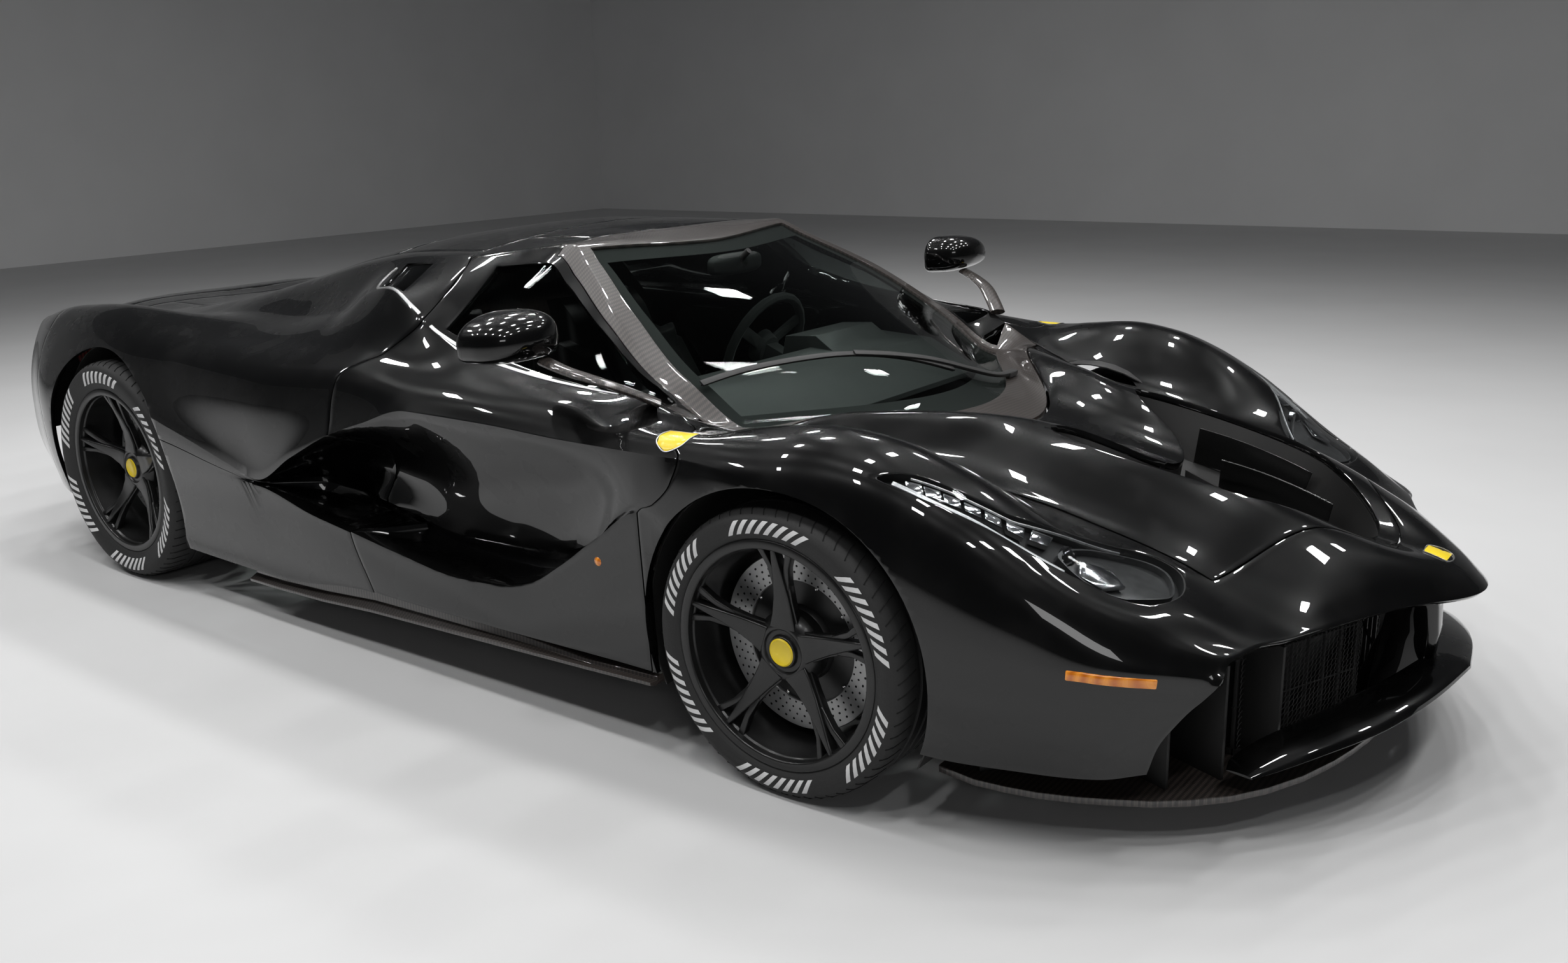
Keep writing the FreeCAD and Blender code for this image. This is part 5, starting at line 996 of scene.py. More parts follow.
# %% Repeating things with Geometry Nodes
def new_tree(name, inputs):
    """An empty tree with one geometry output and the given inputs."""
    tree = bpy.data.node_groups.new(name, "GeometryNodeTree")
    tree.interface.new_socket("Geometry", in_out="OUTPUT", socket_type="NodeSocketGeometry")
    for label, kind in inputs.items():
        tree.interface.new_socket(label, in_out="INPUT", socket_type="NodeSocket" + kind)
    return tree


def ring_tree():
    """Copies of a part on a ring, turned with it; the tree ends in a plain mesh with its finish."""
    tree = new_tree("parts on a ring", {
        "Part": "Object", "Count": "Int", "Radius": "Float", "Finish": "Material"})
    kinds = (
        "NodeGroupInput", "GeometryNodeMeshCircle", "GeometryNodeInstanceOnPoints", "GeometryNodeObjectInfo",
        "GeometryNodeInputIndex", "ShaderNodeMath", "ShaderNodeMath", "ShaderNodeCombineXYZ",
        "GeometryNodeRealizeInstances", "GeometryNodeSetMaterial", "NodeGroupOutput")
    made = [tree.nodes.new(kind) for kind in kinds]
    given, circle, copies, part, index, share, angle, turn, plain, dressed, out = made
    share.operation, angle.operation = "DIVIDE", "MULTIPLY"
    share.inputs[0].default_value = 2 * math.pi
    source = given.outputs
    for a, b in (
            (source["Count"], circle.inputs["Vertices"]), (source["Radius"], circle.inputs["Radius"]),
            (source["Part"], part.inputs["Object"]), (source["Count"], share.inputs[1]),
            (share.outputs[0], angle.inputs[0]), (index.outputs[0], angle.inputs[1]),
            (angle.outputs[0], turn.inputs["Z"]), (circle.outputs["Mesh"], copies.inputs["Points"]),
            (part.outputs["Geometry"], copies.inputs["Instance"]),
            (turn.outputs[0], copies.inputs["Rotation"]),
            (copies.outputs[0], plain.inputs[0]), (plain.outputs[0], dressed.inputs["Geometry"]),
            (source["Finish"], dressed.inputs["Material"]), (dressed.outputs[0], out.inputs[0])):
        tree.links.new(a, b)
    return tree


def grown(name, tree, values):
    """Runs a tree on an empty mesh and keeps the plain result."""
    carrier = in_scene(name + "_grower", bpy.data.meshes.new(name + "_seed"))
    modifier = carrier.modifiers.new("grow", "NODES")
    modifier.node_group = tree
    for item in tree.interface.items_tree:
        if item.in_out == "INPUT" and item.name in values:
            modifier[item.identifier] = values[item.name]
    mesh = apply_modifiers(carrier).data
    bpy.data.objects.remove(carrier)
    return mesh


on_a_ring = ring_tree()


def ring_of(name, part, count, radius, finish):
    """A mesh of parts round the z axis, each with its x pointing outwards."""
    holder = in_scene(name + "_part", part)
    mesh = grown(name, on_a_ring, {
        "Part": holder, "Count": count, "Radius": radius, "Finish": finishes[finish]})
    bpy.data.objects.remove(holder)
    return mesh


print(on_a_ring.name, "has", len(on_a_ring.nodes), "nodes")

# %% [markdown]
# ## Shut lines
# Doors, lids and roof are cut out of the one surface along shut lines, given as the row where a
# panel ends on each body line. They are the CAD's own, so each panel covers its node.

# %% Where the panels end
DOOR_REAR = table_curve((
    (0.9, 6.35), (1.2, 6.45), (2.0, 6.55), (3.0, 6.33), (4.0, 6.0), (5.0, 6.0),
    (6.0, 6.15), (7.0, 6.08), (8.0, 6.05), (9.0, 6.07), (10.0, 6.24)))
DOOR_FRONT = table_curve((
    (1.2, 8.85), (1.6, 8.93), (2.0, 9.0), (3.0, 9.25), (4.0, 9.3), (5.0, 9.4),
    (6.0, 9.35), (7.0, 9.22), (8.0, 9.12), (9.0, 9.08), (10.0, 9.1)))
SLIT = table_curve(((3.4, 10.0), (3.85, 6.6), (4.5, 7.0), (4.75, 7.3), (5.0, 9.0), (6.2, 9.0)))
LID_REAR, LID_FRONT = 9.4, 11.87
SCREEN_LOW, SCREEN_TOP = 9.0, 7.1
HEADER_REAR, HEADER_CORNER = 6.8, 7.0
ROOF_REAR, COVER_FRONT, COVER_REAR = 5.25, 5.2, 1.6
ROOF_CUT, COVER_EDGE, PILLAR_EDGE = 0.62, 0.9, 1.12
WINDOW_TOP, WINDOW_LOW, FLANK_REAR = 1.2, 1.93, 3.85
ROOF_LINES = (0.0, 0.31, 0.62)
MIDDLE_LINES = ROOF_LINES + (0.92, 1.0, 1.12, 1.5, 2.0)
SIDE_LINES = (2.0, 2.5, 3.0, 3.5, 4.0, 4.5, 5.0, 6.0, 7.0, 8.0, 9.0, 10.0)
REAR_LINES = (0.9, 1.2, 1.55, 1.93, 2.0, 2.5, 3.0, 3.5, 4.0, 4.5, 5.0, 6.25, 7.5, 8.75, 10.0)
DOOR_LINES = (0.62, 0.9, 1.2, 1.55, 1.93, 2.0, 2.5, 3.0, 3.5, 4.0, 4.5, 5.0, 6.0, 7.0, 8.0, 9.0, 9.5, 10.0)
NOSE_STEPS = (0.0, 0.35, 0.7, 1.0)
AXLES = {"front": FRONT_AXLE, "rear": REAR_AXLE}
TYRE_RADIUS = {"front": 321.0, "rear": 357.5}
ARCH_RADIUS = {"front": 365.0, "rear": 400.0}


def door_rear(line):
    return DOOR_REAR.at(abs(line))


def door_front(line):
    return DOOR_FRONT.at(abs(line))


def top_edge(row):
    if row <= HEADER_REAR:
        return ROOF_CUT
    if row >= HEADER_CORNER:
        return PILLAR_EDGE
    return mix(ROOF_CUT, PILLAR_EDGE, (row - HEADER_REAR) / (HEADER_CORNER - HEADER_REAR))


def header_rear(line):
    reach = (abs(line) - ROOF_CUT) / (PILLAR_EDGE - ROOF_CUT)
    return mix(HEADER_REAR, HEADER_CORNER, min(1.0, max(0.0, reach)))


def arch_cutters(end):
    """The round wheel opening on both sides, as closed cutters."""
    centre = place(AXLES[end], 0, TYRE_RADIUS[end])
    inner, outer = 0.54, 1.1
    return [cylinder_mesh("arch", centre, ARCH_RADIUS[end] / 1000, s * outer, s * inner) for s in (-1, 1)]


print("door from row", float(door_rear(WINDOW_LOW)), "to", float(door_front(WINDOW_LOW)), "at the belt")

# %% [markdown]
# ## Front bodywork
# The front clamshell wraps round both wings and the nose in one moulding. The wheel openings are
# cut afterwards with a round cutter, as a fettler trims a moulding, and every edge gets a small
# radius because a real edge always catches a line of light.

# %% Front clamshell
def wing_steps():
    first = float(door_front(2.0))
    start = (LID_REAR - first) / (LID_FRONT - first)
    return [0.0, start / 2] + [mix(start, 1.0, k / 8) for k in range(9)]


LAMP_OUTLINE = rounded_outline((
    (10.57, 3.91), (10.69, 3.52), (10.85, 3.33), (11.02, 3.09), (11.15, 2.86), (11.22, 2.62), (11.30, 2.35),
    (11.42, 2.15), (11.56, 2.09), (11.72, 2.14), (11.86, 2.34), (11.97, 2.60), (12.00, 2.85), (11.92, 3.05),
    (11.78, 3.17), (11.62, 3.20), (11.50, 3.32), (11.38, 3.42), (11.21, 3.56), (11.04, 3.74), (10.82, 3.88),
    (10.66, 3.94)), parts=3)
PILLAR_GAP = SHUT * 0.7


def front_clam_quads():
    wing_grid = net(SIDE_LINES, door_front, fixed(LID_FRONT), wing_steps())
    wing = panel(wing_grid, gaps=(SHUT, 0, PILLAR_GAP, 0), pins={(10, 0)})
    corner = panel(net(SIDE_LINES, fixed(LID_FRONT), fixed(LAST_ROW), NOSE_STEPS))
    side = wing + corner
    middle = both_ways(MIDDLE_LINES)
    nose = net(middle, fixed(LID_FRONT), fixed(LAST_ROW), NOSE_STEPS)
    return side + mirrored(side) + panel(nose, gaps=(SHUT, 0, 0, 0), pins={(0, 0), (0, len(middle) - 1)})


PAINT = "gloss_black_paint"
lamp_cutters = [patch_mesh("lamp_opening", LAMP_OUTLINE, -8, 34, side=sign) for sign in (1, -1)]
body_panel("front_clamshell", front_clam_quads(), PAINT, cutters=arch_cutters("front") + lamp_cutters,
           stands_for=["front_clam"])

# %% Front lid with its outlet
LID_REAR_GAP, LID_SIDE_GAP = 9.5, 4.0
lid_grid = net(both_ways(MIDDLE_LINES), fixed(LID_REAR), fixed(LID_FRONT), even(8))
lid_quads = panel(lid_grid, gaps=(LID_REAR_GAP, SHUT, LID_SIDE_GAP, LID_SIDE_GAP))
HALF_OUTLET = (
    (10.45, 0.0), (10.44, 0.4), (10.38, 0.8), (10.42, 1.08), (10.7, 1.15), (11.1, 1.14), (11.45, 1.06),
    (11.62, 0.8), (11.69, 0.4))
OTHER_HALF = tuple((row, -line) for row, line in reversed(HALF_OUTLET[1:]))
OUTLET = rounded_outline(HALF_OUTLET + ((11.7, 0.0),) + OTHER_HALF, 4)
body_panel("front_lid_panel", lid_quads, PAINT, body="front_lid", stands_for=["front_lid"],
           cutters=[patch_mesh("outlet_opening", OUTLET, -10, 40)])


# %% [markdown]
# ## Cabin shell
# The windscreen sits in one ring of bare lacquered weave: cowl, pillars and header. The roof
# behind it is painted, as are the doors, which are as thick as the real ones.

# %% Screen frame and roof
HEADER_GAP = SHUT * 0.6


def screen_frame_quads():
    lines = both_ways(MIDDLE_LINES)
    cowl = net(lines, fixed(SCREEN_LOW), fixed(LID_REAR), even(2))
    low_pins = {(0, j) for j, line in enumerate(lines) if abs(line) >= 0.92}
    quads = panel(cowl, depth=DOOR_FRAME, gaps=(0, SHUT, 0, 0), pins=low_pins)
    pillar = net((0.92, 1.0, 1.12), fixed(SCREEN_TOP), fixed(SCREEN_LOW), even(6))
    side = panel(pillar, depth=DOOR_FRAME, gaps=(0, 0, 0, PILLAR_GAP), pins={(i, 2) for i in (0, 6)})
    quads += side + mirrored(side)
    header_lines = both_ways(MIDDLE_LINES[:6])
    header = net(header_lines, header_rear, fixed(SCREEN_TOP), even(1))
    last = len(header_lines) - 1
    return quads + panel(header, depth=DOOR_FRAME, gaps=(HEADER_GAP, 0, 0, 0), pins={(0, 0), (0, last)})


def roof_quads():
    lines = both_ways(ROOF_LINES + (COVER_EDGE,))
    rear = net(lines, fixed(ROOF_REAR), door_rear, even(3))
    last = len(lines) - 1
    quads = panel(rear, depth=DOOR_FRAME, gaps=(SHUT, SHUT, 0, 0), pins={(3, j) for j in range(1, last)})
    front = net(both_ways(ROOF_LINES), door_rear, fixed(HEADER_REAR), even(2))
    return quads + panel(front, depth=DOOR_FRAME, gaps=(0, 0, SHUT, SHUT), pins={(0, 0), (0, 4)})


WEAVE = "carbon_weave_flat"
body_panel("screen_surround", screen_frame_quads(), WEAVE, slot="carbon", stands_for=["screen_frame"])
body_panel("roof_panel", roof_quads(), PAINT, stands_for=["roof"])

# %% Doors
DOOR_BELT_DEPTH, DOOR_INNER_FACE, DOOR_DRAFT = 45.0, 735.0, 160.0
DOOR_TAPER, DOOR_REAR_TAPER, SHOULDER_DROP = 0.25, 0.2, 22.0


def door_steps():
    first = float(door_rear(ROOF_CUT))
    span = float(door_front(ROOF_CUT)) - first
    header = HEADER_REAR - first
    steps = [0.0, 0.5 * header / span, header / span, (HEADER_CORNER - first) / span]
    return steps + [mix(steps[-1], 1.0, (k + 1) / 10) for k in range(10)]


def door_inside(grid):
    """The door's inner face: deep below the belt, thin round the window and at the rear shoulder."""
    count = grid.shape[0] - 1
    t = np.linspace(0, 1, count + 1)[:, None] * np.ones(grid.shape[1])
    rows, lines = grid[..., 0], grid[..., 1]
    face = surface(rows, lines)
    rear = np.maximum(0.0, 1 - t / DOOR_REAR_TAPER)
    belt = np.clip((lines - WINDOW_LOW) / (2.5 - WINDOW_LOW), 0, 1)
    depth = mix(DOOR_FRAME, DOOR_BELT_DEPTH, np.where(lines < 2.5, belt, 0))
    shoulder = rear * np.clip(5.0 - lines, 0, 1)
    drop = np.where(lines < 2.5, depth * rear * (lines > WINDOW_LOW), DOOR_FRAME * shoulder)
    thin = face - outward(rows, lines) * depth[..., None]
    thin[..., 2] -= drop
    height = face[..., 2] - SHOULDER_DROP * np.maximum(0.0, 4.5 - lines)
    channel = surface(rows, np.full_like(lines, float(CHANNEL)))[..., 2] - 12.0 * (lines - CHANNEL)
    height = np.where(lines >= CHANNEL, np.minimum(height, channel), height)
    height = np.where(lines >= SILL, face[..., 2] + SKIN, height)
    lean = DOOR_DRAFT * (1 - t) * np.minimum(1.0, lines - 2.0)
    deep = np.stack([face[..., 0] + lean, np.full_like(height, DOOR_INNER_FACE), height], axis=-1)
    reach = (np.minimum(1.0, (1 - t) / DOOR_TAPER) * (1 - shoulder))[..., None]
    return np.where((lines < 2.5)[..., None], thin, thin + (deep - thin) * reach)


door_grid = net(DOOR_LINES, door_rear, door_front, door_steps(), (top_edge, WINDOW_TOP))
WINDOW_HOLE, DOOR_LOW_GAP = (1, 12, 2, 4), 1.5
door_quads = panel(door_grid, depth=DOOR_FRAME, gaps=(SHUT, SHUT, SHUT, DOOR_LOW_GAP), hole=WINDOW_HOLE,
                   inner=door_inside)
for side, sign in SIDES.items():
    body_panel(f"door_shell_{side}", quads_on_side(door_quads, sign), PAINT, body=f"door_{side}",
               cutters=arch_cutters("front"), stands_for=[f"door_{side}"])


# %% [markdown]
# ## Rear bodywork
# Haunches, tail and the deck behind the engine cover are one moulding too.

# %% Rear clamshell, engine cover and flanks
QUARTER_HOLE, COVER_HOLE = (11, 12, 1, 3), (2, 7, 1, 5)


def rear_front_line(line):
    return line if line <= WAIST else mix(WAIST, LEDGE, (line - WAIST) / (SILL - WAIST))


def rear_clam_quads():
    lines = finer(REAR_LINES)
    behind, ahead = 6 * FINE, 7 * FINE
    grid = np.zeros((behind + ahead + 1, len(lines), 2))
    for i in range(behind + ahead + 1):
        for j, line in enumerate(lines):
            if i <= behind:
                row = mix(COVER_REAR, FLANK_REAR, i / behind)
            else:
                row = mix(FLANK_REAR, float(door_rear(rear_front_line(line))), (i - behind) / ahead)
            low = line if line <= WAIST else mix(WAIST, float(SLIT.at(row)), (line - WAIST) / (SILL - WAIST))
            grid[i, j] = (row, low)
    side = panel(grid, gaps=(0, SHUT, SHUT, 0), pins={(0, 0)}, hole=QUARTER_HOLE)
    lines = both_ways(ROOF_LINES + REAR_LINES)
    deck = net(lines, fixed(0), fixed(COVER_REAR), (0.0, 0.2, 0.5, 0.8, 1.0))
    middle = len(lines) // 2
    pins = {(4, j) for j, line in enumerate(lines) if abs(line) >= COVER_EDGE}
    deck_quads = panel(deck, gaps=(0, SHUT, 0, 0), pins=pins, hole=(1, 3, middle - 6, middle + 6))
    return side + mirrored(side) + deck_quads, grid


rear_quads, rear_grid = rear_clam_quads()
body_panel("rear_clamshell", rear_quads, PAINT, cutters=arch_cutters("rear"), stands_for=["rear_clam"])

cover_grid = net(both_ways(ROOF_LINES + (COVER_EDGE,)), fixed(COVER_REAR), fixed(COVER_FRONT), even(8))
body_panel("engine_cover_panel", panel(cover_grid, gaps=(SHUT,) * 4, hole=COVER_HOLE), PAINT,
           body="engine_cover", stands_for=["engine_cover"])


def flank_quads():
    rows = finer(even(7))
    shares = finer(even(4))
    grid = np.zeros((len(rows), len(shares), 2))
    for i, t in enumerate(rows):
        for j, share in enumerate(shares):
            row = mix(FLANK_REAR, float(door_rear(mix(LEDGE, SILL, share))), t)
            grid[i, j] = (row, mix(float(SLIT.at(row)), SILL, share))
    side = panel(grid, gaps=(0, SHUT, 2.6, 0))
    return side + mirrored(side)


body_panel("lower_flanks", flank_quads(), PAINT, cutters=arch_cutters("rear"))


# %% [markdown]
# ## Glass
# Laminated glass is a thin curved sheet of its own, a little below the skin around it.

# %% Windscreen and windows
PANE_GAP = 1.0


def part_of(grid, hole):
    """The part of a panel's grid that fills one of its openings."""
    return grid[hole[0] * FINE:hole[1] * FINE + 1, hole[2] * FINE:hole[3] * FINE + 1]


def pane_quads(grid):
    return panel(grid, depth=GLASS, top=GLASS_DEPTH, gaps=(PANE_GAP,) * 4)


def pane_piece(name, quads, finish, body="chassis", stands_for=()):
    body_panel(name, quads, finish, body=body, slot="glass", bevel=0, stands_for=stands_for)


screen_grid = net(both_ways(MIDDLE_LINES[:4]), fixed(SCREEN_TOP), fixed(SCREEN_LOW), even(6))
quarter = pane_quads(part_of(rear_grid, QUARTER_HOLE))
pane_piece("windscreen", pane_quads(screen_grid), "tinted_screen", stands_for=["fixed_glass"])
pane_piece("quarter_windows", quarter + mirrored(quarter), "dark_side_glass")
door_pane = pane_quads(part_of(door_grid, WINDOW_HOLE))
for side, sign in SIDES.items():
    pane_piece(f"door_window_{side}", quads_on_side(door_pane, sign), "dark_side_glass", f"door_{side}",
               [f"door_glass_{side}"])
pane_piece("engine_window", pane_quads(part_of(cover_grid, COVER_HOLE)), "dark_side_glass", "engine_cover",
           ["engine_glass"])

# %% [markdown]
# ## Wheels
# Forged wheels with five blade-like spokes that fork at the rim, satin black. The tyre is turned
# from a profile with real grooves and shoulders; the cuts across the tread are near-black bars of
# painted shade, copies on a ring.

# %% Sizes of the wheels
BEAD_SHARE, SEAT_SHARE, SPOKES, HUB, SPOKE_DEPTH, FLANGE = 0.90, 0.84, 5, 62.0, 26.0, 14.0
GROOVE_DEPTH, GROOVE_HALF, HUB_BEHIND = 6.0, 5.0, 24
AXLE_TURN = Matrix.Rotation(math.radians(-90), 4, "X")


class WheelSize:
    """One axle's wheels in mm; y counts outwards from the wheel's own middle."""

    def __init__(self, end, width, rim, half_track, disc, dish, disc_y):
        self.end, self.axle, self.radius = end, AXLES[end], TYRE_RADIUS[end]
        self.rim, self.half_track, self.disc, self.dish, self.disc_y = rim, half_track, disc, dish, disc_y
        self.half = width / 2
        self.lip, self.seat = BEAD_SHARE * self.half, SEAT_SHARE * self.half
        self.face = self.lip - dish
        self.hub_back = self.face - SPOKE_DEPTH - HUB_BEHIND

    def matrix(self, sign):
        """Puts the wheel on its axle, on the side that the sign gives."""
        centre = place(self.axle, sign * self.half_track, self.radius)
        return Matrix.Translation(centre) @ Matrix.Diagonal((1, sign, 1, 1))


WHEELS = (
    WheelSize("front", width=265.0, rim=241.0, half_track=820.0, disc=199.0, dish=34.0, disc_y=5.0),
    WheelSize("rear", width=345.0, rim=254.0, half_track=800.0, disc=190.0, dish=50.0, disc_y=22.0))
print("tyres", [round(2 * size.radius) for size in WHEELS], "mm across")


# %% Tyres with grooves, and painted shade for the cuts
SIPE_CORNERS = ((-0.002, -0.0011), (0.0004, -0.0011), (0.0004, 0.0011), (-0.002, 0.0011))
SIPE_STEPS = ((0.55, 0.2, 0.0), (0.72, 1.4, 0.006), (0.84, 4.2, 0.012), (0.92, 12.0, 0.018))
SIPE_COUNT = 64


def tyre_mesh(size):
    r, half, bead = size.radius, size.half, size.rim + FLANGE
    profile = [
        (size.rim + 1, size.seat), (bead + 1.5, size.lip + 3), (bead + 5, size.lip + 7), (r - 46, half - 1),
        (r - 36, half), (r - 26, half - 1.5), (r - 16, 0.94 * half), (r - 9, 0.885 * half),
        (r - 4.5, 0.82 * half), (r - 2.0, 0.70 * half), (r - 1.0, 0.56 * half)]
    for share in (0.42, 0.14):
        middle = share * half
        profile += [(r - 0.3, middle + GROOVE_HALF + 1), (r - GROOVE_DEPTH, middle + GROOVE_HALF - 1),
                    (r - GROOVE_DEPTH, middle - GROOVE_HALF + 1), (r - 0.2, middle - GROOVE_HALF - 1)]
    profile += [(radius, -y) for radius, y in reversed(profile)]
    return lathe("tyre", profile, 96, closed=True)


def tread_cuts(size):
    """Thin near-black bars across both shoulders: painted shade that stands for the dark inside of the cuts
    between tread blocks.
    """
    bars = []
    for sign in (-1, 1):
        sections = []
        for share, drop, skew in SIPE_STEPS:
            y, top = sign * share * size.half / 1000, (size.radius - drop) / 1000
            sections.append([Vector((top + rise, skew + across, y)) for rise, across in SIPE_CORNERS])
        bars.append(loft("sipe", sections))
    ring = ring_of("tread_cuts_" + size.end, joined("sipes", bars), SIPE_COUNT, 0.0, "tread_cut_shade")
    return moved(ring, AXLE_TURN)


print("cuts round each tyre", SIPE_COUNT)


# %% Rims, caps, discs
UPRIGHT_SPOKE = Matrix(((0, 0, 1, 0), (1, 0, 0, 0), (0, 1, 0, 0), (0, 0, 0, 1)))
FIRST_SPOKE_UP = Matrix.Rotation(math.radians(-90), 4, "Y")
SCREW_TURN = Matrix.Rotation(math.radians(90), 4, "X")
SCREW_COUNT = 10


def spoke_bar(name, sections, depth, bevel):
    """A bar along z through (radius, half width, front, shift), with its front edges bevelled."""
    rings = []
    for radius, half, front, shift in sections:
        back = front - depth
        rings.append([Vector((x + shift, y, radius)) / 1000 for x, y in (
            (-half, front - bevel), (-half + bevel, front), (half - bevel, front), (half, front - bevel),
            (half * 0.92, back), (-half * 0.92, back))])
    return loft(name, rings)


def spoke_mesh(size):
    """A blade from hub to rim, a wider web behind it and two arms that fork towards the rim."""
    lip, face, dish, reach = size.lip, size.face, size.dish, size.rim - 6
    parts = [
        spoke_bar("blade", (
            (52, 33, face + 4, 0), (80, 27, face + 2, 0), (120, 20, face + dish * 0.15, 0),
            (165, 13.5, face + dish * 0.42, 0), (200, 9.5, face + dish * 0.68, 0), (reach, 5.5, lip - 3, 0)),
            SPOKE_DEPTH, 3.0),
        spoke_bar("web", (
            (55, 36, face - 8, 0), (110, 25, face - 7 + dish * 0.1, 0), (160, 22, face - 8 + dish * 0.35, 0)),
            SPOKE_DEPTH - 6, 2.0)]
    for sign in (-1, 1):
        parts.append(spoke_bar("arm", (
            (140, 8, face - 7 + dish * 0.28, 13 * sign), (190, 7, face - 6 + dish * 0.55, 21 * sign),
            (reach, 9, lip - 9, 39 * sign)), SPOKE_DEPTH * 0.75, 2.0))
    return joined("spoke", parts)


def rim_mesh(size):
    r, lip, face = size.rim, size.lip, size.face
    edge = r + FLANGE
    outside = [(r, -size.seat), (edge - 1, -lip), (edge, -lip - 4), (edge - 3, -lip - 5), (r - 9, -lip - 4)]
    inside = [
        (r - 12, -lip + 25), (r - 22, -lip + 60), (r - 24, face - 70), (r - 20, face - 30),
        (r - 13, face - 12), (r - 12, lip - 16), (r - 8.5, lip - 12), (r - 8, lip + 1)]
    flange = [(r - 5, lip + 4.2), (edge - 4, lip + 5), (edge, lip + 3), (edge - 1, lip), (r, size.seat)]
    barrel = lathe("barrel", outside + inside + flange, 96, closed=True)
    hub = lathe("hub", [
        (31, size.hub_back), (HUB + 20, size.hub_back), (HUB + 21, face - 24), (HUB + 8, face - 4),
        (HUB - 6, face + 3), (HUB - 12, face + 3), (HUB - 15, face - 3), (37, face - 3), (35, face + 6),
        (32, face + 8), (31, face + 6)], 72, closed=True)
    blade = spoke_mesh(size)
    blade.transform(UPRIGHT_SPOKE)
    ring = moved(ring_of("spokes_" + size.end, blade, SPOKES, 0.0, "satin_black_paint"), AXLE_TURN)
    return joined("rim", [barrel, hub, moved(ring, FIRST_SPOKE_UP)])


def cap_mesh(size):
    face = size.face
    return lathe("cap", [
        (0, face - 5), (30, face - 5), (31, face + 7), (28, face + 9.5), (26, face + 8.2),
        (0, face + 8.8)], 64)


def screw_mesh(radius, height):
    """A socket-headed screw along y."""
    screw = lathe("screw", [
        (0, 0), (radius, 0), (radius, height), (radius * 0.8, height + 0.8), (radius * 0.45, height + 0.8),
        (radius * 0.42, height - 1.5), (0, height - 1.5)], 10)
    return moved(screw, SCREW_TURN)


def disc_mesh(size):
    r, y = size.disc, size.disc_y
    return lathe("rotor", [
        (r - 62, y + 16), (r - 60, y + 18), (r - 2, y + 18), (r, y + 16), (r, y + 5), (r - 5, y + 4),
        (r - 5, y - 4), (r, y - 5), (r, y - 16), (r - 2, y - 18), (r - 62, y - 18)], 96, closed=True)


def bell_mesh(size):
    r, y, back = size.disc, size.disc_y, size.hub_back
    return lathe("bell", [
        (40, back), (78, back), (84, back - 6), (86, y + 14), (r - 57, y + 9), (r - 57, y + 2), (78, y + 4),
        (74, back - 10), (40, back - 10)], 72, closed=True)


for size in WHEELS:
    end = size.end
    turned = (
        ("tyre_rubber", tyre_mesh(size), "tyre_rubber", "rubber", 0.0, "tyre"),
        ("tread_cuts", tread_cuts(size), "tread_cut_shade", "rubber", 0.0, None),
        ("forged_rim", rim_mesh(size), "satin_black_paint", "rim", 0.0012, "rim"),
        ("centre_cap", cap_mesh(size), "yellow_enamel", "rim", 0.0, None),
        ("brake_rotor", disc_mesh(size), "drilled_disc", "disc", 0.0, "disc"),
        ("disc_bell", bell_mesh(size), "caliper_black", "disc", 0.0, None))
    screw = screw_mesh(4.0, 4)
    screw_rings = (
        ("bell", (size.disc - 66) / 1000, size.disc_y + 11, "bright_reflector"),
        ("hub", (HUB + 6) / 1000, size.face - 3, "satin_black_paint"))
    rings = [(label, ring_of(f"{label}_screws_{end}", screw, SCREW_COUNT, radius, finish), y, finish)
             for label, radius, y, finish in screw_rings]
    for side, sign in SIDES.items():
        wheel = f"wheel_{end}_{side}"
        for label, mesh, finish, slot, bevel, node in turned:
            piece_of(f"{label}_{end}_{side}", moved(mesh, size.matrix(sign)), finish, wheel, slot, bevel, 35,
                     stands_for=[f"{node}_{end}_{side}"] if node else ())
        for label, ring, y, finish in rings:
            placed = moved(ring, size.matrix(sign) @ Matrix.Translation((0, y / 1000, 0)) @ AXLE_TURN)
            piece_of(f"{label}_screws_{end}_{side}", placed, finish, wheel, "disc")

# %% [markdown]
# ## Wheel arches
# A moulded shell behind each arch hides the space round the wheel; it stands clear of the tyre
# at full lock.

# %% Liners of the wheel arches
LINER_RADIUS = {"front": 372.0, "rear": 404.0}
LINER_INNER, LINER_OUTER, LINER_SKIN = 560.0, 905.0, 3.0
LINER_FIRST, LINER_LAST, LINER_STEPS = -28, 205, 30


def liner_mesh(end):
    inner, outer = LINER_RADIUS[end], LINER_RADIUS[end] + LINER_SKIN
    corners = ((inner, LINER_INNER), (inner, LINER_OUTER), (outer, LINER_OUTER), (outer, LINER_INNER))
    rings = []
    for k in range(LINER_STEPS + 1):
        angle = math.radians(LINER_FIRST + (LINER_LAST - LINER_FIRST) * k / LINER_STEPS)
        c, s = math.cos(angle), math.sin(angle)
        rings.append([place(AXLES[end] + r * c, y, TYRE_RADIUS[end] + r * s) for r, y in corners])
    return loft("liner", rings)


for end in AXLES:
    piece_of(f"arch_liners_{end}", on_both_sides("liners", liner_mesh(end)), "moulded_black")

# %% [markdown]
# ## Headlamps
# Each lamp is a long drop-shaped opening cut through the wing: a row of diode cells and a light
# guide run back along the crest, and a projector sits at the front, all under one clear cover.

# %% Headlamps
def wall_mesh(name, outline, share, low, high, side):
    """A thin upright wall that follows an outline on the skin."""
    inner = shrunk(outline, share)
    corners = ((outline, low), (inner, low), (inner, high), (outline, high))
    rings = [skin_ring(*corner, side) for corner in corners]
    count = len(outline)
    faces = []
    for r in range(4):
        for k in range(count):
            after, ring_after = (k + 1) % count, (r + 1) % 4 * count
            faces.append((r * count + k, r * count + after, ring_after + after, ring_after + k))
    return facing_out(mesh_of(name, metres(np.vstack(rings)).tolist(), faces))


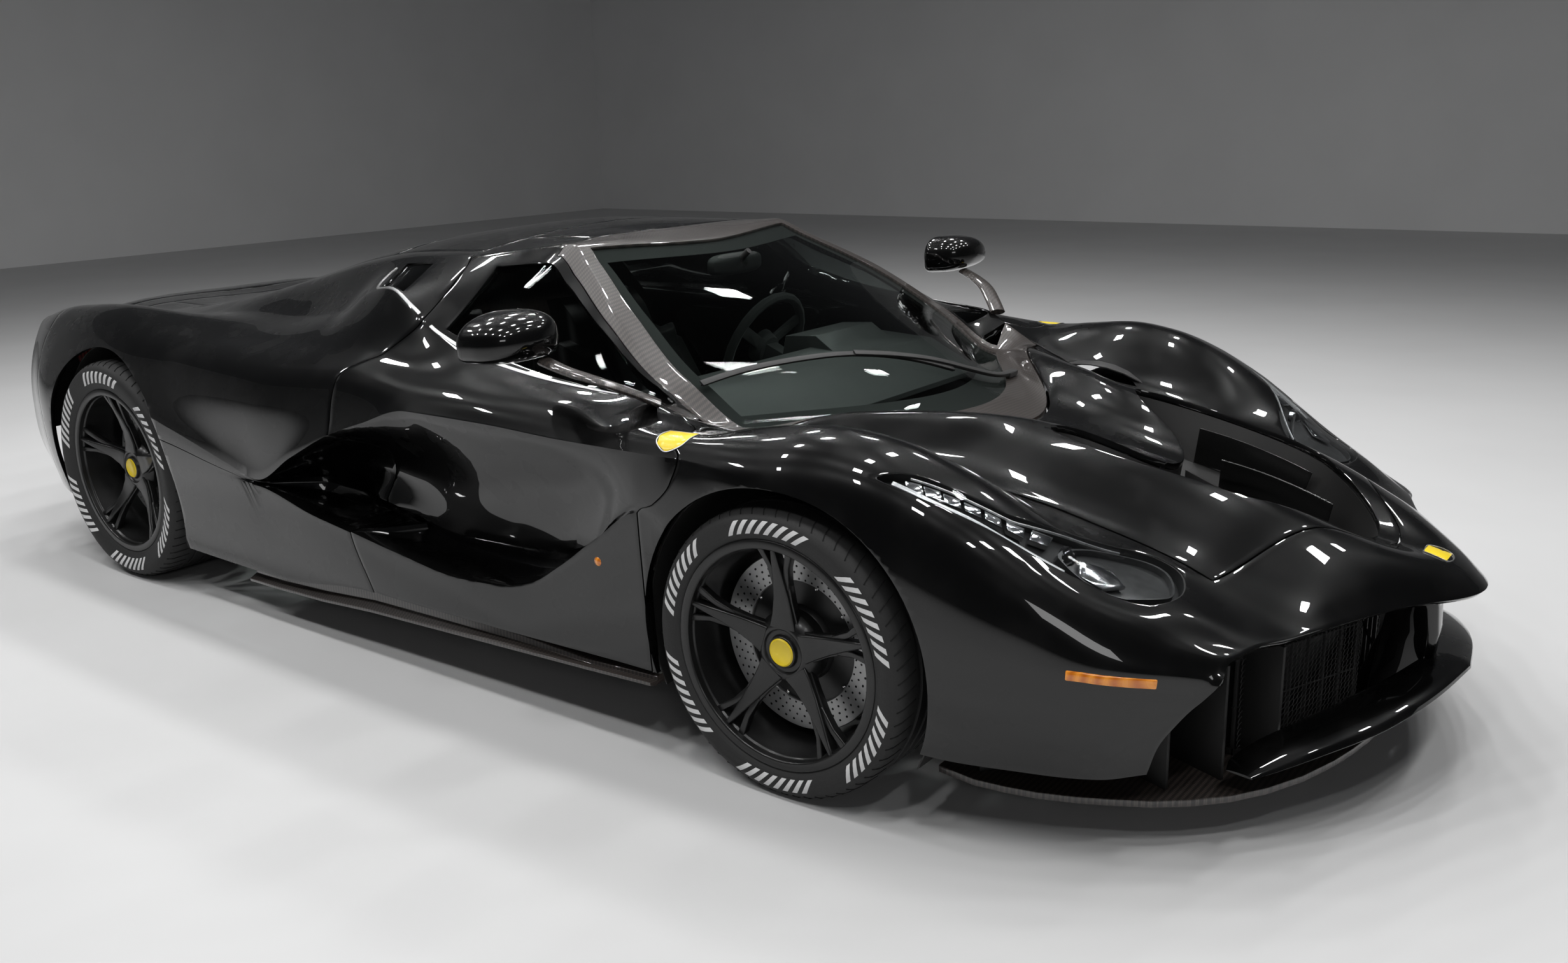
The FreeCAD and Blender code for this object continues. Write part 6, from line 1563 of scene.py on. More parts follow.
def tray_mesh(name, outline, depths, wall_share, wall_depths, side):
    """A floor with a wall round it: depths in mm under the skin, the wall's thickness as a share."""
    floor = patch_mesh(name, outline, *depths, side=side)
    return joined(name, [floor, wall_mesh(name, outline, wall_share, *wall_depths, side)])


POD_OUTLINE = rounded_outline((
    (11.38, 2.98), (11.35, 2.72), (11.38, 2.4), (11.5, 2.2), (11.66, 2.2), (11.82, 2.4), (11.92, 2.65),
    (11.86, 2.9), (11.74, 3.08), (11.56, 3.12)))
REFLECTOR = ((11.44, 2.86), (11.54, 2.70), (11.70, 2.82), (11.67, 3.05), (11.54, 3.06))
DIODES = (
    (10.75, 3.70), (10.83, 3.60), (10.915, 3.50), (11.0, 3.38), (11.08, 3.24), (11.165, 3.09), (11.245, 2.93))
GUIDE_PATH = ((10.66, 3.86), (10.9, 3.78), (11.12, 3.60), (11.33, 3.40), (11.5, 3.24))
EDGE_PATH = ((10.70, 3.60), (10.86, 3.40), (11.02, 3.18), (11.16, 2.93), (11.27, 2.6), (11.4, 2.3))
DIODE_ROW, DIODE_LINE, DIODE_SKEW = 0.033, 0.13, 0.03
LENS_PLACE, LENS_DEPTH = (11.40, 2.86), 26
LENS_PROFILE = ((0, 13), (9, 12), (17, 9), (24, 3.5), (27, -2), (30, -2), (30, -12), (0, -12))


def cell_outline(row, line):
    """A slanted four-sided cell round one place."""
    near, far = DIODE_ROW + DIODE_SKEW, DIODE_ROW - DIODE_SKEW
    corners = ((-near, -DIODE_LINE * 0.2), (far, -DIODE_LINE), (near, DIODE_LINE * 0.2), (-far, DIODE_LINE))
    return [Vector((row + r, line + l)) for r, l in corners]


for side, sign in SIDES.items():
    cells = [patch_mesh("cell", cell_outline(*spot), 9, 22, side=sign) for spot in DIODES]
    guide = ribbon_mesh("guide", GUIDE_PATH, 9, 5, 14, sign)
    edge = ribbon_mesh("edge", EDGE_PATH, 2.5, 4, 9, sign)
    lens_place = metres(skin_ring([LENS_PLACE], LENS_DEPTH, sign)[0]) * 1000
    bowl = tray_mesh("bowl", LAMP_OUTLINE, (27, 30), 0.012, (1.5, 28), sign)
    pod = tray_mesh("pod", POD_OUTLINE, (20, 23), 0.05, (7, 21), sign)
    facet = patch_mesh("reflector", REFLECTOR, 7, 14, side=sign)
    lens = lathe("lens", LENS_PROFILE, 40, lens_place, axis="x")
    cover = patch_mesh("cover", shrunk(LAMP_OUTLINE, 0.006), 0.6, 3.2, side=sign)
    for label, mesh, finish, slot, bevel in (
            ("lamp_bowl", bowl, "moulded_black", "lamp", 0.0), ("lamp_pod", pod, "lamp_body", "lamp", 0.0),
            ("diode_cells", joined("cells", cells), "bright_reflector", "lamp", 0.0008),
            ("light_guide", joined("guide", [guide, edge]), "light_guide", "lamp", 0.0006),
            ("beam_reflector", facet, "bright_reflector", "lamp", 0.0006),
            ("projector_lens", lens, "lens_glass", "lamp", 0.0),
            ("lamp_cover", cover, "lamp_cover", "glass", 0.0)):
        piece_of(f"{label}_{side}", mesh, finish, slot=slot, bevel=bevel)

# %% Side markers and repeaters
MARKER_PATH = ((11.82, 6.15), (11.95, 5.98), (12.15, 5.78), (12.33, 5.66), (12.5, 5.57))
REPEATER_PLACE = (8.7, 9.19)
REPEATER_PROFILE = ((0, 4), (6, 3.4), (10, 1.2), (11.5, -1), (13, -1), (13, -4), (0, -4))
spot = at_skin(*REPEATER_PLACE) * 1000
dome = lathe("repeater", REPEATER_PROFILE, 32, (spot.x, 0, spot.z))
dome = moved(dome, Matrix.Translation((0, spot.y / 1000, 0)))
for side, sign in SIDES.items():
    marker = ribbon_mesh("marker", MARKER_PATH, 20, -2.5, 4, sign)
    piece_of(f"side_marker_{side}", marker, "amber_lens", slot="lamp", bevel=0.0035)
    piece_of(f"repeater_{side}", on_side(dome, sign), "amber_lens", f"door_{side}", "lamp")

# %% [markdown]
# ## Trim, mirrors and grilles
# A slim satin strip frames the side windows, the mirrors stand on long arms, and the openings of
# the nose and the tail are closed with fine six-sided mesh.

# %% Window trim
DOOR_TRIM = ((8.55, 1.97), (8.0, 1.985), (7.5, 1.985), (7.1, 1.985), (6.8, 1.985), (6.64, 1.985))
QUARTER_TRIM = (
    (6.49, 1.985), (6.25, 1.985), (5.95, 1.98), (5.72, 1.93), (5.62, 1.75), (5.60, 1.5), (5.62, 1.3))
for side, sign in SIDES.items():
    for label, path, body in (("door", DOOR_TRIM, f"door_{side}"), ("quarter", QUARTER_TRIM, "chassis")):
        strip = ribbon_mesh("trim", path, 9, -1.6, 2, sign)
        piece_of(f"{label}_trim_{side}", strip, "satin_trim", body, "steel", bevel=0.0008)

# %% Mirrors
MIRROR_CENTRE, MIRROR_SIZE = (660.0, 985.0, 940.0), (150.0, 230.0, 135.0)
MIRROR_SHARES = table_curve((
    (-0.5, 0.90), (-0.47, 0.97), (-0.38, 1.0), (-0.1, 0.99), (0.12, 0.92), (0.3, 0.77), (0.42, 0.56),
    (0.48, 0.34), (0.5, 0.14)))
ARM_POINTS = ((908, 796, 788), (868, 838, 816), (812, 893, 848), (752, 930, 872), (700, 944, 892))
HOUSING_STEPS, PLATE_SHARE, PLATE_THICKNESS = 18, 0.9, 0.0015


def signed_power(value, power):
    return math.copysign(abs(value) ** power, value)


def mirror_ring(share_along, count=40):
    """One section of the housing, at a share of its length behind (negative) or ahead of its middle."""
    share = float(MIRROR_SHARES.at(share_along))
    ring = []
    for k in range(count):
        angle = 2 * math.pi * k / count
        c, s = math.cos(angle), math.sin(angle)
        wide = signed_power(c, 0.75) * MIRROR_SIZE[1] / 2 * share
        half, power = (0.56, 0.85) if s > 0 else (0.42, 0.42)
        tall = signed_power(s, power) * MIRROR_SIZE[2] * half * share * (0.88 - 0.12 * c)
        ring.append(place(MIRROR_CENTRE[0] + share_along * MIRROR_SIZE[0], MIRROR_CENTRE[1] + wide,
                          MIRROR_CENTRE[2] + tall + 10 * share_along))
    return ring


def tube_mesh(name, points, wide, tall, count=16):
    """An oval bar through points in mm."""
    fine = rounded_outline(points, 6, closed=False)
    rings = []
    for i, centre in enumerate(fine):
        ahead = (fine[min(i + 1, len(fine) - 1)] - fine[max(i - 1, 0)]).normalized()
        aside = ahead.cross(Vector((0, 0, 1))).normalized()
        up = aside.cross(ahead)
        rings.append([place(*(centre + aside * wide * math.cos(2 * math.pi * k / count)
                              + up * tall * math.sin(2 * math.pi * k / count))) for k in range(count)])
    return loft(name, rings)


shell = loft("housing", [mirror_ring(-0.5 + k / HOUSING_STEPS) for k in range(HOUSING_STEPS + 1)])
centre = place(*MIRROR_CENTRE)
plate_rings = []
for shift in (-PLATE_THICKNESS, 0.0):
    ring = [p + Vector((shift, 0, 0)) for p in mirror_ring(-0.5)]
    plate_rings.append([centre + (p - centre) * PLATE_SHARE for p in ring])
mirror_parts = (
    ("housing", shell, "gloss_black_paint", "paint"),
    ("arm", tube_mesh("arm", ARM_POINTS, 24, 10), "carbon_weave_flat", "paint"),
    ("plate", loft("plate", plate_rings), "bright_reflector", "glass"))
for side, sign in SIDES.items():
    for label, mesh, finish, slot in mirror_parts:
        piece_of(f"mirror_{label}_{side}", on_side(mesh, sign), finish, f"door_{side}", slot,
                 stands_for=[f"mirror_{side}"] if label == "housing" else ())

# %% Six-sided mesh
def lattice_tree():
    """A grid is split in triangles, its dual is a honeycomb, and every edge becomes a thin bar."""
    tree = new_tree("honeycomb mesh", {
        "Width": "Float", "Height": "Float", "Across": "Int", "Up": "Int", "Wire": "Float",
        "Finish": "Material"})
    kinds = (
        "NodeGroupInput", "GeometryNodeMeshGrid", "GeometryNodeTriangulate", "GeometryNodeDualMesh",
        "GeometryNodeMeshToCurve", "GeometryNodeCurveToMesh", "GeometryNodeCurvePrimitiveCircle",
        "GeometryNodeRealizeInstances", "GeometryNodeSetMaterial", "NodeGroupOutput")
    made = [tree.nodes.new(kind) for kind in kinds]
    given, grid, split, cells, curves, bars, wire, plain, dressed, out = made
    wire.inputs["Resolution"].default_value = 4
    source = given.outputs
    for a, b in (
            (source["Width"], grid.inputs["Size X"]), (source["Height"], grid.inputs["Size Y"]),
            (source["Across"], grid.inputs["Vertices X"]), (source["Up"], grid.inputs["Vertices Y"]),
            (grid.outputs["Mesh"], split.inputs[0]), (split.outputs[0], cells.inputs[0]),
            (cells.outputs[0], curves.inputs[0]), (curves.outputs[0], bars.inputs["Curve"]),
            (source["Wire"], wire.inputs["Radius"]), (wire.outputs[0], bars.inputs["Profile Curve"]),
            (bars.outputs[0], plain.inputs[0]), (plain.outputs[0], dressed.inputs[0]),
            (source["Finish"], dressed.inputs["Material"]), (dressed.outputs[0], out.inputs[0])):
        tree.links.new(a, b)
    return tree


honeycomb = lattice_tree()


MESH_CELL, MESH_WIRE = 0.0125, 0.0011
UP = Vector((0, 0, 1))


def mesh_screen(name, width, height, middle, along):
    """An upright flat screen round its middle, with its width along the given direction."""
    flat = grown(name, honeycomb, {
        "Width": width, "Height": height, "Across": int(width / MESH_CELL) + 1,
        "Up": int(height / MESH_CELL) + 1, "Wire": MESH_WIRE, "Finish": finishes["moulded_black"]})
    x, z = along.normalized(), along.normalized().cross(UP)
    rows = [(x[k], UP[k], z[k], middle[k]) for k in range(3)]
    return moved(flat, Matrix(rows + [(0, 0, 0, 1)]))


def square_bar(name, ends, behind, ahead, half):
    """A level bar between two places in metres, half its height above and below them."""
    corners = ((behind, -half), (ahead, -half), (ahead, half), (behind, half))
    return loft(name, [[end + Vector((x, 0, z)) for x, z in corners] for end in ends])


GRILLE = {"face": 2300.0, "sweep": 0.42, "inner": 75.0, "outer": 425.0, "low": 105.0, "high": 415.0}


def grille_place(y, z):
    return place(GRILLE["face"] - GRILLE["sweep"] * y + 4, y, z)


corners = [grille_place(GRILLE[edge], GRILLE["low"]) for edge in ("inner", "outer")]
across_run = corners[1] - corners[0]
height = (GRILLE["high"] - GRILLE["low"]) / 1000
middle = (corners[0] + corners[1]) / 2 + Vector((0, 0, height / 2))
nose_parts = [mesh_screen("nose_screen", across_run.length, height, middle, across_run)]
for z in (GRILLE["low"] + 7, GRILLE["high"] - 7):
    ends = [grille_place(GRILLE[edge], z) for edge in ("inner", "outer")]
    nose_parts.append(square_bar("rail", ends, -0.007, 0.004, 0.007))
piece_of("nose_mesh", on_both_sides("nose_mesh", joined("nose_mesh", nose_parts)), "moulded_black")

# %% Walls, floor and vanes of the duct under the lid
DUCT_FLOOR, VANE_TOP, VANE_LINES = (138, 142), 40, (0.45, 0.85)
piece_of("outlet_duct", tray_mesh("duct", OUTLET, DUCT_FLOOR, -0.03, (17, 142), 1), "moulded_black")
vane_meshes = []
for line in VANE_LINES:
    path = ((10.72, line), (10.95, line + 0.02), (11.2, line + 0.02), (11.45, line))
    vane_meshes += [ribbon_mesh("vane", path, 4, VANE_TOP, DUCT_FLOOR[0], sign) for sign in (1, -1)]
piece_of("duct_vanes", joined("vanes", vane_meshes), "satin_black_paint", bevel=0.001)

# %% [markdown]
# ## Lamps of the tail
# One round lamp a side sits in its dished ring: a red lens with turned ribs round a clear middle.

# %% Tail lamps
TAIL_LAMP = {"y": 640.0, "z": 640.0, "face": 2105.0 - 0.11 * 640.0, "proud": 6.0}
RIBS, RIB_STEP, FIRST_RIB = 9, 4.4, 24.0
LENS_RIBS = [(0, 0), (22, 0)]
for k in range(RIBS):
    radius = FIRST_RIB + k * RIB_STEP
    LENS_RIBS += [(radius, 1.5), (radius + 2.2, -1.2)]
LENS_RIBS += [(65, 3), (65, 24), (0, 24)]
COLLAR = ((65.5, -6), (72, -5), (74, 0), (74, 18), (67, 18), (65.5, 12))
for side, sign in SIDES.items():
    where = place(-TAIL_LAMP["face"], sign * TAIL_LAMP["y"], TAIL_LAMP["z"]) * 1000
    where = where - Vector((TAIL_LAMP["proud"], 0, 0))
    piece_of(f"tail_lamp_{side}", lathe("tail", LENS_RIBS, 64, where, axis="x"), "red_lens", slot="lamp",
             stands_for=["lamps"] if sign > 0 else ())
    piece_of(f"tail_collar_{side}", lathe("collar", COLLAR, 64, where, True, "x"), "satin_trim", slot="lamp")

# %% [markdown]
# ## Skirts, nose wing and splitter
# Bare carbon skirts run along the sills. At the nose a gloss black blade with pointed ends floats
# above the bare carbon splitter, and a slim pillar comes down from the tip of the nose to carry it.

# %% Carbon skirts along the sills
SKIRT = (
    (-640, 106, 158), (-490, 108, 158), (-280, 114, 172), (-60, 128, 192), (220, 138, 193), (500, 148, 190),
    (760, 157, 179), (975, 166, 188))
SKIRT_OUTER, SKIRT_INNER, SKIRT_STEP = 946.0, 700.0, 22.0


def skirt_ring(x, low, high, sign):
    middle, outer, upper = (low + high) / 2, SKIRT_OUTER, SKIRT_OUTER - SKIRT_STEP
    corners = ((SKIRT_INNER, low), (outer - 14, low), (outer, low + 5), (outer + 2, low + 14),
               (upper, middle), (upper - 2, high - 3), (upper - 8, high), (SKIRT_INNER, high))
    return [place(x, sign * y, z) for y, z in corners]


skirts = [loft("skirt", [skirt_ring(*station, sign) for station in SKIRT]) for sign in (1, -1)]
piece_of("side_skirts", joined("skirts", skirts), "carbon_weave_flat", slot="paint", bevel=0.0012,
         stands_for=["side_sills"])

# %% Nose wing, splitter and pillar
WING_TABLE = (
    (0, 2478, 232, 90, 16), (150, 2455, 224, 105, 20), (330, 2400, 205, 120, 22), (480, 2310, 180, 110, 18),
    (560, 2243, 158, 82, 11), (590, 2215, 150, 52, 5))
WING_HALF, WING_STEPS, WING_PITCH = 590, 30, 0.10
WING_CURVES = [table_curve([(row[0], row[k]) for row in WING_TABLE]) for k in range(1, 5)]
AIRFOIL = (
    (0, 0.0), (0.02, 0.32), (0.10, 0.55), (0.30, 0.72), (0.60, 0.66), (0.88, 0.36), (1.0, 0.06), (1.0, -0.06),
    (0.85, -0.16), (0.6, -0.26), (0.3, -0.3), (0.1, -0.26), (0.02, -0.16))
SPLITTER_HALF = (
    (2340, 0), (2337, 90), (2330, 180), (2317, 255), (2300, 330), (2268, 430), (2225, 520), (2178, 590),
    (2120, 650), (2060, 697), (1990, 735), (1928, 765), (1860, 790), (1796, 804), (1730, 812), (1640, 800),
    (1640, 640), (1770, 596), (1900, 560), (1990, 400))
SPLITTER_LOW, SPLITTER_TOP = 89, 105
PILLAR_TABLE = (
    (97, 2330, 2250, 42), (180, 2375, 2262, 36), (240, 2405, 2280, 30), (300, 2412, 2300, 33),
    (360, 2408, 2310, 42), (392, 2400, 2300, 52))


def blade_ring(y):
    lead, height, chord, thick = (float(curve.at(abs(y))) for curve in WING_CURVES)
    return [place(lead - share * chord, y, height + thick * lift + WING_PITCH * chord * share)
            for share, lift in AIRFOIL]


def splitter_mesh():
    """A flat plate of the splitter's plan, its top and bottom cut in triangles."""
    plan = SPLITTER_HALF + tuple((x, -y) for x, y in reversed(SPLITTER_HALF[1:]))
    count = len(plan)
    plate = bmesh.new()
    for z in (SPLITTER_LOW, SPLITTER_TOP):
        plate.faces.new([plate.verts.new(place(x, y, z)) for x, y in plan])
    plate.verts.ensure_lookup_table()
    for k in range(count):
        after = (k + 1) % count
        plate.faces.new([plate.verts[i] for i in (k, after, count + after, count + k)])
    bmesh.ops.triangulate(plate, faces=[face for face in plate.faces if len(face.verts) > 4])
    bmesh.ops.recalc_face_normals(plate, faces=plate.faces)
    return mesh_of_bmesh("splitter", plate)


def pillar_ring(z, front, back, half):
    plan = ((front, -half * 0.55), (front, half * 0.55), (front - 16, half), (back, half), (back, -half),
            (front - 16, -half))
    return [place(x, y, z) for x, y in plan]


wing_angles = [math.pi / 2 * k / WING_STEPS for k in range(-WING_STEPS, WING_STEPS + 1)]
wing_rings = [blade_ring(WING_HALF * math.sin(angle)) for angle in wing_angles]
piece_of("nose_wing", loft("blade", wing_rings), PAINT, slot="paint")
piece_of("splitter", splitter_mesh(), WEAVE, slot="carbon", bevel=0.003, stands_for=["front_aero"])
piece_of("nose_pillar", loft("pillar", [pillar_ring(*row) for row in PILLAR_TABLE]), PAINT, slot="paint",
         bevel=0.004)

# %% [markdown]
# ## On and behind the windscreen
# One wiper rests at the foot of the glass. A black border is fired on the inside of the glass, and
# a small mirror hangs from the header.

# %% Wiper
WIPER_ARM = ((9.06, 0.52), (8.92, 0.36), (8.75, 0.19), (8.60, 0.03), (8.50, -0.12), (8.44, -0.26))
WIPER_BLADE = ((8.70, 0.10), (8.52, -0.08), (8.43, -0.27), (8.42, -0.48), (8.46, -0.70), (8.54, -0.90))
WIPER_BOSS = ((9.09, 0.56), (9.05, 0.51), (9.0, 0.45))
WIPER_BARS = (
    (WIPER_ARM, 19, -18, -9), (WIPER_BLADE, 17, -12, -6), (WIPER_BLADE, 4, -6, -1.0),
    (WIPER_BOSS, 24, -17, -3))
wiper = joined("wiper", [ribbon_mesh("wiper_bar", *bar) for bar in WIPER_BARS])
piece_of("wiper_blade", wiper, "moulded_black", bevel=0.0012, stands_for=["wiper"])

# %% Black border fired on the glass, and the inside mirror
BORDER_LINES = both_ways((0.0, 0.3, 0.6, 0.8, 0.86, 0.92))
BORDER_STEPS = [0, 0.075, 0.3, 0.5, 0.7, 0.89, 1.0]
BORDER_TOP, BORDER_THICKNESS, BORDER_GAP = GLASS_DEPTH + GLASS + 0.4, 1.2, 1.5
HEAD_SECTIONS = ((0.0, 1.0), (0.25, 1.0), (0.6, 0.96), (0.85, 0.82), (1.0, 0.5))
STALK = ((510, 0, 1012), (530, 0, 1030), (545, 0, 1042))


def head_ring(share, size):
    """One section of the inside mirror's head, a rounded box round the x axis."""
    ring = []
    for k in range(32):
        angle = 2 * math.pi * k / 32
        ring.append(place(484 + 34 * share, 112 * size * signed_power(math.cos(angle), 0.5),
                          1004 + 30 * size * signed_power(math.sin(angle), 0.6)))
    return ring


border_grid = net(BORDER_LINES, fixed(SCREEN_TOP), fixed(SCREEN_LOW), BORDER_STEPS)
border = panel(border_grid, depth=BORDER_THICKNESS, top=BORDER_TOP, gaps=(BORDER_GAP,) * 4,
               hole=(1, 5, 1, len(BORDER_LINES) - 2))
body_panel("screen_border", border, "dark_lining", slot="black_plastic", bevel=0)
inside_parts = [loft("head", [head_ring(*row) for row in HEAD_SECTIONS]), tube_mesh("stalk", STALK, 9, 9)]
piece_of("inside_mirror", joined("inside", inside_parts), "moulded_black")

# %% [markdown]
# ## Badges
# The badges stay bare: a yellow shield on each wing and a small plate on the nose, each with a
# thin rim.

# %% Plain badges
SHIELD = (
    (9.20, 3.50), (9.29, 3.42), (9.385, 3.46), (9.40, 3.9), (9.375, 4.35), (9.30, 4.72), (9.225, 4.35),
    (9.20, 3.9))
NOSE_PLATE = ((12.15, -0.10), (12.46, -0.11), (12.46, 0.11), (12.15, 0.10))
badges, rims = [], []
for outline, proud, signs in ((SHIELD, -1.8, (1, -1)), (NOSE_PLATE, -1.6, (1,))):
    for sign in signs:
        badges.append(patch_mesh("badge", outline, proud, 1.0, side=sign))
        rims.append(ribbon_mesh("rim", outline + outline[:1], 2.4, -2.2, 0.5, sign))
piece_of("bare_badges", joined("badges", badges), "yellow_enamel", slot="paint", bevel=0.0006)
piece_of("badge_rims", joined("rims", rims), "satin_trim", slot="steel", bevel=0.0004)

# %% [markdown]
# ## Padded seats
# Each seat is a shell from the CAD with separate pads: cushion, back and head, each blown up a
# little by a cloth simulation so that its sides pull in between the corners.

# %% Seat pads
SEAT_X, SEAT_LOW, SEAT_Y = -170.0, 135.0, 330.0
CUSHION_RISE, RECLINE = math.radians(5), math.atan2(510, -260)
# length and thickness in mm, angle in radians, middle (x, z) and width in mm
PADS = {
    "cushion": (330, 62, CUSHION_RISE, (SEAT_X + 235, SEAT_LOW + 190), 400),
    "back": (400, 60, RECLINE, (SEAT_X + 20, SEAT_LOW + 420), 380),
    "head": (130, 52, RECLINE, (SEAT_X - 185, SEAT_LOW + 655), 250)}
PULL_IN, RIM_SHARE = 0.05, 0.72
VOXEL, PRESSURE, CLOTH_FRAMES, PUFF_CAP = 0.009, 4.0, 20, 0.024


def pad_mesh(name, length, thick, angle, middle, width, y):
    """A block with pulled-in sides, cut in a grid so that it can be blown up."""
    bm = bmesh.new()
    bmesh.ops.create_cube(bm, size=1.0)
    bmesh.ops.subdivide_edges(bm, edges=bm.edges, cuts=7, use_grid_fill=True)
    run, lift = math.cos(angle), math.sin(angle)
    for vert in bm.verts:
        u, v, w = vert.co * 2
        along = u * length / 2 * (1 - PULL_IN * (1 - v * v) * u * u)
        across = v * width / 2 * (1 - PULL_IN * (1 - u * u) * v * v)
        up = w * thick / 2 * (RIM_SHARE + (1 - RIM_SHARE) * (1 - u * u) * (1 - v * v))
        vert.co = place(middle[0] + along * run - up * lift, y + across, middle[1] + along * lift + up * run)
    return mesh_of_bmesh(name, bm)


def cloth_places(obj):
    """Where the vertices are after the cloth has been under pressure for its frames."""
    cloth = obj.modifiers.new("cloth", "CLOTH")
    cloth.settings.use_pressure = True
    cloth.settings.uniform_pressure_force = PRESSURE
    cloth.settings.effector_weights.gravity = 0.0
    cloth.point_cache.frame_start, cloth.point_cache.frame_end = 1, CLOTH_FRAMES
    for frame_number in range(1, CLOTH_FRAMES + 1):
        bpy.context.scene.frame_set(frame_number)
    blown = obj.evaluated_get(bpy.context.evaluated_depsgraph_get())
    places = [v.co.copy() for v in blown.to_mesh().vertices]
    blown.to_mesh_clear()
    obj.modifiers.clear()
    bpy.context.scene.frame_set(1)
    return places


def blown_up(mesh):
    """The pad after its cloth simulation; no vertex moves more than the cap."""
    obj = in_scene("pad_sim", mesh)
    remesh = obj.modifiers.new("even", "REMESH")
    remesh.mode, remesh.voxel_size = "VOXEL", VOXEL
    apply_modifiers(obj)
    for vert, new in zip(obj.data.vertices, cloth_places(obj)):
        step = new - vert.co
        vert.co = vert.co + step * min(1.0, PUFF_CAP / max(step.length, 1e-9))
    smooth = obj.modifiers.new("smooth", "SMOOTH")
    smooth.iterations, smooth.factor = 4, 0.5
    mesh = apply_modifiers(obj).data
    bpy.data.objects.remove(obj)
    return mesh


for side, sign in SIDES.items():
    for label, sizes in PADS.items():
        pad = blown_up(pad_mesh(label, *sizes, sign * SEAT_Y))
        piece_of(f"seat_{label}_{side}", pad, "black_leather", slot="leather")

# %% [markdown]
# ## Tail mesh and number plate
# The opening of the tail is closed with the same fine mesh in a square frame, and a blank plate
# sits in its holder below.

# %% Tail mesh and blank plate
TAIL_X, TAIL_HALF, TAIL_LOW, TAIL_HIGH = (-2120, -2106), 516, 606, 730
TAIL_SCREEN = mesh_screen("tail_screen", 1.02, 0.118, place(-2112, 0, 668), Vector((0, 1, 0)))
PLATE_Z, PLATE_CORNER_STEPS = 512, 6


def tail_bar(name, ends, drop, across):
    """A bar between two (y, z) places; drop and across give which way its 8 mm thickness runs."""
    (back, front), half = TAIL_X, 4
    corners = ((back, -half), (front, -half), (front, half), (back, half))
    return loft(name, [[place(x, y + d * across, z + d * drop) for x, d in corners] for y, z in ends])


def rounded_plate(name, width, height, radius, x_back, x_front):
    corners = []
    for cy, cz, start in ((1, 1, 0), (-1, 1, 90), (-1, -1, 180), (1, -1, 270)):
        for k in range(PLATE_CORNER_STEPS):
            angle = math.radians(start + 18 * k)
            corners.append((cy * (width / 2 - radius) + radius * math.cos(angle),
                            cz * (height / 2 - radius) + radius * math.sin(angle)))
    return loft(name, [[place(x, y, PLATE_Z + z) for y, z in corners] for x in (x_back, x_front)])


rails = [tail_bar("rail", ((-TAIL_HALF, z), (TAIL_HALF, z)), 1, 0) for z in (TAIL_LOW, TAIL_HIGH)]
posts = [tail_bar("post", ((y, TAIL_LOW), (y, TAIL_HIGH)), 0, 1) for y in (-TAIL_HALF, TAIL_HALF)]
piece_of("tail_mesh", joined("tail_mesh", [TAIL_SCREEN] + rails + posts), "moulded_black")
holder = rounded_plate("holder", 324, 172, 14, -2122, -2104)
blank = rounded_plate("plate", 304, 152, 10, -2125, -2121)
piece_of("plate_holder", holder, "satin_black_paint", bevel=0.002)
piece_of("blank_plate", blank, "satin_trim", slot="steel", bevel=0.0008)
PLATE_SCREW = ((0, 0), (4, 0), (5, 1.2), (5, 3), (0, 3))
screw_places = [place(-2127, y, PLATE_Z + 50) * 1000 for y in (-110, 110)]
screws = [lathe("screw", PLATE_SCREW, 20, where, axis="x") for where in screw_places]
piece_of("plate_screws", joined("screws", screws), "burnished_steel", slot="steel")

# %% [markdown]
# ## Solids kept from the CAD
# Where the CAD form is right, a merged copy of it gets rounded edges and a finish.

# %% Copies with rounded edges
COPY_EDGE, COPY_ANGLE, FLAT_ANGLE = 0.0015, 32, math.radians(1.0)
COPIES = {
    "tub": ("carbon_weave_flat", "carbon"), "underbody": ("moulded_black", "black_plastic"),
    "front_grilles": ("moulded_black", "black_plastic"), "rear_fascia": ("moulded_black", "black_plastic"),
    "diffuser": ("carbon_weave_flat", "carbon"), "exhausts": ("burnished_steel", "steel"),
    "seats": ("black_leather", "leather"), "dashboard": ("black_leather", "leather"),
    "steering_wheel": ("dark_suede", "leather"), "engine": ("cast_alloy", "engine_metal"),
    "front_suspension": ("cast_alloy", "engine_metal"), "rear_suspension": ("cast_alloy", "engine_metal"),
    "rear_wing": ("gloss_black_paint", "paint"), "knuckle_left": ("cast_alloy", "engine_metal"),
    "knuckle_right": ("cast_alloy", "engine_metal")}


def body_of_node(name):
    bodies = frame["record"]["behaviour"]["bodies"]
    return next(body for body, members in bodies.items() if name in members)


def cleaned_copy(node):
    """The node's own mesh, with doubled corners merged and flat edges dissolved."""
    mesh = nodes[node].data.copy()
    mesh.materials.clear()
    bm = bmesh.new()
    bm.from_mesh(mesh)
    bmesh.ops.remove_doubles(bm, verts=bm.verts, dist=1e-5)
    bmesh.ops.dissolve_limit(bm, angle_limit=FLAT_ANGLE, verts=bm.verts, edges=bm.edges)
    bm.to_mesh(mesh)
    bm.free()
    return mesh


for node, (finish, slot) in COPIES.items():
    obj = new_object(f"{node}_finished", cleaned_copy(node), finishes[finish], body_of_node(node), slot)
    finished(obj, COPY_EDGE, COPY_ANGLE, [node])

# %% [markdown]
# ## Stage, light and camera
# A pale floor, two pale walls far behind, rows of small bright lamps overhead and the camera where
# the photographer stood: its place came from fitting the wheels and shut lines to the picture.

# %% Floor and walls
FLOOR, WALL_TOP, STAGE_ROUGHNESS = 13.0, 5.0, 0.9


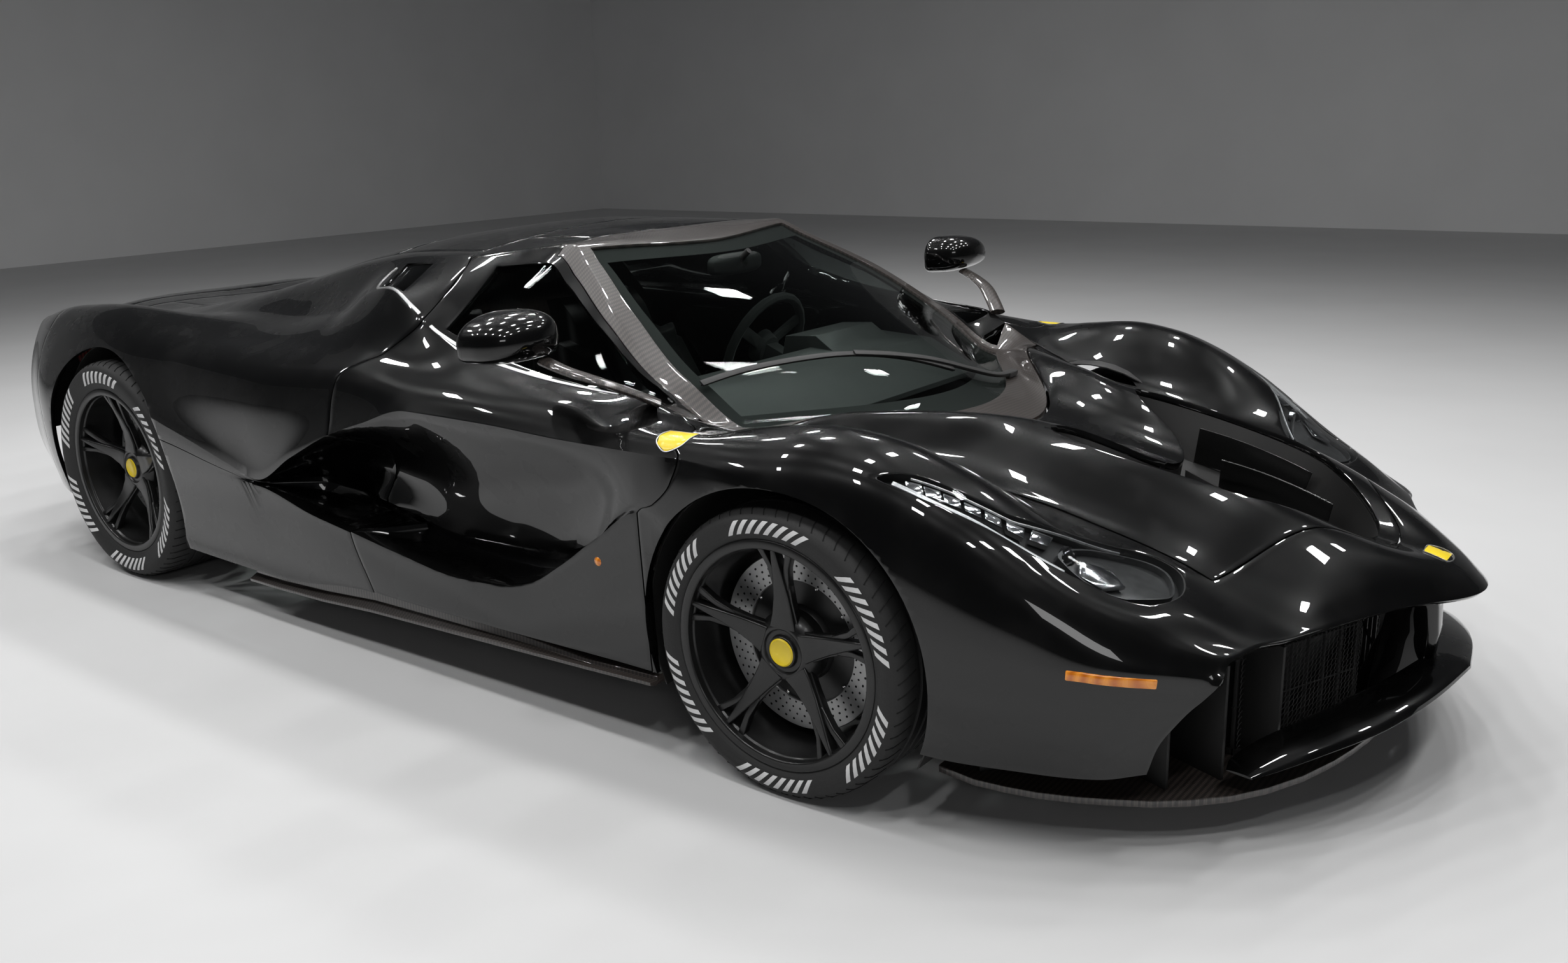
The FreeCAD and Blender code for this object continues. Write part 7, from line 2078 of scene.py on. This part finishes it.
def plain_surface(name, corners, shade):
    obj = in_scene(name, mesh_of(name, corners, [(0, 1, 2, 3)]))
    finish = Finish(name + "_finish", Roughness=STAGE_ROUGHNESS)
    grain = finish.noise(1.2, 6.0)
    finish.feed("Base Color", finish.tint(grain, grey(shade * 0.93), grey(shade * 1.05)))
    obj.data.materials.append(finish.material)


def upright(start, end):
    return [(*start, 0), (*end, 0), (*end, WALL_TOP), (*start, WALL_TOP)]


near, left, far = (-FLOOR, -FLOOR), (-FLOOR, FLOOR), (FLOOR, FLOOR)
plain_surface("floor", [(*corner, 0) for corner in (near, (FLOOR, -FLOOR), far, left)], 0.6)
plain_surface("wall", upright(left, far), 0.75)
plain_surface("side_wall", upright(near, left), 0.75)
print("floor", 2 * FLOOR, "m wide")

# %% Lamps and world
WORLD_COLOUR = (0.032, 0.033, 0.035, 1)
LAMP_ROWS, LAMP_LINES = (-4.2, -2.6, -1.0, 0.6, 2.2, 3.8), (-3.4, -1.7, 0.0, 1.7, 3.4)
LAMP_HEIGHT, LAMP_SIZE, LAMP_WATTS, FILL_WATTS = 4.6, (0.2, 0.42), 22, 25
world = bpy.data.worlds.new("studio")
bpy.context.scene.world = world
world.use_nodes = True
world.node_tree.nodes["Background"].inputs["Color"].default_value = WORLD_COLOUR


def soft_lamp(name, where, aim, size, power):
    light = bpy.data.lights.new(name, "AREA")
    light.shape, light.size, light.size_y, light.energy = "RECTANGLE", size[0], size[1], power
    obj = in_scene(name, light)
    obj.location = where
    obj.rotation_euler = (Vector(aim) - Vector(where)).to_track_quat("-Z", "Y").to_euler()


for i, x in enumerate(LAMP_ROWS):
    for j, y in enumerate(LAMP_LINES):
        soft_lamp(f"ceiling_{i}_{j}", (x, y, LAMP_HEIGHT), (x, y, 0), LAMP_SIZE, LAMP_WATTS)
soft_lamp("front_fill", (5.5, -5.5, 3.0), (1.0, 0, 0.4), (2.0, 1.0), FILL_WATTS)
print(len(bpy.data.lights), "lamps")

# %% Camera
CAMERA_PLACE = (2.927 - LENGTH_SHIFT / 1000, -2.979, 1.411)
YAW, PITCH, ROLL = math.radians(127.43), math.radians(-15.35), math.radians(-1.59)
FOCAL_PIXELS, IMAGE_WIDTH, SENSOR = 2102.8, 2463.0, 36.0


def aimed_camera():
    ahead = Vector((math.cos(YAW) * math.cos(PITCH), math.sin(YAW) * math.cos(PITCH), math.sin(PITCH)))
    right = ahead.cross(Vector((0, 0, 1))).normalized()
    up = right.cross(ahead)
    right, up = right * math.cos(ROLL) + up * math.sin(ROLL), up * math.cos(ROLL) - right * math.sin(ROLL)
    camera = in_scene("camera", bpy.data.cameras.new("camera"))
    camera.data.sensor_width = SENSOR
    camera.data.lens = FOCAL_PIXELS / IMAGE_WIDTH * SENSOR
    camera.matrix_world = Matrix((
        (right.x, up.x, -ahead.x, CAMERA_PLACE[0]), (right.y, up.y, -ahead.y, CAMERA_PLACE[1]),
        (right.z, up.z, -ahead.z, CAMERA_PLACE[2]), (0, 0, 0, 1)))
    bpy.context.scene.camera = camera
    return camera


print("lens", round(aimed_camera().data.lens, 2), "mm")
bpy.context.scene.view_settings.view_transform = "Standard"

# %% [markdown]
# ## Handing over
# Every piece rides on its CAD body, says which nodes it stands for and which finish it carries.

# %% Bodies, replaced nodes and sizes
for piece in pieces:
    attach(piece, piece["ride_on"])
    if "stands_for" in piece:
        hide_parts(*piece["stands_for"])
print(len(pieces), "pieces", sum(len(p.data.polygons) for p in pieces), "faces")
